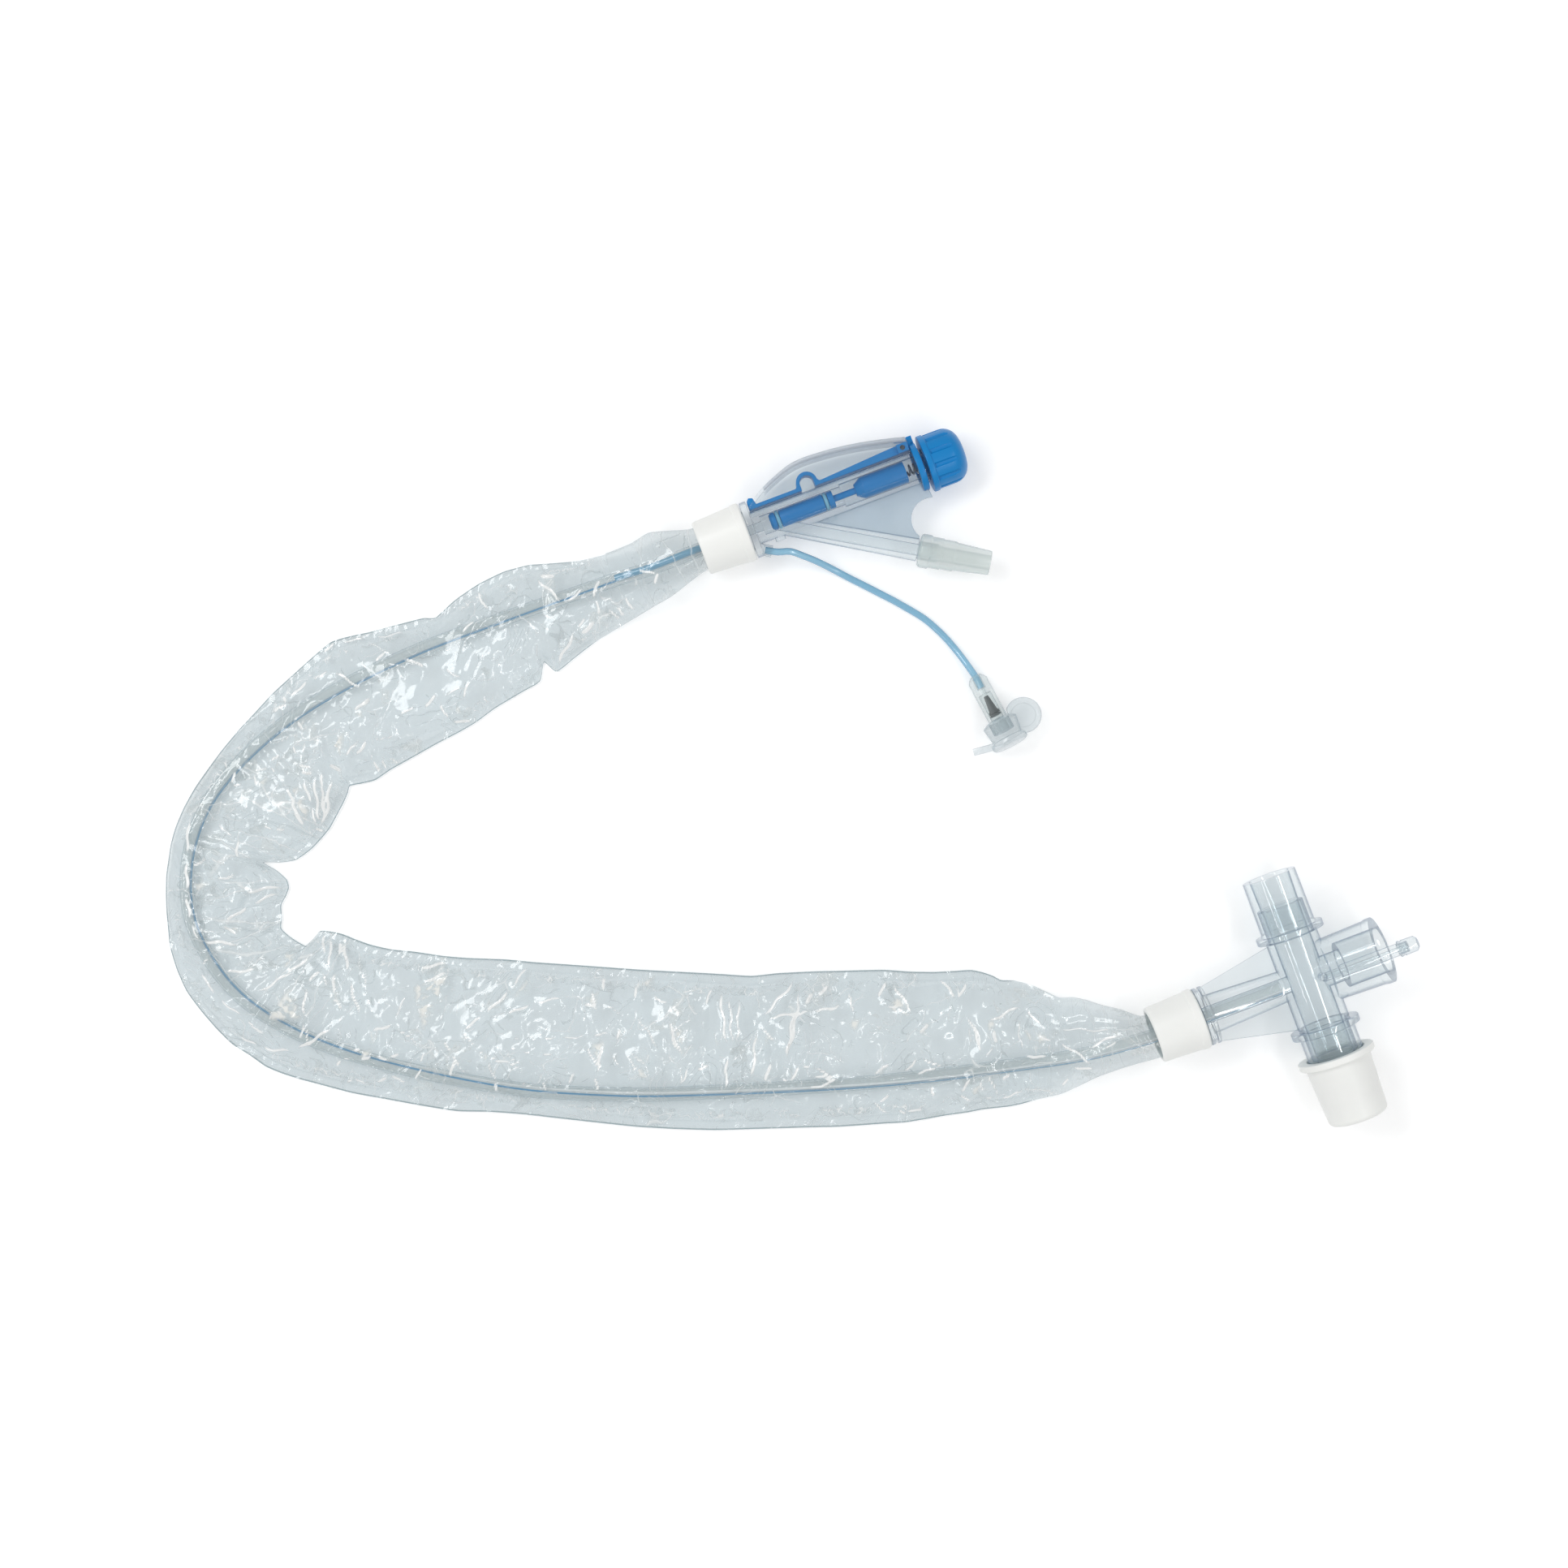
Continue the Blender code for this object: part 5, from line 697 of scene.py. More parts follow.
def material_of(name):
    """The named finish, made on its first use."""
    made = bpy.data.materials.get(name)
    if made:
        return made
    plastic = settings().plastic
    clear, frosted, milky, blue, white, tube_blue = (
        tuple(getattr(plastic, part)) for part in ("clear", "frosted", "milky", "blue", "white", "tube_blue")
    )
    wall = (clear, (0.66, 0.77, 0.83), (0.06, 0.16, 0.31))
    # Tint, body, band, rim and shares, then roughness and the least sheen
    see_through = {
        "clear_moulding": ((0.945, 0.962, 0.968), *wall, (0.02, 0.20, 0.72)),
        "valve_clear": ((0.95, 0.965, 0.97), *wall, (0.015, 0.17, 0.70), 0.08, 0.035),
        "thin_clear": ((0.94, 0.958, 0.965), *wall, (0.10, 0.30, 0.66)),
        "frosted_web": (
            (0.88, 0.92, 0.95), frosted, frosted, (0.30, 0.42, 0.50), (0.34, 0.42, 0.5), 0.32, 0.03,
        ),
        "milky_moulding": (
            (0.965, 0.975, 0.975), milky, (0.66, 0.75, 0.74), (0.42, 0.52, 0.54), (0.34, 0.44, 0.58), 0.2, 0.045,
        ),
        "soft_clear": (
            (0.96, 0.975, 0.975), (0.60, 0.68, 0.68), (0.52, 0.61, 0.63), (0.36, 0.45, 0.50), (0.07, 0.24, 0.55),
            0.2, 0.03,
        ),
        "soft_grey": (
            (0.955, 0.968, 0.975), (0.54, 0.62, 0.65), (0.46, 0.55, 0.59), (0.32, 0.42, 0.48), (0.22, 0.38, 0.62),
            0.2, 0.045,
        ),
        "pale_blue_tube": (
            (0.72, 0.88, 0.96), tube_blue, (0.09, 0.33, 0.52), (0.05, 0.23, 0.42), (0.5, 0.75, 0.92), 0.14,
        ),
    }
    # Colour, roughness, coat, clouding and inner glow
    opaque = {
        "blue_moulding": (blue, 0.36, 0.08),
        "white_moulding": (white, 0.42, 0.1, 0.03, 0.15),
        "blue_seal": ((0.22, 0.50, 0.66), 0.4, 0.0, 0.08),
        "silicone": ((0.62, 0.65, 0.66), 0.5, 0.0, 0.08, 0.3),
        "dark_rubber": ((0.05, 0.055, 0.06), 0.5, 0.0, 0.1),
    }
    if name in see_through:
        return clear_plastic(name, *see_through[name])
    if name in opaque:
        return solid_plastic(name, *opaque[name])
    own = {"spring_wire": spring_material, "catheter_tube": catheter_material, "crumpled_film": film_material}
    return own[name]()


# Shapes


def object_of(name, shape, finish, smooth=True):
    """A finished object from a bmesh, which it frees."""
    bmesh.ops.remove_doubles(shape, verts=shape.verts, dist=1e-7)
    bmesh.ops.recalc_face_normals(shape, faces=shape.faces)
    mesh = bpy.data.meshes.new(name)
    shape.to_mesh(mesh)
    shape.free()
    obj = bpy.data.objects.new(name, mesh)
    bpy.context.scene.collection.objects.link(obj)
    mesh.materials.append(material_of(finish))
    if smooth:
        smooth_by_angle(mesh)
    return obj


def smooth_by_angle(mesh):
    mesh.polygons.foreach_set("use_smooth", [True] * len(mesh.polygons))
    mesh.set_sharp_from_angle(angle=SHARP_ANGLE)


def soften(profile, radius=EDGE_ROUNDING, steps=3):
    """The turned profile with its corners rounded."""
    closed = profile[0][1] > 0
    count = len(profile)
    found = []
    for i, corner in enumerate(map(Vector, profile)):
        a = Vector(profile[i - 1]) - corner
        b = Vector(profile[(i + 1) % count]) - corner
        at_end = not closed and i in (0, count - 1)
        if at_end or a.length < 1e-6 or b.length < 1e-6 or math.pi - a.angle(b) < 0.35:
            found.append(tuple(corner))
            continue
        reach = min(radius, 0.4 * a.length, 0.4 * b.length)
        start = corner + a.normalized() * reach
        end = corner + b.normalized() * reach
        for step in range(steps + 1):
            t = step / steps
            found.append(tuple((1 - t) ** 2 * start + 2 * t * (1 - t) * corner + t * t * end))
    return found


def turned(name, profile, place, heading, finish, facets=ROUND, rounding=EDGE_ROUNDING):
    """A turned piece. The profile is (along, radius), from the far end down the outside and back up the bore."""
    matrix = place @ TURN[heading]
    profile = soften(profile, rounding) if rounding else profile
    shape = bmesh.new()
    rings = []
    for along, radius in profile:
        if radius < 1e-6:
            rings.append([shape.verts.new(matrix @ Vector((0, 0, along)))])
            continue
        angles = (2 * math.pi * i / facets for i in range(facets))
        rings.append([
            shape.verts.new(matrix @ Vector((radius * math.cos(a), radius * math.sin(a), along))) for a in angles
        ])
    pairs = list(zip(rings, rings[1:]))
    if profile[0][1] > 1e-6:
        pairs.append((rings[-1], rings[0]))
    for a, b in pairs:
        for i in range(facets):
            j = (i + 1) % facets
            corners = [a[i], a[j], b[j], b[i]] if len(a) > 1 and len(b) > 1 else (
                [a[0], b[j], b[i]] if len(a) == 1 else [a[i], a[j], b[0]]
            )
            if len(a) > 1 or len(b) > 1:
                shape.faces.new(corners)
    return object_of(name, shape, finish)


def rod(name, radius, start, end, place, heading, finish, facets=SMALL_ROUND, end_radius=None):
    profile = ((end, 0), (end, end_radius or radius), (start, radius), (start, 0))
    return turned(name, profile, place, heading, finish, facets, 0)


def slab(name, outline, low, high, place, finish, rounding=0.0):
    """A flat outline in X and Y between two heights, its edges rounded."""
    shape = bmesh.new()
    bottom = [shape.verts.new((x, y, low)) for x, y in outline]
    face = shape.faces.new(bottom)
    raised = bmesh.ops.extrude_face_region(shape, geom=[face])["geom"]
    bmesh.ops.translate(shape, verts=[g for g in raised if isinstance(g, bmesh.types.BMVert)], vec=(0, 0, high - low))
    if rounding:
        edges = [e for e in shape.edges if len(e.link_faces) == 2 and e.calc_face_angle(0) > 0.6]
        bmesh.ops.bevel(
            shape, geom=edges, offset=rounding, segments=3, profile=0.5, affect="EDGES", clamp_overlap=True
        )
    bmesh.ops.transform(shape, matrix=place, verts=shape.verts)
    return object_of(name, shape, finish)


def box(name, low, high, place, finish, rounding=0.0):
    corners = ((low[0], low[1]), (high[0], low[1]), (high[0], high[1]), (low[0], high[1]))
    return slab(name, corners, low[2], high[2], place, finish, rounding)


def settled(obj):
    """The object with its modifiers applied."""
    graph = bpy.context.evaluated_depsgraph_get()
    mesh = bpy.data.meshes.new_from_object(obj.evaluated_get(graph))
    obj.modifiers.clear()
    old = obj.data
    obj.data = mesh
    bpy.data.meshes.remove(old)
    return obj


def combine(obj, pieces, operation):
    """Joins the pieces to the object or cuts them out of it, and removes them."""
    group = bpy.data.collections.new("parts_of_" + obj.name)
    bpy.context.scene.collection.children.link(group)
    for piece in pieces:
        bpy.context.scene.collection.objects.unlink(piece)
        group.objects.link(piece)
    boolean = obj.modifiers.new("Combine", "BOOLEAN")
    boolean.operation = operation
    boolean.operand_type = "COLLECTION"
    boolean.collection = group
    boolean.material_mode = "TRANSFER"
    bpy.context.view_layer.update()
    settled(obj)
    for piece in pieces:
        bpy.data.objects.remove(piece, do_unlink=True)
    bpy.data.collections.remove(group)
    shape = bmesh.new()
    shape.from_mesh(obj.data)
    bmesh.ops.remove_doubles(shape, verts=shape.verts, dist=2e-7)
    bmesh.ops.dissolve_degenerate(shape, edges=shape.edges, dist=1e-7)
    shape.to_mesh(obj.data)
    shape.free()
    smooth_by_angle(obj.data)
    return obj


def tube(name, points, radius, finish, sides=20, wall=0.0, stripe_turn=None):
    """A tube along points in metres, with a bore if wall is given, and a UV map of length and share round it."""
    shape = bmesh.new()
    uv = shape.loops.layers.uv.new(TUBE_UV)
    up = Vector((0, 0, 1))
    rings = []
    lengths = reaches(points)
    for i, point in enumerate(points):
        ahead = (points[min(i + 1, len(points) - 1)] - points[max(i - 1, 0)]).normalized()
        side = ahead.cross(up).normalized()
        top = side.cross(ahead)
        turn = stripe_turn(i / (len(points) - 1)) if stripe_turn else 0.0
        radii = (radius, radius - wall) if wall else (radius,)
        rings.append([
            [
                shape.verts.new(point + r * (side * math.cos(turn + 2 * math.pi * k / sides)
                                             + top * math.sin(turn + 2 * math.pi * k / sides)))
                for k in range(sides)
            ]
            for r in radii
        ])

    def face(corners, values):
        made = shape.faces.new(corners)
        for loop, value in zip(made.loops, values):
            loop[uv].uv = value

    for i in range(len(rings) - 1):
        for layer in range(len(rings[0])):
            a, b = rings[i][layer], rings[i + 1][layer]
            for k in range(sides):
                j = (k + 1) % sides
                corners = [a[k], b[k], b[j], a[j]]
                values = [(lengths[i] * 10, k / sides), (lengths[i + 1] * 10, k / sides),
                          (lengths[i + 1] * 10, (k + 1) / sides), (lengths[i] * 10, (k + 1) / sides)]
                if layer:
                    corners.reverse()
                    values.reverse()
                face(corners, values)
    for end, i in ((0, 0), (1, len(rings) - 1)):
        if wall:
            outer, inner = rings[i]
            for k in range(sides):
                j = (k + 1) % sides
                corners = [outer[k], outer[j], inner[j], inner[k]]
                values = [(lengths[i] * 10, k / sides)] * 4
                face(corners if not end else corners[::-1], values)
        else:
            face(rings[i][0] if not end else rings[i][0][::-1], [(lengths[i] * 10, 0.0)] * sides)
    return object_of(name, shape, finish)


def dress(obj, body, slot, *nodes):
    """Places a finished piece on its body, in the stead of these CAD nodes."""
    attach(obj, body)
    if nodes:
        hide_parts(*nodes)
    return obj


# Geometry node trees


def growing_tree(name, inputs):
    """The nodes of a new geometry tree with these inputs and a material, and the sockets they arrive at."""
    tree = bpy.data.node_groups.new(name, "GeometryNodeTree")
    tree.interface.new_socket(name="Geometry", in_out="OUTPUT", socket_type="NodeSocketGeometry")
    for label, value in inputs.items():
        kind = "NodeSocketInt" if isinstance(value, int) else "NodeSocketFloat"
        tree.interface.new_socket(name=label, in_out="INPUT", socket_type=kind).default_value = value
    tree.interface.new_socket(name="Material", in_out="INPUT", socket_type="NodeSocketMaterial")
    nodes = Nodes(tree)
    return nodes, nodes.add("NodeGroupInput").outputs


def tree_end(nodes, given, last):
    """Ends the tree with plain geometry in its material."""
    real = nodes.add("GeometryNodeRealizeInstances", {0: last})
    painted = nodes.add("GeometryNodeSetMaterial", {"Geometry": real, "Material": given["Material"]})
    nodes.add("NodeGroupOutput", {0: painted})
    return nodes.tree


def ribs_tree():
    """Round ribs set round an axis and lying along it."""
    nodes, given = growing_tree(
        "Grip ribs", {"Count": 12, "Ring radius": 0.009, "Length": 0.006, "Rib radius": 0.0012, "Start": 0.0}
    )
    circle = nodes.add("GeometryNodeMeshCircle", {"Vertices": given["Count"], "Radius": given["Ring radius"]})
    rib_size = {"Vertices": 12, "Side Segments": 1, "Radius": given["Rib radius"], "Depth": given["Length"]}
    rib = nodes.add("GeometryNodeMeshCylinder", rib_size, fill_type="TRIANGLE_FAN")
    copies = nodes.add("GeometryNodeInstanceOnPoints", {"Points": circle, "Instance": rib})
    middle = nodes.maths("ADD", given["Start"], nodes.times(given["Length"], 0.5))
    lift = nodes.add("ShaderNodeCombineXYZ", {"Z": middle})
    moved = nodes.add("GeometryNodeTransform", {"Geometry": copies, "Translation": lift})
    return tree_end(nodes, given, moved)


def coil_tree():
    """A coil spring of round wire along Z, from zero."""
    nodes, given = growing_tree(
        "Coil spring", {"Turns": 5.0, "Length": 0.005, "Coil radius": 0.0016, "Wire radius": 0.0003}
    )
    spiral = nodes.add("GeometryNodeCurveSpiral", {
        "Resolution": 24, "Rotations": given["Turns"], "Start Radius": given["Coil radius"],
        "End Radius": given["Coil radius"], "Height": given["Length"],
    })
    wire = nodes.add("GeometryNodeCurvePrimitiveCircle", {"Resolution": 10, "Radius": given["Wire radius"]})
    swept = nodes.add("GeometryNodeCurveToMesh", {"Curve": spiral, "Profile Curve": wire, "Fill Caps": True})
    return tree_end(nodes, given, swept)


def grown(name, tree, values, matrix, finish):
    """The plain mesh that a geometry node tree makes, put in place by matrix."""
    obj = bpy.data.objects.new(name, bpy.data.meshes.new(name))
    bpy.context.scene.collection.objects.link(obj)
    modifier = obj.modifiers.new("Grow", "NODES")
    modifier.node_group = tree
    sockets = {item.name: item.identifier for item in tree.interface.items_tree if item.in_out == "INPUT"}
    for label, value in {**values, "Material": material_of(finish)}.items():
        modifier[sockets[label]] = value
    bpy.context.view_layer.update()
    settled(obj)
    shape = bmesh.new()
    shape.from_mesh(obj.data)
    bmesh.ops.transform(shape, matrix=matrix, verts=shape.verts)
    bmesh.ops.remove_doubles(shape, verts=shape.verts, dist=1e-7)
    bmesh.ops.recalc_face_normals(shape, faces=shape.faces)
    shape.to_mesh(obj.data)
    shape.free()
    if not obj.data.materials:
        obj.data.materials.append(material_of(finish))
    smooth_by_angle(obj.data)
    return obj


# Valve pieces


def valve_profile():
    """The valve tube's outside, from its threaded neck down to the hub in the sleeve."""
    neck_end = VALVE_LENGTH + VALVE_NECK_LENGTH
    collar_end = RUN_GAP + VALVE_COLLAR_LENGTH
    hub_end = RUN_GAP - HUB_LENGTH
    return (
        (neck_end, 0), (neck_end, VALVE_NECK_R), (VALVE_LENGTH, VALVE_NECK_R), (VALVE_LENGTH, VALVE_TUBE_R + 0.5),
        (VALVE_LENGTH - 1.0, VALVE_TUBE_R + 0.5), (VALVE_LENGTH - 1.3, VALVE_TUBE_R), (collar_end, VALVE_TUBE_R),
        (collar_end, VALVE_COLLAR_R), (RUN_GAP, VALVE_COLLAR_R), (RUN_GAP, HUB_R), (hub_end + 1.0, HUB_R),
        (hub_end, HUB_R - 0.6), (hub_end, 0),
    )


def web_outline():
    """The plate between valve tube and branch, with its round bite at the open end."""
    along = Vector((math.cos(BRANCH_ANGLE), math.sin(BRANCH_ANGLE)))
    end = Vector((BRANCH_FROM, 0)) + along * (BRANCH_LENGTH - 0.5)
    bite = [
        (58.0 + 7.1 * math.cos(math.radians(a)), -17.6 + 7.1 * math.sin(math.radians(a)))
        for a in range(72, 222, 10)
    ]
    return (
        (BRANCH_FROM + 2.0, -1.0), (VALVE_LENGTH - 1.8, -1.0), (60.4, -10.8), *bite,
        tuple(end), (BRANCH_FROM + 4.0, -2.0),
    )


def valve_moulding():
    """Valve tube with its collar, hub, branch and gland, as one clear moulding."""
    finish = "valve_clear"
    body = turned("valve_moulding", valve_profile(), VALVE, "X", finish)
    branch_end = BRANCH_LENGTH + BRANCH_SPIGOT_LENGTH
    branch_profile = (
        (branch_end, 0), (branch_end, BRANCH_SPIGOT_R), (BRANCH_LENGTH, BRANCH_SPIGOT_R),
        (BRANCH_LENGTH, BRANCH_END_R), (0, BRANCH_START_R), (0, 0),
    )
    pieces = [
        turned("branch_tube", branch_profile, BRANCH, "X", finish, SMALL_ROUND),
        rod("gland_boss", 1.95, 0, GLAND_LENGTH, GLAND, "X", finish),
    ]
    pieces += [
        rod(f"port_boss_{i}", 1.7, FRONT_BORE_R, VALVE_TUBE_R + 1.2, VALVE @ Matrix.Translation((along, 0, 0)), "-Y",
            finish)
        for i, along in enumerate((9.3, 27.2))
    ]
    combine(body, pieces, "UNION")
    past = VALVE_LENGTH + VALVE_NECK_LENGTH + PAST
    lumen = VALVE @ Matrix.Translation((0, 0, -CATHETER_BELOW_AXIS / 2))
    catheter_hole = VALVE @ Matrix.Translation((0, 0, -CATHETER_BELOW_AXIS))
    flush_hole = VALVE @ Matrix.Translation((0, 0, BORE_SPACING - CATHETER_BELOW_AXIS))
    bores = [
        rod("rear_bore", REAR_BORE_R, REAR_BORE_START, past, VALVE, "X", finish, ROUND),
        rod("front_bore", FRONT_BORE_R, FRONT_BORE_START, REAR_BORE_START + 1, VALVE, "X", finish, ROUND),
        rod("lumen_bore", LUMEN_R, -2.2, FRONT_BORE_START + 1, lumen, "X", finish),
        rod("catheter_hole", CATHETER_R + HOLE_GAP, -HUB_LENGTH - PAST, -1.0, catheter_hole, "X", finish),
        rod("flush_hole", FLUSH_R + HOLE_GAP, -HUB_LENGTH - PAST, -1.0, flush_hole, "X", finish, TINY_ROUND),
        rod("branch_bore", BRANCH_BORE_R, FRONT_BORE_R, branch_end + PAST, BRANCH, "X", finish),
        rod("gland_bore", FLUSH_R + RUN_GAP, GLAND_LENGTH / 3, GLAND_LENGTH + PAST, GLAND, "X", finish, TINY_ROUND),
    ]
    return combine(body, bores, "DIFFERENCE")


def valve_plate():
    """The frosted plate, trimmed clear of the tubes that it joins."""
    plate = slab("valve_plate", web_outline(), -WEB_THICKNESS / 2, WEB_THICKNESS / 2, VALVE, "frosted_web", 0.22)
    for cutter in (
        rod("clear_of_tube", VALVE_TUBE_R - PLATE_GAP, -2, VALVE_LENGTH + 9, VALVE, "X", "clear_moulding", ROUND),
        rod("clear_of_branch", BRANCH_START_R - PLATE_GAP, 0, BRANCH_LENGTH + PAST, BRANCH, "X", "clear_moulding",
            end_radius=BRANCH_END_R - PLATE_GAP),
    ):
        combine(plate, [cutter], "DIFFERENCE")
    return plate


def press_points():
    """The thumb press's top line, from its free end to its hinge."""
    top = ((2.9, 6.4), (8.0, 10.1), (14.3, 13.0), (22.0, 15.2), (32.3, 15.0), (43.0, 13.6), (53.5, 11.3), (58.2, 10.0))
    return through([Vector(point) for point in top], 6)


def upright(name, outline, half, finish, rounding=0.0):
    """An outline in the valve's length and height, standing across the table's plane as the press does."""
    return slab(name, outline, -half, half, VALVE, finish, rounding)


def thumb_press():
    """Arched cover with side skirts and hinge pins."""
    px, ph = PRESS_PIVOT
    line = press_points()
    outer = VALVE_TUBE_R + SEAT_GAP + PRESS_WALL
    inner = outer - PRESS_WALL
    outline = [(2.9, 4.2), *[tuple(point) for point in line], (58.2, 4.2)]
    press = upright("press_cover", outline, outer, "valve_clear", 0.28)
    under = [(s, h - 1.38) for s, h in map(tuple, line) if s > 9.6]
    hollow_outline = [(-5.0, -5.0), (-5.0, 30.0), (9.6, 30.0), (9.6, under[0][1] - 0.5), *under,
                      (61.2, under[-1][1] - 0.8), (61.2, -5.0)]
    hollow = upright("press_hollow", hollow_outline, inner, "valve_clear")
    combine(press, [hollow], "DIFFERENCE")
    pivot = VALVE @ Matrix.Translation((px, ph, 0))
    pins = [
        rod("pin_left", 0.7, inner - 2.4, inner + 0.6, pivot, "Z", "valve_clear", TINY_ROUND),
        rod("pin_right", 0.7, -inner - 0.6, -inner + 2.4, pivot, "Z", "valve_clear", TINY_ROUND),
    ]
    return combine(press, pins, "UNION")


def arc(x, y, radius, start, end, steps):
    angles = [math.radians(mix(start, end, i / steps)) for i in range(steps + 1)]
    return [(x + radius * math.cos(a), y + radius * math.sin(a)) for a in angles]


def return_strip():
    """Blue strip with its looped hump, wedge, hinge block and ring."""
    finish = "blue_moulding"
    low = VALVE_TUBE_R + RUN_GAP
    high = low + 1.2
    outline = [
        (3.0, low), (21.2, low), *arc(23.5, 7.8, 2.3, 180, 0, 14), (25.8, low), (RING_AT + 1.0, low),
        (RING_AT + 1.0, STRIP_BLOCK_TOP), (RING_AT - 4.6, STRIP_BLOCK_TOP), (28.5, high), (27.6, high),
        *arc(23.5, 7.8, 3.5, 0, 180, 20), (19.4, high), (5.7, high), (5.16, 9.2), (3.81, 9.6), (3.0, 8.7),
    ]
    strip = upright("strip_band", outline, 3.5, finish, 0.15)
    inner_half = VALVE_TUBE_R + SEAT_GAP - RUN_GAP
    ring_profile = (
        (RING_AT + RING_THICKNESS, RING_R), (RING_AT, RING_R), (RING_AT, low), (RING_AT + RING_THICKNESS, low)
    )
    pieces = [
        box("hinge_block", (RING_AT - 4.0, low, -inner_half), (RING_AT - 0.4, STRIP_BLOCK_TOP, inner_half), VALVE,
            finish),
        turned("strip_ring", ring_profile, VALVE, "X", finish),
        box("ring_tab", (RING_AT + 0.1, RING_R - 1, -2.5), (RING_AT + RING_THICKNESS - 0.1, 10.3, 2.5), VALVE, finish),
    ]
    combine(strip, pieces, "UNION")
    pivot = VALVE @ Matrix.Translation((*PRESS_PIVOT, 0))
    cutters = [
        rod("pin_hole", 0.85, -8, 8, pivot, "Z", finish, TINY_ROUND),
        box("plate_slot", (RING_AT - 1.5, -RING_R - 1.5, -1.3), (RING_AT + 3.5, -VALVE_TUBE_R + 1.5, 1.3), VALVE,
            finish),
    ]
    return combine(strip, cutters, "DIFFERENCE")


def spool_and_seals():
    """Spool with a seat that the spring sinks into when the press is down, and its two seal rings."""
    front = FRONT_BORE_R - RUN_GAP
    rear = REAR_BORE_R - RUN_GAP
    grooves = (SPOOL_START + 2.0, FRONT_LAND_END - 3.4)
    seat = SPOOL_END - 3.3
    profile = [
        (seat, 0), (seat, 2.25), (SPOOL_END, 2.25), (SPOOL_END, rear), (REAR_LAND_START + 2.6, rear),
        (REAR_LAND_START, rear - 1.6), (REAR_LAND_START, 1.1), (FRONT_LAND_END, 1.1), (FRONT_LAND_END, front),
    ]
    for groove in reversed(grooves):
        profile += [(groove + 1.5, front), (groove + 1.5, front - 0.7), (groove, front - 0.7), (groove, front)]
    profile += [(SPOOL_START + 0.7, front), (SPOOL_START, front - 0.7), (SPOOL_START, 0)]
    made = [turned("spool_shaft", profile, VALVE, "X", "blue_moulding", 48, 0.15)]
    outer = FRONT_BORE_R - 0.12
    for side, groove in zip(("front", "rear"), grooves):
        middle = groove + 0.75
        ring = [
            (middle + 0.62 * math.cos(math.radians(a)), outer - SEAL_WIRE_R + SEAL_WIRE_R * math.sin(math.radians(a)))
            for a in range(0, 360, 24)
        ]
        made.append(turned(f"seal_ring_{side}", ring, VALVE, "X", "blue_seal", 48, 0))
    return made


def lock_cap():
    """Domed cap with grip grooves and a plug that closes the valve."""
    end = LOCK_CAP_AT + LOCK_CAP_LENGTH
    wide = LOCK_CAP_R - 0.35
    dome_start = LOCK_CAP_AT + 7.6
    dome = [
        (mix(dome_start, end, math.sin(math.radians(a))), wide * math.cos(math.radians(a)) ** 0.62)
        for a in range(84, 4, -8)
    ]
    over_neck = VALVE_LENGTH + VALVE_NECK_LENGTH + RUN_GAP
    plug_r = REAR_BORE_R - RUN_GAP
    profile = [
        (end, 0), *dome, (dome_start, wide), (LOCK_CAP_AT + 1.8, wide), (LOCK_CAP_AT + 1.8, LOCK_CAP_R),
        (LOCK_CAP_AT, LOCK_CAP_R), (LOCK_CAP_AT, VALVE_NECK_R + RUN_GAP), (over_neck, VALVE_NECK_R + RUN_GAP),
        (over_neck, plug_r), (LOCK_CAP_AT - 0.6, plug_r), (LOCK_CAP_AT - 0.6, 0),
    ]
    cap = turned("cap_shell", profile, VALVE, "X", "blue_moulding", 96)
    values = {
        "Count": 12, "Ring radius": (wide + 0.35) * MM, "Length": 7.6 * MM, "Rib radius": 0.95 * MM,
        "Start": (LOCK_CAP_AT + 2.1) * MM,
    }
    metres = VALVE @ TURN["X"] @ Matrix.Rotation(math.radians(15), 4, "Z") @ Matrix.Scale(1 / MM, 4)
    grooves = grown("grip_grooves", ribs_tree(), values, metres, "blue_moulding")
    return combine(cap, [grooves], "DIFFERENCE")


def return_spring():
    """Coils between the spool's end and the lock cap's plug."""
    start = SPOOL_END + SPRING_WIRE_R + RUN_GAP
    end = LOCK_CAP_AT - 0.9 - SPRING_WIRE_R
    values = {
        "Turns": 3.5, "Length": (end - start) * MM, "Coil radius": SPRING_R * MM, "Wire radius": SPRING_WIRE_R * MM,
    }
    metres = VALVE @ Matrix.Translation((start, 0, 0)) @ TURN["X"] @ Matrix.Scale(1 / MM, 4)
    return grown("spring_coils", coil_tree(), values, metres, "spring_wire")


def valve_ferrule():
    mouth = FERRULE_BORE_R + FERRULE_WALL_AT_MOUTH
    profile = (
        (0, VALVE_FERRULE_R - FERRULE_EDGE), (-FERRULE_EDGE, VALVE_FERRULE_R), (-2.6, VALVE_FERRULE_R - 0.05),
        (-3.0, VALVE_FERRULE_R - 0.3), (-FERRULE_LENGTH + FERRULE_EDGE, mouth),
        (-FERRULE_LENGTH, mouth - FERRULE_EDGE), (-FERRULE_LENGTH, FERRULE_BORE_R), (0, FERRULE_BORE_R),
    )
    return turned("ferrule_at_valve", profile, VALVE, "X", "white_moulding", 96)


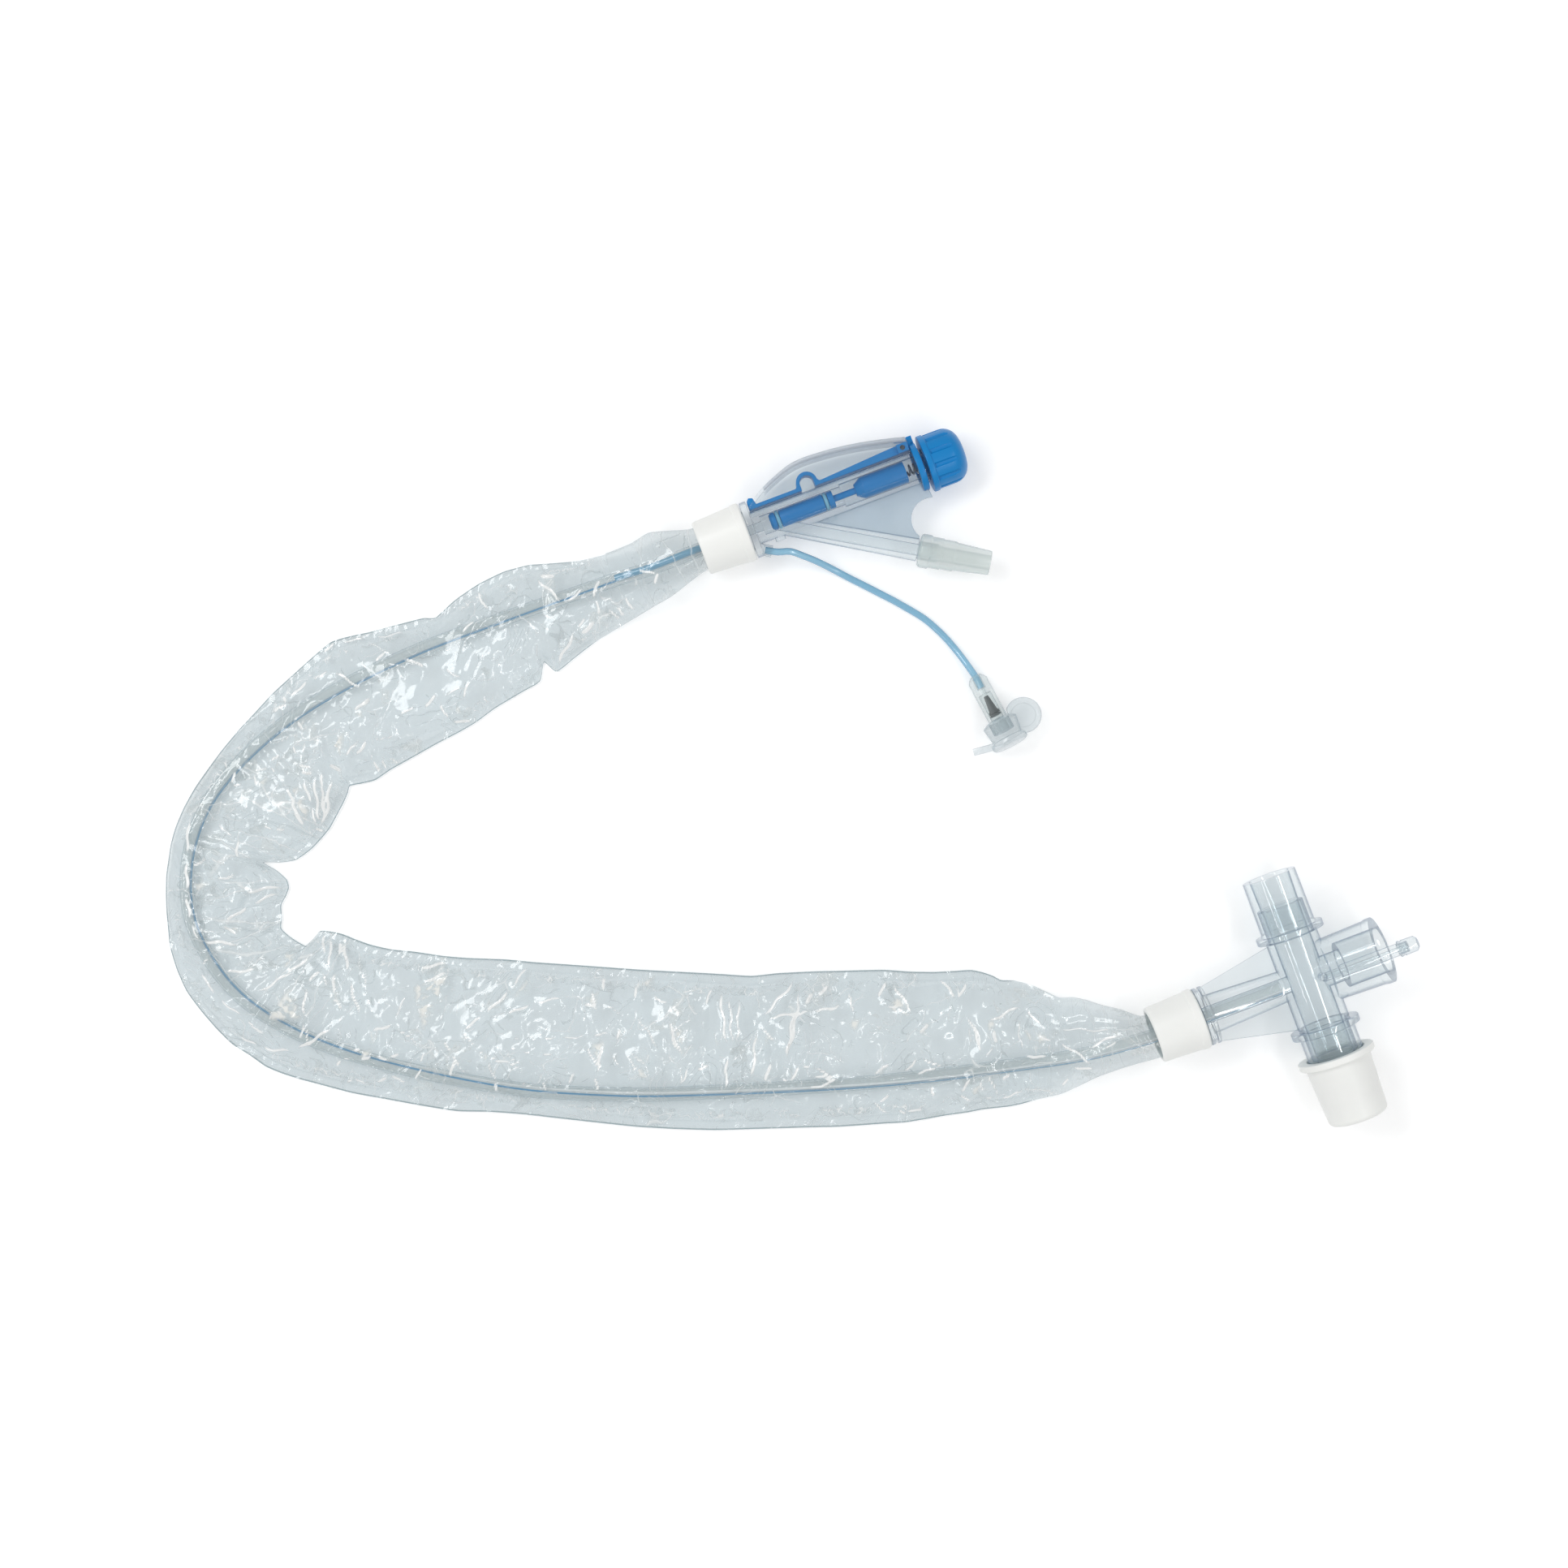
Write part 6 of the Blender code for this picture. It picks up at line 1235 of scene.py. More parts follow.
def vacuum_connector():
    start = BRANCH_LENGTH + RUN_GAP
    socket_r = BRANCH_SPIGOT_R + SEAT_GAP
    seat = start + BRANCH_SPIGOT_LENGTH + RUN_GAP
    profile = (
        (start + CONNECTOR_LENGTH, 4.0), (start + 12.2, 4.7), (start + 11.6, 5.0), (start + 7.6, 5.0),
        (start + 7.6, 5.2), (start + 4.0, 5.2), (start + 3.5, CONNECTOR_COLLAR_R), (start + 0.8, CONNECTOR_COLLAR_R),
        (start, CONNECTOR_COLLAR_R - 0.7), (start, socket_r), (seat, socket_r), (seat, CONNECTOR_BORE_R),
        (start + CONNECTOR_LENGTH, CONNECTOR_BORE_R),
    )
    return turned("suction_connector", profile, BRANCH, "X", "milky_moulding", ROUND, 0.3)


# Manifold pieces


def manifold_moulding():
    """Through tube, socket, arm, collar, hub, gussets, gate disc and flush port, as one clear moulding."""
    finish = "clear_moulding"
    top = BODY_UP + NECK_LENGTH
    bottom = -BODY_DOWN - NECK_LENGTH
    main = (
        (top, 0), (top, NECK_R), (BODY_UP, NECK_R), (BODY_UP, BODY_R), (-BODY_DOWN, BODY_R), (-BODY_DOWN, NECK_R),
        (bottom, NECK_R), (bottom, 0),
    )
    body = turned("manifold_moulding", main, MANIFOLD, "Y", finish)
    socket = (
        (SOCKET_END, 0), (SOCKET_END, 11.25), (24.0, 11.2), (23.4, 10.95), (9.8, 10.5), (6.5, 10.5), (6.5, 7.2),
        (3.25, 7.2), (3.25, 0),
    )
    arm = (
        (HUB_END, 0), (HUB_END, HUB_R - 0.6), (HUB_END - 1.0, HUB_R), (COLLAR_END, HUB_R), (COLLAR_END, COLLAR_R),
        (35.4, COLLAR_R), (35.4, COLLAR_R - 1.1), (34.6, COLLAR_R - 1.1), (34.6, COLLAR_R), (COLLAR_AT, COLLAR_R),
        (COLLAR_AT, 6.5), (3.0, 5.0), (3.0, 0),
    )
    gussets = ((-34.0, COLLAR_R - 0.5), (-BODY_R + 1.5, BODY_UP - 0.3), (-BODY_R + 1.5, -BODY_DOWN + 0.3),
               (-34.0, -COLLAR_R + 0.5))
    spigot_end = FLUSH_PORT_END + FLUSH_SPIGOT_LENGTH
    flush = (
        (spigot_end, 0), (spigot_end, FLUSH_SPIGOT_R), (FLUSH_PORT_END, FLUSH_SPIGOT_R), (FLUSH_PORT_END, 2.05),
        (8.9, 2.05), (8.9, 1.35), (2.525, 1.35), (2.525, 0),
    )
    flush_at = MANIFOLD @ Matrix.Translation((0, 0, FLUSH_PORT_HEIGHT))
    riser_at = MANIFOLD @ Matrix.Translation((3.2, 0, 0))
    gate_at = MANIFOLD @ Matrix.Translation((-11.3, 0, 0))
    pieces = [
        turned("socket_outside", socket, MANIFOLD, "X", finish),
        turned("arm_outside", arm, MANIFOLD, "-X", finish),
        slab("gussets", gussets, -0.8, 0.8, MANIFOLD, finish, 0.2),
        turned("gate_disc", ((5.45, 0), (5.45, 2.5), (2.0, 2.5), (2.0, 0)), gate_at, "Z", finish, SMALL_ROUND, 0.2),
        turned("flush_port", flush, flush_at, "X", finish, SMALL_ROUND, 0.2),
        rod("flush_riser", 1.35, BODY_R - 2.2, FLUSH_PORT_HEIGHT + 1.08, riser_at, "Z", finish, TINY_ROUND),
    ]
    combine(body, pieces, "UNION")
    bores = [
        rod("through_bore", THROUGH_BORE_R, bottom - PAST, top + PAST, MANIFOLD, "Y", finish, ROUND),
        rod("socket_bore", 7.6, 12.0, SOCKET_END + PAST, MANIFOLD, "X", finish, ROUND),
        rod("socket_throat", 5.2, 0.7, 13.0, MANIFOLD, "X", finish, 58),
        rod("arm_bore", 2.75, 0, HUB_END + PAST, MANIFOLD, "-X", finish),
        rod("wiper_room", 4.7, HUB_END - 11.2, HUB_END + PAST, MANIFOLD, "-X", finish, ROUND),
        rod("flush_bore", 0.75, 3.2, spigot_end + PAST, flush_at, "X", finish, TINY_ROUND),
    ]
    return combine(body, bores, "DIFFERENCE")


def swivel(name, heading, body_end, radius, end):
    """Clear cone connector with the ring that it is turned by."""
    start = body_end + SEAT_GAP
    neck_bore = NECK_R + SEAT_GAP
    neck_end = body_end + NECK_LENGTH + SEAT_GAP
    ring_end = start + 2.2
    profile = (
        (end, radius - 0.15), (ring_end + 0.8, radius), (ring_end, radius + 0.5), (ring_end, radius + 2.2),
        (start, radius + 2.2), (start, neck_bore), (neck_end, neck_bore), (neck_end, THROUGH_BORE_R + 0.2),
        (end, THROUGH_BORE_R + 0.5),
    )
    return turned(name, profile, MANIFOLD, heading, "clear_moulding", 96)


def flush_port_cap():
    start = FLUSH_PORT_END + RUN_GAP
    seat = FLUSH_PORT_END + FLUSH_SPIGOT_LENGTH + RUN_GAP
    socket_r = FLUSH_SPIGOT_R + RUN_GAP
    end = start + 6.4
    profile = (
        (end, 0), (end, 1.65), (end - 0.9, 2.55), (start + 1.3, 2.62), (start + 1.2, 2.35), (start + 0.8, 2.35),
        (start + 0.7, 2.65), (start, 2.65), (start, socket_r), (seat, socket_r), (seat, 0),
    )
    return turned("flush_port_lid", profile, MANIFOLD @ Matrix.Translation((0, 0, FLUSH_PORT_HEIGHT)), "X",
                  "thin_clear", 48, 0.15)


def protective_cap():
    inner = 9.25 + SEAT_GAP
    tip = 48.4
    corner = [(tip - 1.6 + y, 8.3 + x) for x, y in arc(0, 0, 1.6, 90, 0, 8)]
    profile = [
        (tip, 0), *corner, (28.9, 10.85), (28.3, 11.1), (28.3, 12.45), (27.9, 12.7), (26.1, 12.7), (26.1, inner + 0.1),
        (41.3, inner - 0.15), (tip - 1.4, 7.6), (tip - 1.4, 0),
    ]
    return turned("end_cap", profile, MANIFOLD, "-Y", "white_moulding", 96)


def patient_ferrule():
    start = COLLAR_END + RUN_GAP
    end = start + FERRULE_LENGTH
    mouth = FERRULE_BORE_R + FERRULE_WALL_AT_MOUTH + 0.35
    profile = (
        (end, mouth - FERRULE_EDGE), (end - FERRULE_EDGE, mouth), (start + 3.0, PATIENT_FERRULE_R - 0.3),
        (start + 2.6, PATIENT_FERRULE_R - 0.05), (start + FERRULE_EDGE, PATIENT_FERRULE_R),
        (start, PATIENT_FERRULE_R - FERRULE_EDGE), (start, FERRULE_BORE_R), (end, FERRULE_BORE_R),
    )
    return turned("ferrule_at_manifold", profile, MANIFOLD, "-X", "white_moulding", 96)


# Tubes


def catheter_line(count=240):
    """The catheter's centre line in millimetres, and its length."""
    vx, vy = VALVE_AT
    hub_out = vx - HUB_LENGTH
    level = [Vector((vx - 1.6, vy, 0)), Vector((hub_out, vy, 0)), Vector((hub_out - 5.0, vy, 0))]
    level += [Vector((x, y, 0)) for x, y in CATHETER_ROUTE]
    level += [Vector((-HUB_END - 5.0, 0, 0)), Vector((-HUB_END, 0, 0))]
    level += [Vector((-COLLAR_AT, 0, 0)), Vector((-THROUGH_BORE_R - 3.0, 0, 0))]
    points, length = evenly(through(level, 10), count)
    for i, point in enumerate(points):
        along = length * i / (len(points) - 1)
        down_valve = ease((along - HUB_LENGTH + 1.6 - 5.0) / 45.0)
        down_manifold = ease((length - along - HUB_END + THROUGH_BORE_R + 3.0 - 5.0) / 45.0)
        if along < length / 2:
            point.z = mix(VALVE_Z - CATHETER_BELOW_AXIS, CATHETER_Z, down_valve)
        else:
            point.z = mix(MANIFOLD_Z, CATHETER_Z, down_manifold)
    return points, length


def check_valve_pitch():
    """The check valve leans up towards the soft cap's wider rim."""
    return math.asin((6.0 - CHECK_VALVE_R) / (CHECK_VALVE_LENGTH - 3.0))


def irrigation_points():
    """The irrigation line's route in metres, as the engineering model has it."""
    along = Vector((math.cos(GLAND_ANGLE), math.sin(GLAND_ANGLE)))
    gland = Vector(VALVE_AT) + Vector(GLAND_AT)
    heading = Vector((math.cos(CHECK_VALVE_HEADING), math.sin(CHECK_VALVE_HEADING)))
    end = Vector(CHECK_VALVE_AT)
    route = [gland + along * (GLAND_LENGTH * 0.5), gland + along * (GLAND_LENGTH + 1.0)]
    route += [Vector(point) for point in IRRIGATION_ROUTE] + [end, end + heading * (CHECK_VALVE_SOCKET - RUN_GAP)]
    points, length = evenly(through([p.to_3d() for p in route], 8), 22)
    lying = FLUSH_R + IRRIGATION_LIFT
    top = CHECK_VALVE_R + IRRIGATION_LIFT
    slope = math.tan(check_valve_pitch())
    for i, point in enumerate(points):
        reach = length * i / (len(points) - 1)
        from_end = length - reach - CHECK_VALVE_SOCKET + RUN_GAP
        low = mix(VALVE_Z, lying, ease((reach - GLAND_LENGTH) / IRRIGATION_DROP))
        rise = ease((IRRIGATION_RISE - from_end) / IRRIGATION_RISE)
        point.z = mix(low, top, rise) if from_end > 0 else top - from_end * slope
    points, length = evenly(through(points, 4), 64)
    return [PLACE @ point for point in points], length * MM


def line_end():
    """Where the check valve sits and points."""
    pitch = check_valve_pitch()
    level = math.cos(pitch)
    heading = Vector((math.cos(CHECK_VALVE_HEADING) * level, math.sin(CHECK_VALVE_HEADING) * level, math.sin(pitch)))
    at = Matrix.Translation((*CHECK_VALVE_AT, CHECK_VALVE_R + IRRIGATION_LIFT))
    return PLACE @ at @ heading.to_track_quat("Z", "Y").to_matrix().to_4x4()


def irrigation_cord():
    points, length = irrigation_points()
    curve = bpy.data.curves.new("flushing_line", "CURVE")
    curve.dimensions = "3D"
    curve.bevel_depth = FLUSH_R * MM
    curve.bevel_resolution = 6
    curve.use_fill_caps = True
    spline = curve.splines.new("POLY")
    spline.points.add(len(points) - 1)
    for point, at in zip(spline.points, points):
        point.co = (*at, 1)
    spline.use_smooth = True
    obj = bpy.data.objects.new("flushing_line", curve)
    bpy.context.scene.collection.objects.link(obj)
    curve.materials.append(material_of("pale_blue_tube"))
    return obj, points, length


def check_valve_pieces():
    """Housing, insert, disc and the soft cap with its tether loop and pull tab."""
    end = line_end()
    r = CHECK_VALVE_R
    bore = FLUSH_R + RUN_GAP
    housing = (
        (CHECK_VALVE_LENGTH, r - 0.1), (4.6, r), (4.4, r - 0.15), (2.0, r), (0.8, r - 0.7), (0, r - 1.6), (0, bore),
        (4.8, bore), (4.8, bore - 0.7), (6.8, bore - 0.7), (6.8, 2.2), (CHECK_VALVE_LENGTH, 2.2),
    )
    insert = ((14.0, 0), (14.0, 1.9), (13.2, 1.9), (13.2, 1.5), (7.6, 0.8), (7.6, 0))
    disc = ((14.8, 0), (14.8, 1.95), (14.3, 1.95), (14.3, 0))
    start = CHECK_VALVE_LENGTH - 4.0
    cap_end = start + 9.4
    socket_r = r + RUN_GAP
    cap_profile = (
        (cap_end, 0), (cap_end, 5.5), (cap_end - 0.7, 6.3), (start + 7.2, 6.2), (start + 6.8, 5.2), (start + 1.0, 6.0),
        (start, socket_r + 0.8), (start, socket_r), (CHECK_VALVE_LENGTH + RUN_GAP, socket_r),
        (CHECK_VALVE_LENGTH + RUN_GAP, 1.9), (16.0, 1.9), (16.0, 0),
    )
    cap = turned("soft_cap", cap_profile, end, "Z", "soft_grey", 64, 0.3)
    loop_at = end @ Matrix.Translation((8.0, 0, start + 2.4))
    bead = [(1.1 * math.sin(a), 4.9 + 1.1 * math.cos(a)) for a in (2 * math.pi * i / 16 for i in range(16, 0, -1))]
    loop = turned("tether_loop", bead, loop_at, "Y", "soft_grey", 56, 0)
    web = rod("tether_web", 4.9, -0.45, 0.45, loop_at, "Y", "soft_grey", 56)
    tab_at = end @ Matrix.Translation((-3.4, 0, cap_end - 1.6)) @ Matrix.Rotation(math.radians(-12), 4, "Y")
    tab = box("pull_tab", (-9.0, -0.65, -1.15), (0, 0.65, 1.15), tab_at, "soft_grey", 0.25)
    clear = rod("tether_clear", socket_r + 0.3, start - 12, CHECK_VALVE_LENGTH + 1.0, end, "Z", "soft_grey")
    combine(combine(loop, [web], "UNION"), [clear], "DIFFERENCE")
    combine(cap, [loop, tab], "UNION")
    return (
        turned("line_valve_shell", housing, end, "Z", "soft_clear", 56, 0.2),
        turned("line_valve_cone", insert, end, "Z", "dark_rubber", SMALL_ROUND, 0.1),
        turned("line_valve_disc", disc, end, "Z", "dark_rubber", SMALL_ROUND, 0.1),
        cap,
    )


# Film sleeve


def sleeve_rails():
    """Both edges of the sleeve as one line of 4-D points, with a round neck in each ferrule."""
    vx, vy = VALVE_AT
    neck = SLEEVE_NECK_R
    mouth = FERRULE_LENGTH + 1.5
    far = COLLAR_END + RUN_GAP + mouth
    first = [Vector((vx - back, vy + neck, vx - back, vy - neck)) for back in (2.5, mouth * 0.6, mouth)]
    last = [Vector((-back, -neck, -back, neck)) for back in (far, far - mouth * 0.4, COLLAR_END + 2.8)]
    return first + [Vector(edge) for edge in SLEEVE_EDGES] + last


def ridged(place, seed):
    """0 in the open and 1 on sharp lines between irregular cells."""
    distances, _ = noise.voronoi(place + Vector((seed, 0, 0)), distance_metric="DISTANCE")
    return max(0.0, 1.0 - (distances[1] - distances[0]) * 1.6) ** 2.5


def facets(place, seed):
    """Flat facets with sharp creases between them, from about -1 to 1."""
    turned_place = Vector((place.x * 0.8 - place.y * 0.6, place.x * 0.6 + place.y * 0.8, seed))
    distances, _ = noise.voronoi(turned_place, distance_metric="MANHATTAN")
    return distances[0] * 2.0 - 1.0


def traced_creases(places):
    """Ridge height, strength of the painted highlight along the lines, and painted glare that the traced creases and
    flats give at these places.
    """
    rise = np.zeros(len(places))
    line = np.zeros(len(places))
    glare = np.zeros(len(places))
    for x0, y0, x1, y1, wide in FILM_CREASES:
        run = np.array((x1 - x0, y1 - y0))
        length = np.hypot(*run)
        away = places - (x0, y0)
        along = away @ run / length
        aside = (away[:, 1] * run[0] - away[:, 0] * run[1]) / length
        aside += 0.35 * np.sin(along * 0.75 + x0) * np.minimum(length / 8.0, 1.0)
        from_end = np.minimum(along, length - along)
        taper = np.clip(from_end / (0.3 * length) + 0.15, 0, 1)
        slope = np.where(aside > 0, np.exp(-np.abs(aside) / 2.6), np.exp(-np.abs(aside) / 0.6))
        rise = np.maximum(rise, 1.1 * wide * taper * slope)
        line = np.maximum(line, min(1.15 * wide, 1.0) * taper * np.exp(-(aside / (0.30 + 0.36 * wide)) ** 2))
    for flat in FILM_PATCHES:
        corners = np.array(flat).reshape(3, 2)
        middle = corners.mean(axis=0)
        inside = np.full(len(places), 9.0)
        for a, b in zip(corners, np.roll(corners, -1, axis=0)):
            run = (b - a) / np.hypot(*(b - a))
            normal = np.array((-run[1], run[0]))
            normal *= np.sign((middle - a) @ normal)
            inside = np.minimum(inside, (places - a) @ normal)
        glare = np.maximum(glare, np.clip(inside / 1.8 + 0.25, 0, 1))
    return rise, line, glare


def drift(place):
    """A smooth vector that changes with the place. Blender's own noise_vector differs from run to run."""
    return Vector([noise.noise(place + Vector((0, 0, level))) for level in (0.0, 31.7, 67.3)])


def film_height(along, v, width, given, near, bend):
    """How high the upper film stands at a place, in mm over the lower one, and how creased it is there."""
    open_to = 1.0 - given.weld
    inside = min(abs(v) / open_to, 1.0)
    pillow = (1.0 - inside ** 2.4) ** 0.8
    across = v * width
    warp = drift(Vector((along / 28.0, across / 28.0, 1.0))) * 0.35
    large = facets(Vector((along / 38.0, across / 26.0, 0.0)) + warp, 3.0)
    middle_place = Vector((along / 16.0, across / 11.0, 4.0)) + warp * 1.6
    medium = facets(middle_place, 9.0)
    medium_sharp = ridged(middle_place, 21.0)
    small = facets(Vector((along / 6.5, across / 5.5, 6.0)) + warp * 2.4, 17.0)
    slow = noise.noise(Vector((along / 75.0, v * 0.6, 7.0)))
    busy = ease(0.5 + 1.9 * noise.noise(Vector((along / 26.0, across / 22.0, 15.0))))
    height = given.puff * pillow * (0.80 + 0.32 * slow)
    height += pillow ** 0.5 * given.fold * 0.6 * large
    height += pillow ** 0.5 * given.crumple * ((0.35 + 0.65 * busy) * medium + busy * 0.45 * small)
    comb_here = ease((abs(v) - 0.55) / 0.3) * ease(0.45 + 1.5 * noise.noise(Vector((along / 40.0, v * 2.0, 31.0))))
    comb = math.sin(2 * math.pi * (along / 3.2 + 0.7 * noise.noise(Vector((along / 11.0, v * 3.0, 2.0)))))
    height += 0.4 * comb * comb_here * (1.0 - ease((abs(v) - open_to) / given.weld))
    if bend > 0:
        fan = noise.noise(Vector((along / 3.6, v * 1.1, 41.0)))
        height += bend * ease((v + 0.7) / 1.2) * 2.4 * fan * pillow ** 0.4
    pleat = math.cos(2 * math.pi * (v * 3.1 + 0.25 * noise.noise(Vector((along / 16.0, v, 51.0)))))
    height += ease(1 - near / 60.0) * 1.1 * pleat * pillow
    return height, medium_sharp * busy


def film_rows(given):
    """Places and shape of every section of the film, with v running from 1 at the outer edge to -1."""
    dense = through(sleeve_rails(), 16, 0.6)
    middles = [Vector(((p[0] + p[2]) / 2, (p[1] + p[3]) / 2)) for p in dense]
    reach = reaches(middles)
    rows = []
    for along, i, share in spread(reach, given.stations):
        edges = dense[i].lerp(dense[i + 1], share)
        outer, inner = Vector(edges[:2]), Vector(edges[2:])
        rows.append((along, (outer + inner) / 2, (outer - inner) / 2))
    return rows, reach[-1]


def film_sleeve():
    """The film tube, from ferrule to ferrule, and the length that it was cut to."""
    given = settings().film
    rows, total = film_rows(given)
    count = given.around
    top_count = round(count * 0.7)
    across = []
    for k in range(count):
        t = k / top_count if k <= top_count else (count - k) / (count - top_count)
        across.append(0.45 * math.cos(math.pi * t) + 0.55 * (1 - 2 * t))
    places = np.array([tuple(centre + half * v) for _, centre, half in rows for v in across])
    rise, line, glare = traced_creases(places)
    under = KDTree(ROUTE_POINTS)
    route, route_length = catheter_line(ROUTE_POINTS)
    for i, point in enumerate(route):
        under.insert((point.x, point.y, 0), i)
    under.balance()
    shape = bmesh.new()
    uv = shape.loops.layers.uv.new(TUBE_UV)
    weld, crease, lit, fanned = (shape.verts.layers.float.new(name) for name in ("weld", "crease", "glare", "fan"))
    rings = []
    n = 0
    for along, _, half in rows:
        from_valve = along - FERRULE_LENGTH
        from_manifold = total - along - FERRULE_LENGTH
        near, axis_z = (from_valve, VALVE_Z) if from_valve < from_manifold else (from_manifold, MANIFOLD_Z)
        shaped = ease(near / 42.0)
        top = mix(axis_z + SLEEVE_NECK_R, given.puff, ease(near / 64.0))
        bottom = mix(axis_z - SLEEVE_NECK_R, 0.0, ease(near / 40.0))
        bend = ease((along - 150.0) / 30.0) * ease((300.0 - along) / 30.0)
        ring = []
        for k, v in enumerate(across):
            over = k <= top_count
            flange = FILM_FLANGE + bottom
            side = math.sqrt(max(1 - v * v, 0.0)) * (1 if over else -1)
            z = (top + bottom) / 2 + (top - bottom) / 2 * side
            creased = 0.0
            if over:
                height, creased = film_height(along, v, half.length, given, max(near, 0.0), bend)
                height += rise[n] * (1 - 0.6 * abs(v) ** 6)
                _, i, away = under.find((*places[n], 0))
                beside_lumen = i * route_length / (ROUTE_POINTS - 1) < HUB_LENGTH + FLUSH_IN_SLEEVE + 2.0
                stack = BORE_SPACING + FLUSH_R if beside_lumen else CATHETER_R
                covering = route[i].z + stack + 0.4 - flange - max(0.0, away - 1.6) * 0.8
                height = max(height, covering + 0.25 * rise[n])
                z = mix(z, flange + max(height, 0.0), shaped) + (1 - shaped) * ease(near / 10.0) * height * 0.12
                if near > 0:
                    z = max(z, flange + covering)
            else:
                z = mix(z, flange - 0.8 * (1 - abs(v) ** 3), shaped)
            vert = shape.verts.new(PLACE @ Vector((*places[n], max(z, FILM_LOWEST))))
            vert[weld] = abs(v) * shaped
            # crease, glare and fan place the film shader's painted highlights and painted glare
            vert[crease] = max(0.4 * creased, line[n]) * ease(near / 12.0) if over else 0.0
            vert[lit] = glare[n] if over else 0.0
            vert[fanned] = max(bend * ease((0.75 - v) / 0.9), 0.8 * ease(1 - near / 60.0)) * (1.0 if over else 0.5)
            ring.append(vert)
            n += 1
        rings.append(ring)
    for a, b, (a_along, _, a_half), (b_along, _, b_half) in zip(rings, rings[1:], rows, rows[1:]):
        for k in range(count):
            j = (k + 1) % count
            face = shape.faces.new((a[k], b[k], b[j], a[j]))
            side = 0.0 if k < top_count else 2.0
            spots = (
                (a_along, across[k] * a_half.length), (b_along, across[k] * b_half.length),
                (b_along, across[j] * b_half.length), (a_along, across[j] * a_half.length),
            )
            for loop, (u, w) in zip(face.loops, spots):
                loop[uv].uv = (u / 100, w / 100 + side)
    obj = object_of("film_tube", shape, "crumpled_film")
    obj.data.polygons.foreach_set("use_smooth", [True] * len(obj.data.polygons))
    return obj, total


# Operators


class PieceOperator:
    """What the operators share."""

    bl_options = {"REGISTER", "UNDO"}


class CATHETER_OT_camera(PieceOperator, Operator):
    """Adds the camera over the set"""

    bl_idname = "catheter.camera"
    bl_label = "Camera"

    def execute(self, context):
        stage = settings().stage
        lens = bpy.data.cameras.new("camera_above")
        lens.sensor_width = SENSOR
        lens.lens = SENSOR * (stage.height - 0.01) / stage.wide
        lens.clip_start = 0.01
        camera = bpy.data.objects.new("camera_above", lens)
        context.scene.collection.objects.link(camera)
        aim = PLACE @ Vector(CAMERA_AIM)
        camera.location = (aim.x, aim.y, stage.height)
        camera.rotation_euler = (0, 0, CAMERA_TURN)
        context.scene.camera = camera
        return {"FINISHED"}


class CATHETER_OT_line(PieceOperator, Operator):
    """Makes the irrigation line with the check valve and soft cap on it"""

    bl_idname = "catheter.irrigation_line"
    bl_label = "Irrigation Line"

    def execute(self, context):
        tube_piece, points, length = irrigation_cord()
        dress(tube_piece, "set", "pale_blue", "irrigation_tube")
        pieces = check_valve_pieces()
        nodes = ("check_valve_housing", "check_valve_insert", "check_disc", "irrigation_cap")
        for piece, node, slot in zip(pieces, nodes, ("milky", "dark", "dark", "milky")):
            dress(piece, "set", slot, node)
        return {"FINISHED"}


class CATHETER_OT_stage(PieceOperator, Operator):
    """Sets up the floor, the lamps and the surroundings"""

    bl_idname = "catheter.stage"
    bl_label = "Floor and Light"

    def execute(self, context):
        stage = settings().stage
        shape = bmesh.new()
        bmesh.ops.create_grid(shape, x_segments=1, y_segments=1, size=3.0)
        floor = object_of("floor", shape, "white_moulding", smooth=False)
        floor.data.materials.clear()
        material, nodes = new_material("table_top")
        cloud = nodes.noise(nodes.add("ShaderNodeTexCoord").outputs["Object"], 6.0)["Fac"]
        colour = nodes.blend(cloud, (0.93, 0.935, 0.94), (0.95, 0.95, 0.95))
        dull = nodes.add("ShaderNodeBsdfDiffuse", {"Color": colour})
        glow = nodes.add("ShaderNodeEmission", {"Color": (1, 1, 1), "Strength": 0.20})
        both = nodes.add("ShaderNodeAddShader", {0: dull, 1: glow})
        path = nodes.add("ShaderNodeLightPath").outputs
        seen = nodes.maths("ADD", path["Is Camera Ray"], path["Is Glossy Ray"], clamp=True)
        seen = nodes.maths("ADD", seen, path["Is Transmission Ray"], clamp=True)
        choose = nodes.add("ShaderNodeMixShader", {0: seen, 1: dull, 2: both})
        floor.data.materials.append(finished(material, nodes, choose))
        floor.location.z = -FLOOR_DROP
        world = bpy.data.worlds.new("surroundings")
        context.scene.world = world
        world.use_nodes = True
        back = world.node_tree.nodes["Background"]
        back.inputs["Color"].default_value = (1, 1, 1, 1)
        back.inputs["Strength"].default_value = stage.fill
        lamps = (
            ("lamp_large", (-0.30, 0.42, 0.75), (0.50, 0.26), stage.key),
            ("lamp_strip", (0.42, -0.18, 0.70), (0.60, 0.05), stage.key * 0.42),
            ("lamp_thin_left", (-0.50, 0.05, 0.62), (0.70, 0.018), stage.key * 0.22),
            ("lamp_thin_near", (0.10, -0.55, 0.60), (0.80, 0.018), stage.key * 0.22),
        )
        for name, at, size, power in lamps:
            data = bpy.data.lights.new(name, "AREA")
            data.shape = "RECTANGLE"
            data.size, data.size_y = size
            data.energy = power
            lamp = bpy.data.objects.new(name, data)
            context.scene.collection.objects.link(lamp)
            lamp.location = at
            lamp.rotation_euler = (-Vector(at)).to_track_quat("-Z", "Y").to_euler()
        context.scene.view_settings.view_transform = "Standard"
        context.scene.cycles.transparent_max_bounces = 24
        return {"FINISHED"}


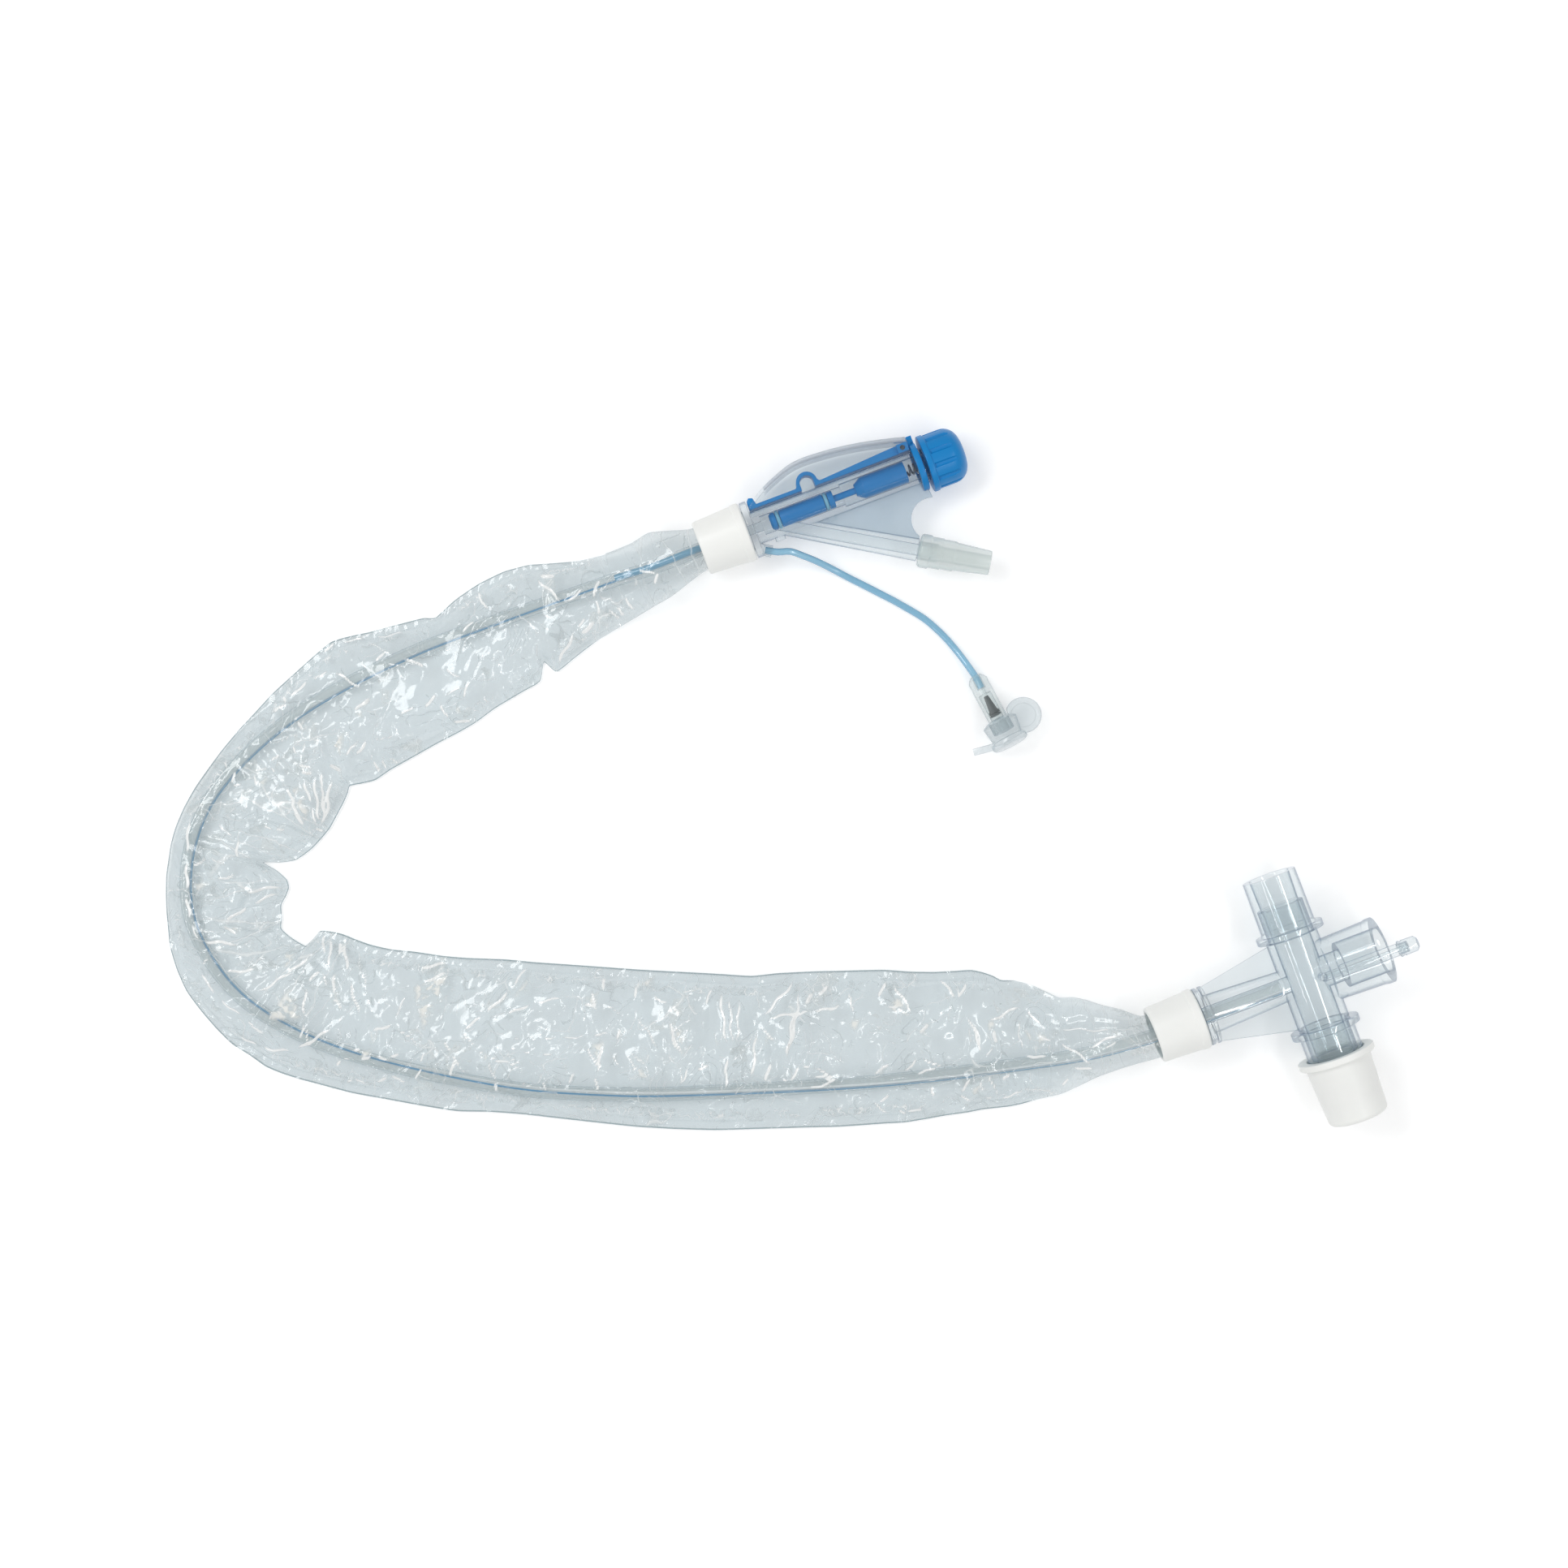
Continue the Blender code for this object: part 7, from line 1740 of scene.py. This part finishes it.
class CATHETER_OT_valve_body(PieceOperator, Operator):
    """Makes the valve's clear moulding, its frosted plate and the ferrule on it"""

    bl_idname = "catheter.valve_body"
    bl_label = "Valve Body"

    def execute(self, context):
        dress(valve_moulding(), "set", "clear", "valve_body")
        dress(valve_plate(), "set", "clear")
        dress(valve_ferrule(), "set", "white", "valve_ferrule")
        return {"FINISHED"}


class CATHETER_OT_valve_works(PieceOperator, Operator):
    """Makes the spool with its seals and the return spring"""

    bl_idname = "catheter.valve_works"
    bl_label = "Spool and Spring"

    def execute(self, context):
        shaft, front, rear = spool_and_seals()
        dress(shaft, "spool", "blue", "valve_spool")
        dress(front, "spool", "seal", "spool_seal_front")
        dress(rear, "spool", "seal", "spool_seal_rear")
        dress(return_spring(), "set", "spring", "return_spring")
        return {"FINISHED"}


class CATHETER_OT_press(PieceOperator, Operator):
    """Makes the thumb press and the blue strip that pushes it back"""

    bl_idname = "catheter.thumb_press"
    bl_label = "Thumb Press and Strip"

    def execute(self, context):
        dress(thumb_press(), "press", "clear", "thumb_press")
        dress(return_strip(), "set", "blue", "return_strip")
        return {"FINISHED"}


class CATHETER_OT_lock(PieceOperator, Operator):
    """Makes the blue lock cap"""

    bl_idname = "catheter.lock_cap"
    bl_label = "Lock Cap"

    def execute(self, context):
        dress(lock_cap(), "lock", "blue", "lock_cap")
        return {"FINISHED"}


class CATHETER_OT_connector(PieceOperator, Operator):
    """Makes the stepped connector on the suction branch"""

    bl_idname = "catheter.vacuum_connector"
    bl_label = "Vacuum Connector"

    def execute(self, context):
        dress(vacuum_connector(), "set", "milky", "vacuum_connector")
        return {"FINISHED"}


class CATHETER_OT_manifold(PieceOperator, Operator):
    """Makes the manifold and the ferrule on its arm"""

    bl_idname = "catheter.manifold"
    bl_label = "Manifold"

    def execute(self, context):
        dress(manifold_moulding(), "set", "clear", "manifold_body")
        dress(patient_ferrule(), "set", "white", "patient_ferrule")
        for node, finish in (("wiper_seal", "silicone"), ("wiper_retainer", "milky_moulding")):
            frame["nodes"][node].data.materials.clear()
            frame["nodes"][node].data.materials.append(material_of(finish))
        return {"FINISHED"}


class CATHETER_OT_swivels(PieceOperator, Operator):
    """Makes both cone connectors that turn on the manifold"""

    bl_idname = "catheter.swivels"
    bl_label = "Swivels"

    def execute(self, context):
        dress(swivel("swivel_above", "Y", BODY_UP, 9.05, 35.4), "upper_swivel", "clear", "upper_swivel")
        dress(swivel("swivel_below", "-Y", BODY_DOWN, 9.25, 41.0), "lower_swivel", "clear", "lower_swivel")
        return {"FINISHED"}


class CATHETER_OT_caps(PieceOperator, Operator):
    """Makes the white end cap and the flush port's lid"""

    bl_idname = "catheter.caps"
    bl_label = "Caps"

    def execute(self, context):
        dress(protective_cap(), "cap", "white", "protective_cap")
        dress(flush_port_cap(), "flush_cap", "clear", "flush_port_cap")
        return {"FINISHED"}


class CATHETER_OT_catheter(PieceOperator, Operator):
    """Makes the catheter and the flushing lumen beside it"""

    bl_idname = "catheter.catheter"
    bl_label = "Catheter"

    def execute(self, context):
        points, length = catheter_line()
        placed = [PLACE @ point for point in points]
        obj = tube("catheter_tube", placed, CATHETER_R * MM, "catheter_tube", 28, CATHETER_WALL * MM,
                   lambda t: math.radians(-90) + 0.9 * math.sin(t * 5.0))
        dress(obj, "set", "clear", "catheter")
        count = int((HUB_LENGTH + FLUSH_IN_SLEEVE) / length * (len(placed) - 1)) + 2
        lifted = [point + Vector((0, 0, BORE_SPACING)) * MM for point in placed[:count]]
        flush = tube("flushing_lumen", lifted, FLUSH_R * MM, "pale_blue_tube", 20, 0.45 * MM)
        dress(flush, "set", "pale_blue", "flush_lumen")
        return {"FINISHED"}


class CATHETER_OT_sleeve(PieceOperator, Operator):
    """Makes the crumpled film sleeve"""

    bl_idname = "catheter.film_sleeve"
    bl_label = "Film Sleeve"

    def execute(self, context):
        film, length = film_sleeve()
        dress(film, "set", "film", "sleeve")
        return {"FINISHED"}


class VIEW3D_PT_catheter(Panel):
    """Lists the pieces and their settings."""

    bl_label = "Closed Suction Catheter"
    bl_idname = "VIEW3D_PT_catheter"
    bl_space_type = "VIEW_3D"
    bl_region_type = "UI"
    bl_category = "Catheter"

    def draw(self, context):
        for operator in OPERATORS:
            self.layout.operator(operator.bl_idname)
        given = settings()
        for label, group in (("Plastics", given.plastic), ("Film", given.film), ("Stage", given.stage)):
            box_of = self.layout.box()
            box_of.label(text=label)
            for name in group.bl_rna.properties.keys():
                if name not in ("rna_type", "name"):
                    box_of.prop(group, name)


OPERATORS = (
    CATHETER_OT_camera, CATHETER_OT_line, CATHETER_OT_stage, CATHETER_OT_valve_body, CATHETER_OT_valve_works,
    CATHETER_OT_press, CATHETER_OT_lock, CATHETER_OT_connector, CATHETER_OT_manifold, CATHETER_OT_swivels,
    CATHETER_OT_caps, CATHETER_OT_catheter, CATHETER_OT_sleeve,
)
CLASSES = (PlasticSettings, FilmSettings, StageSettings, CatheterSettings, *OPERATORS, VIEW3D_PT_catheter)


def register():
    for kind in CLASSES:
        bpy.utils.register_class(kind)
    bpy.types.Scene.suction_catheter = PointerProperty(type=CatheterSettings)


def unregister():
    del bpy.types.Scene.suction_catheter
    for kind in reversed(CLASSES):
        bpy.utils.unregister_class(kind)


def main():
    register()
    for operator in OPERATORS:
        getattr(bpy.ops.catheter, operator.bl_idname.split(".")[1])()
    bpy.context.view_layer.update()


if __name__ == "__main__":
    main()
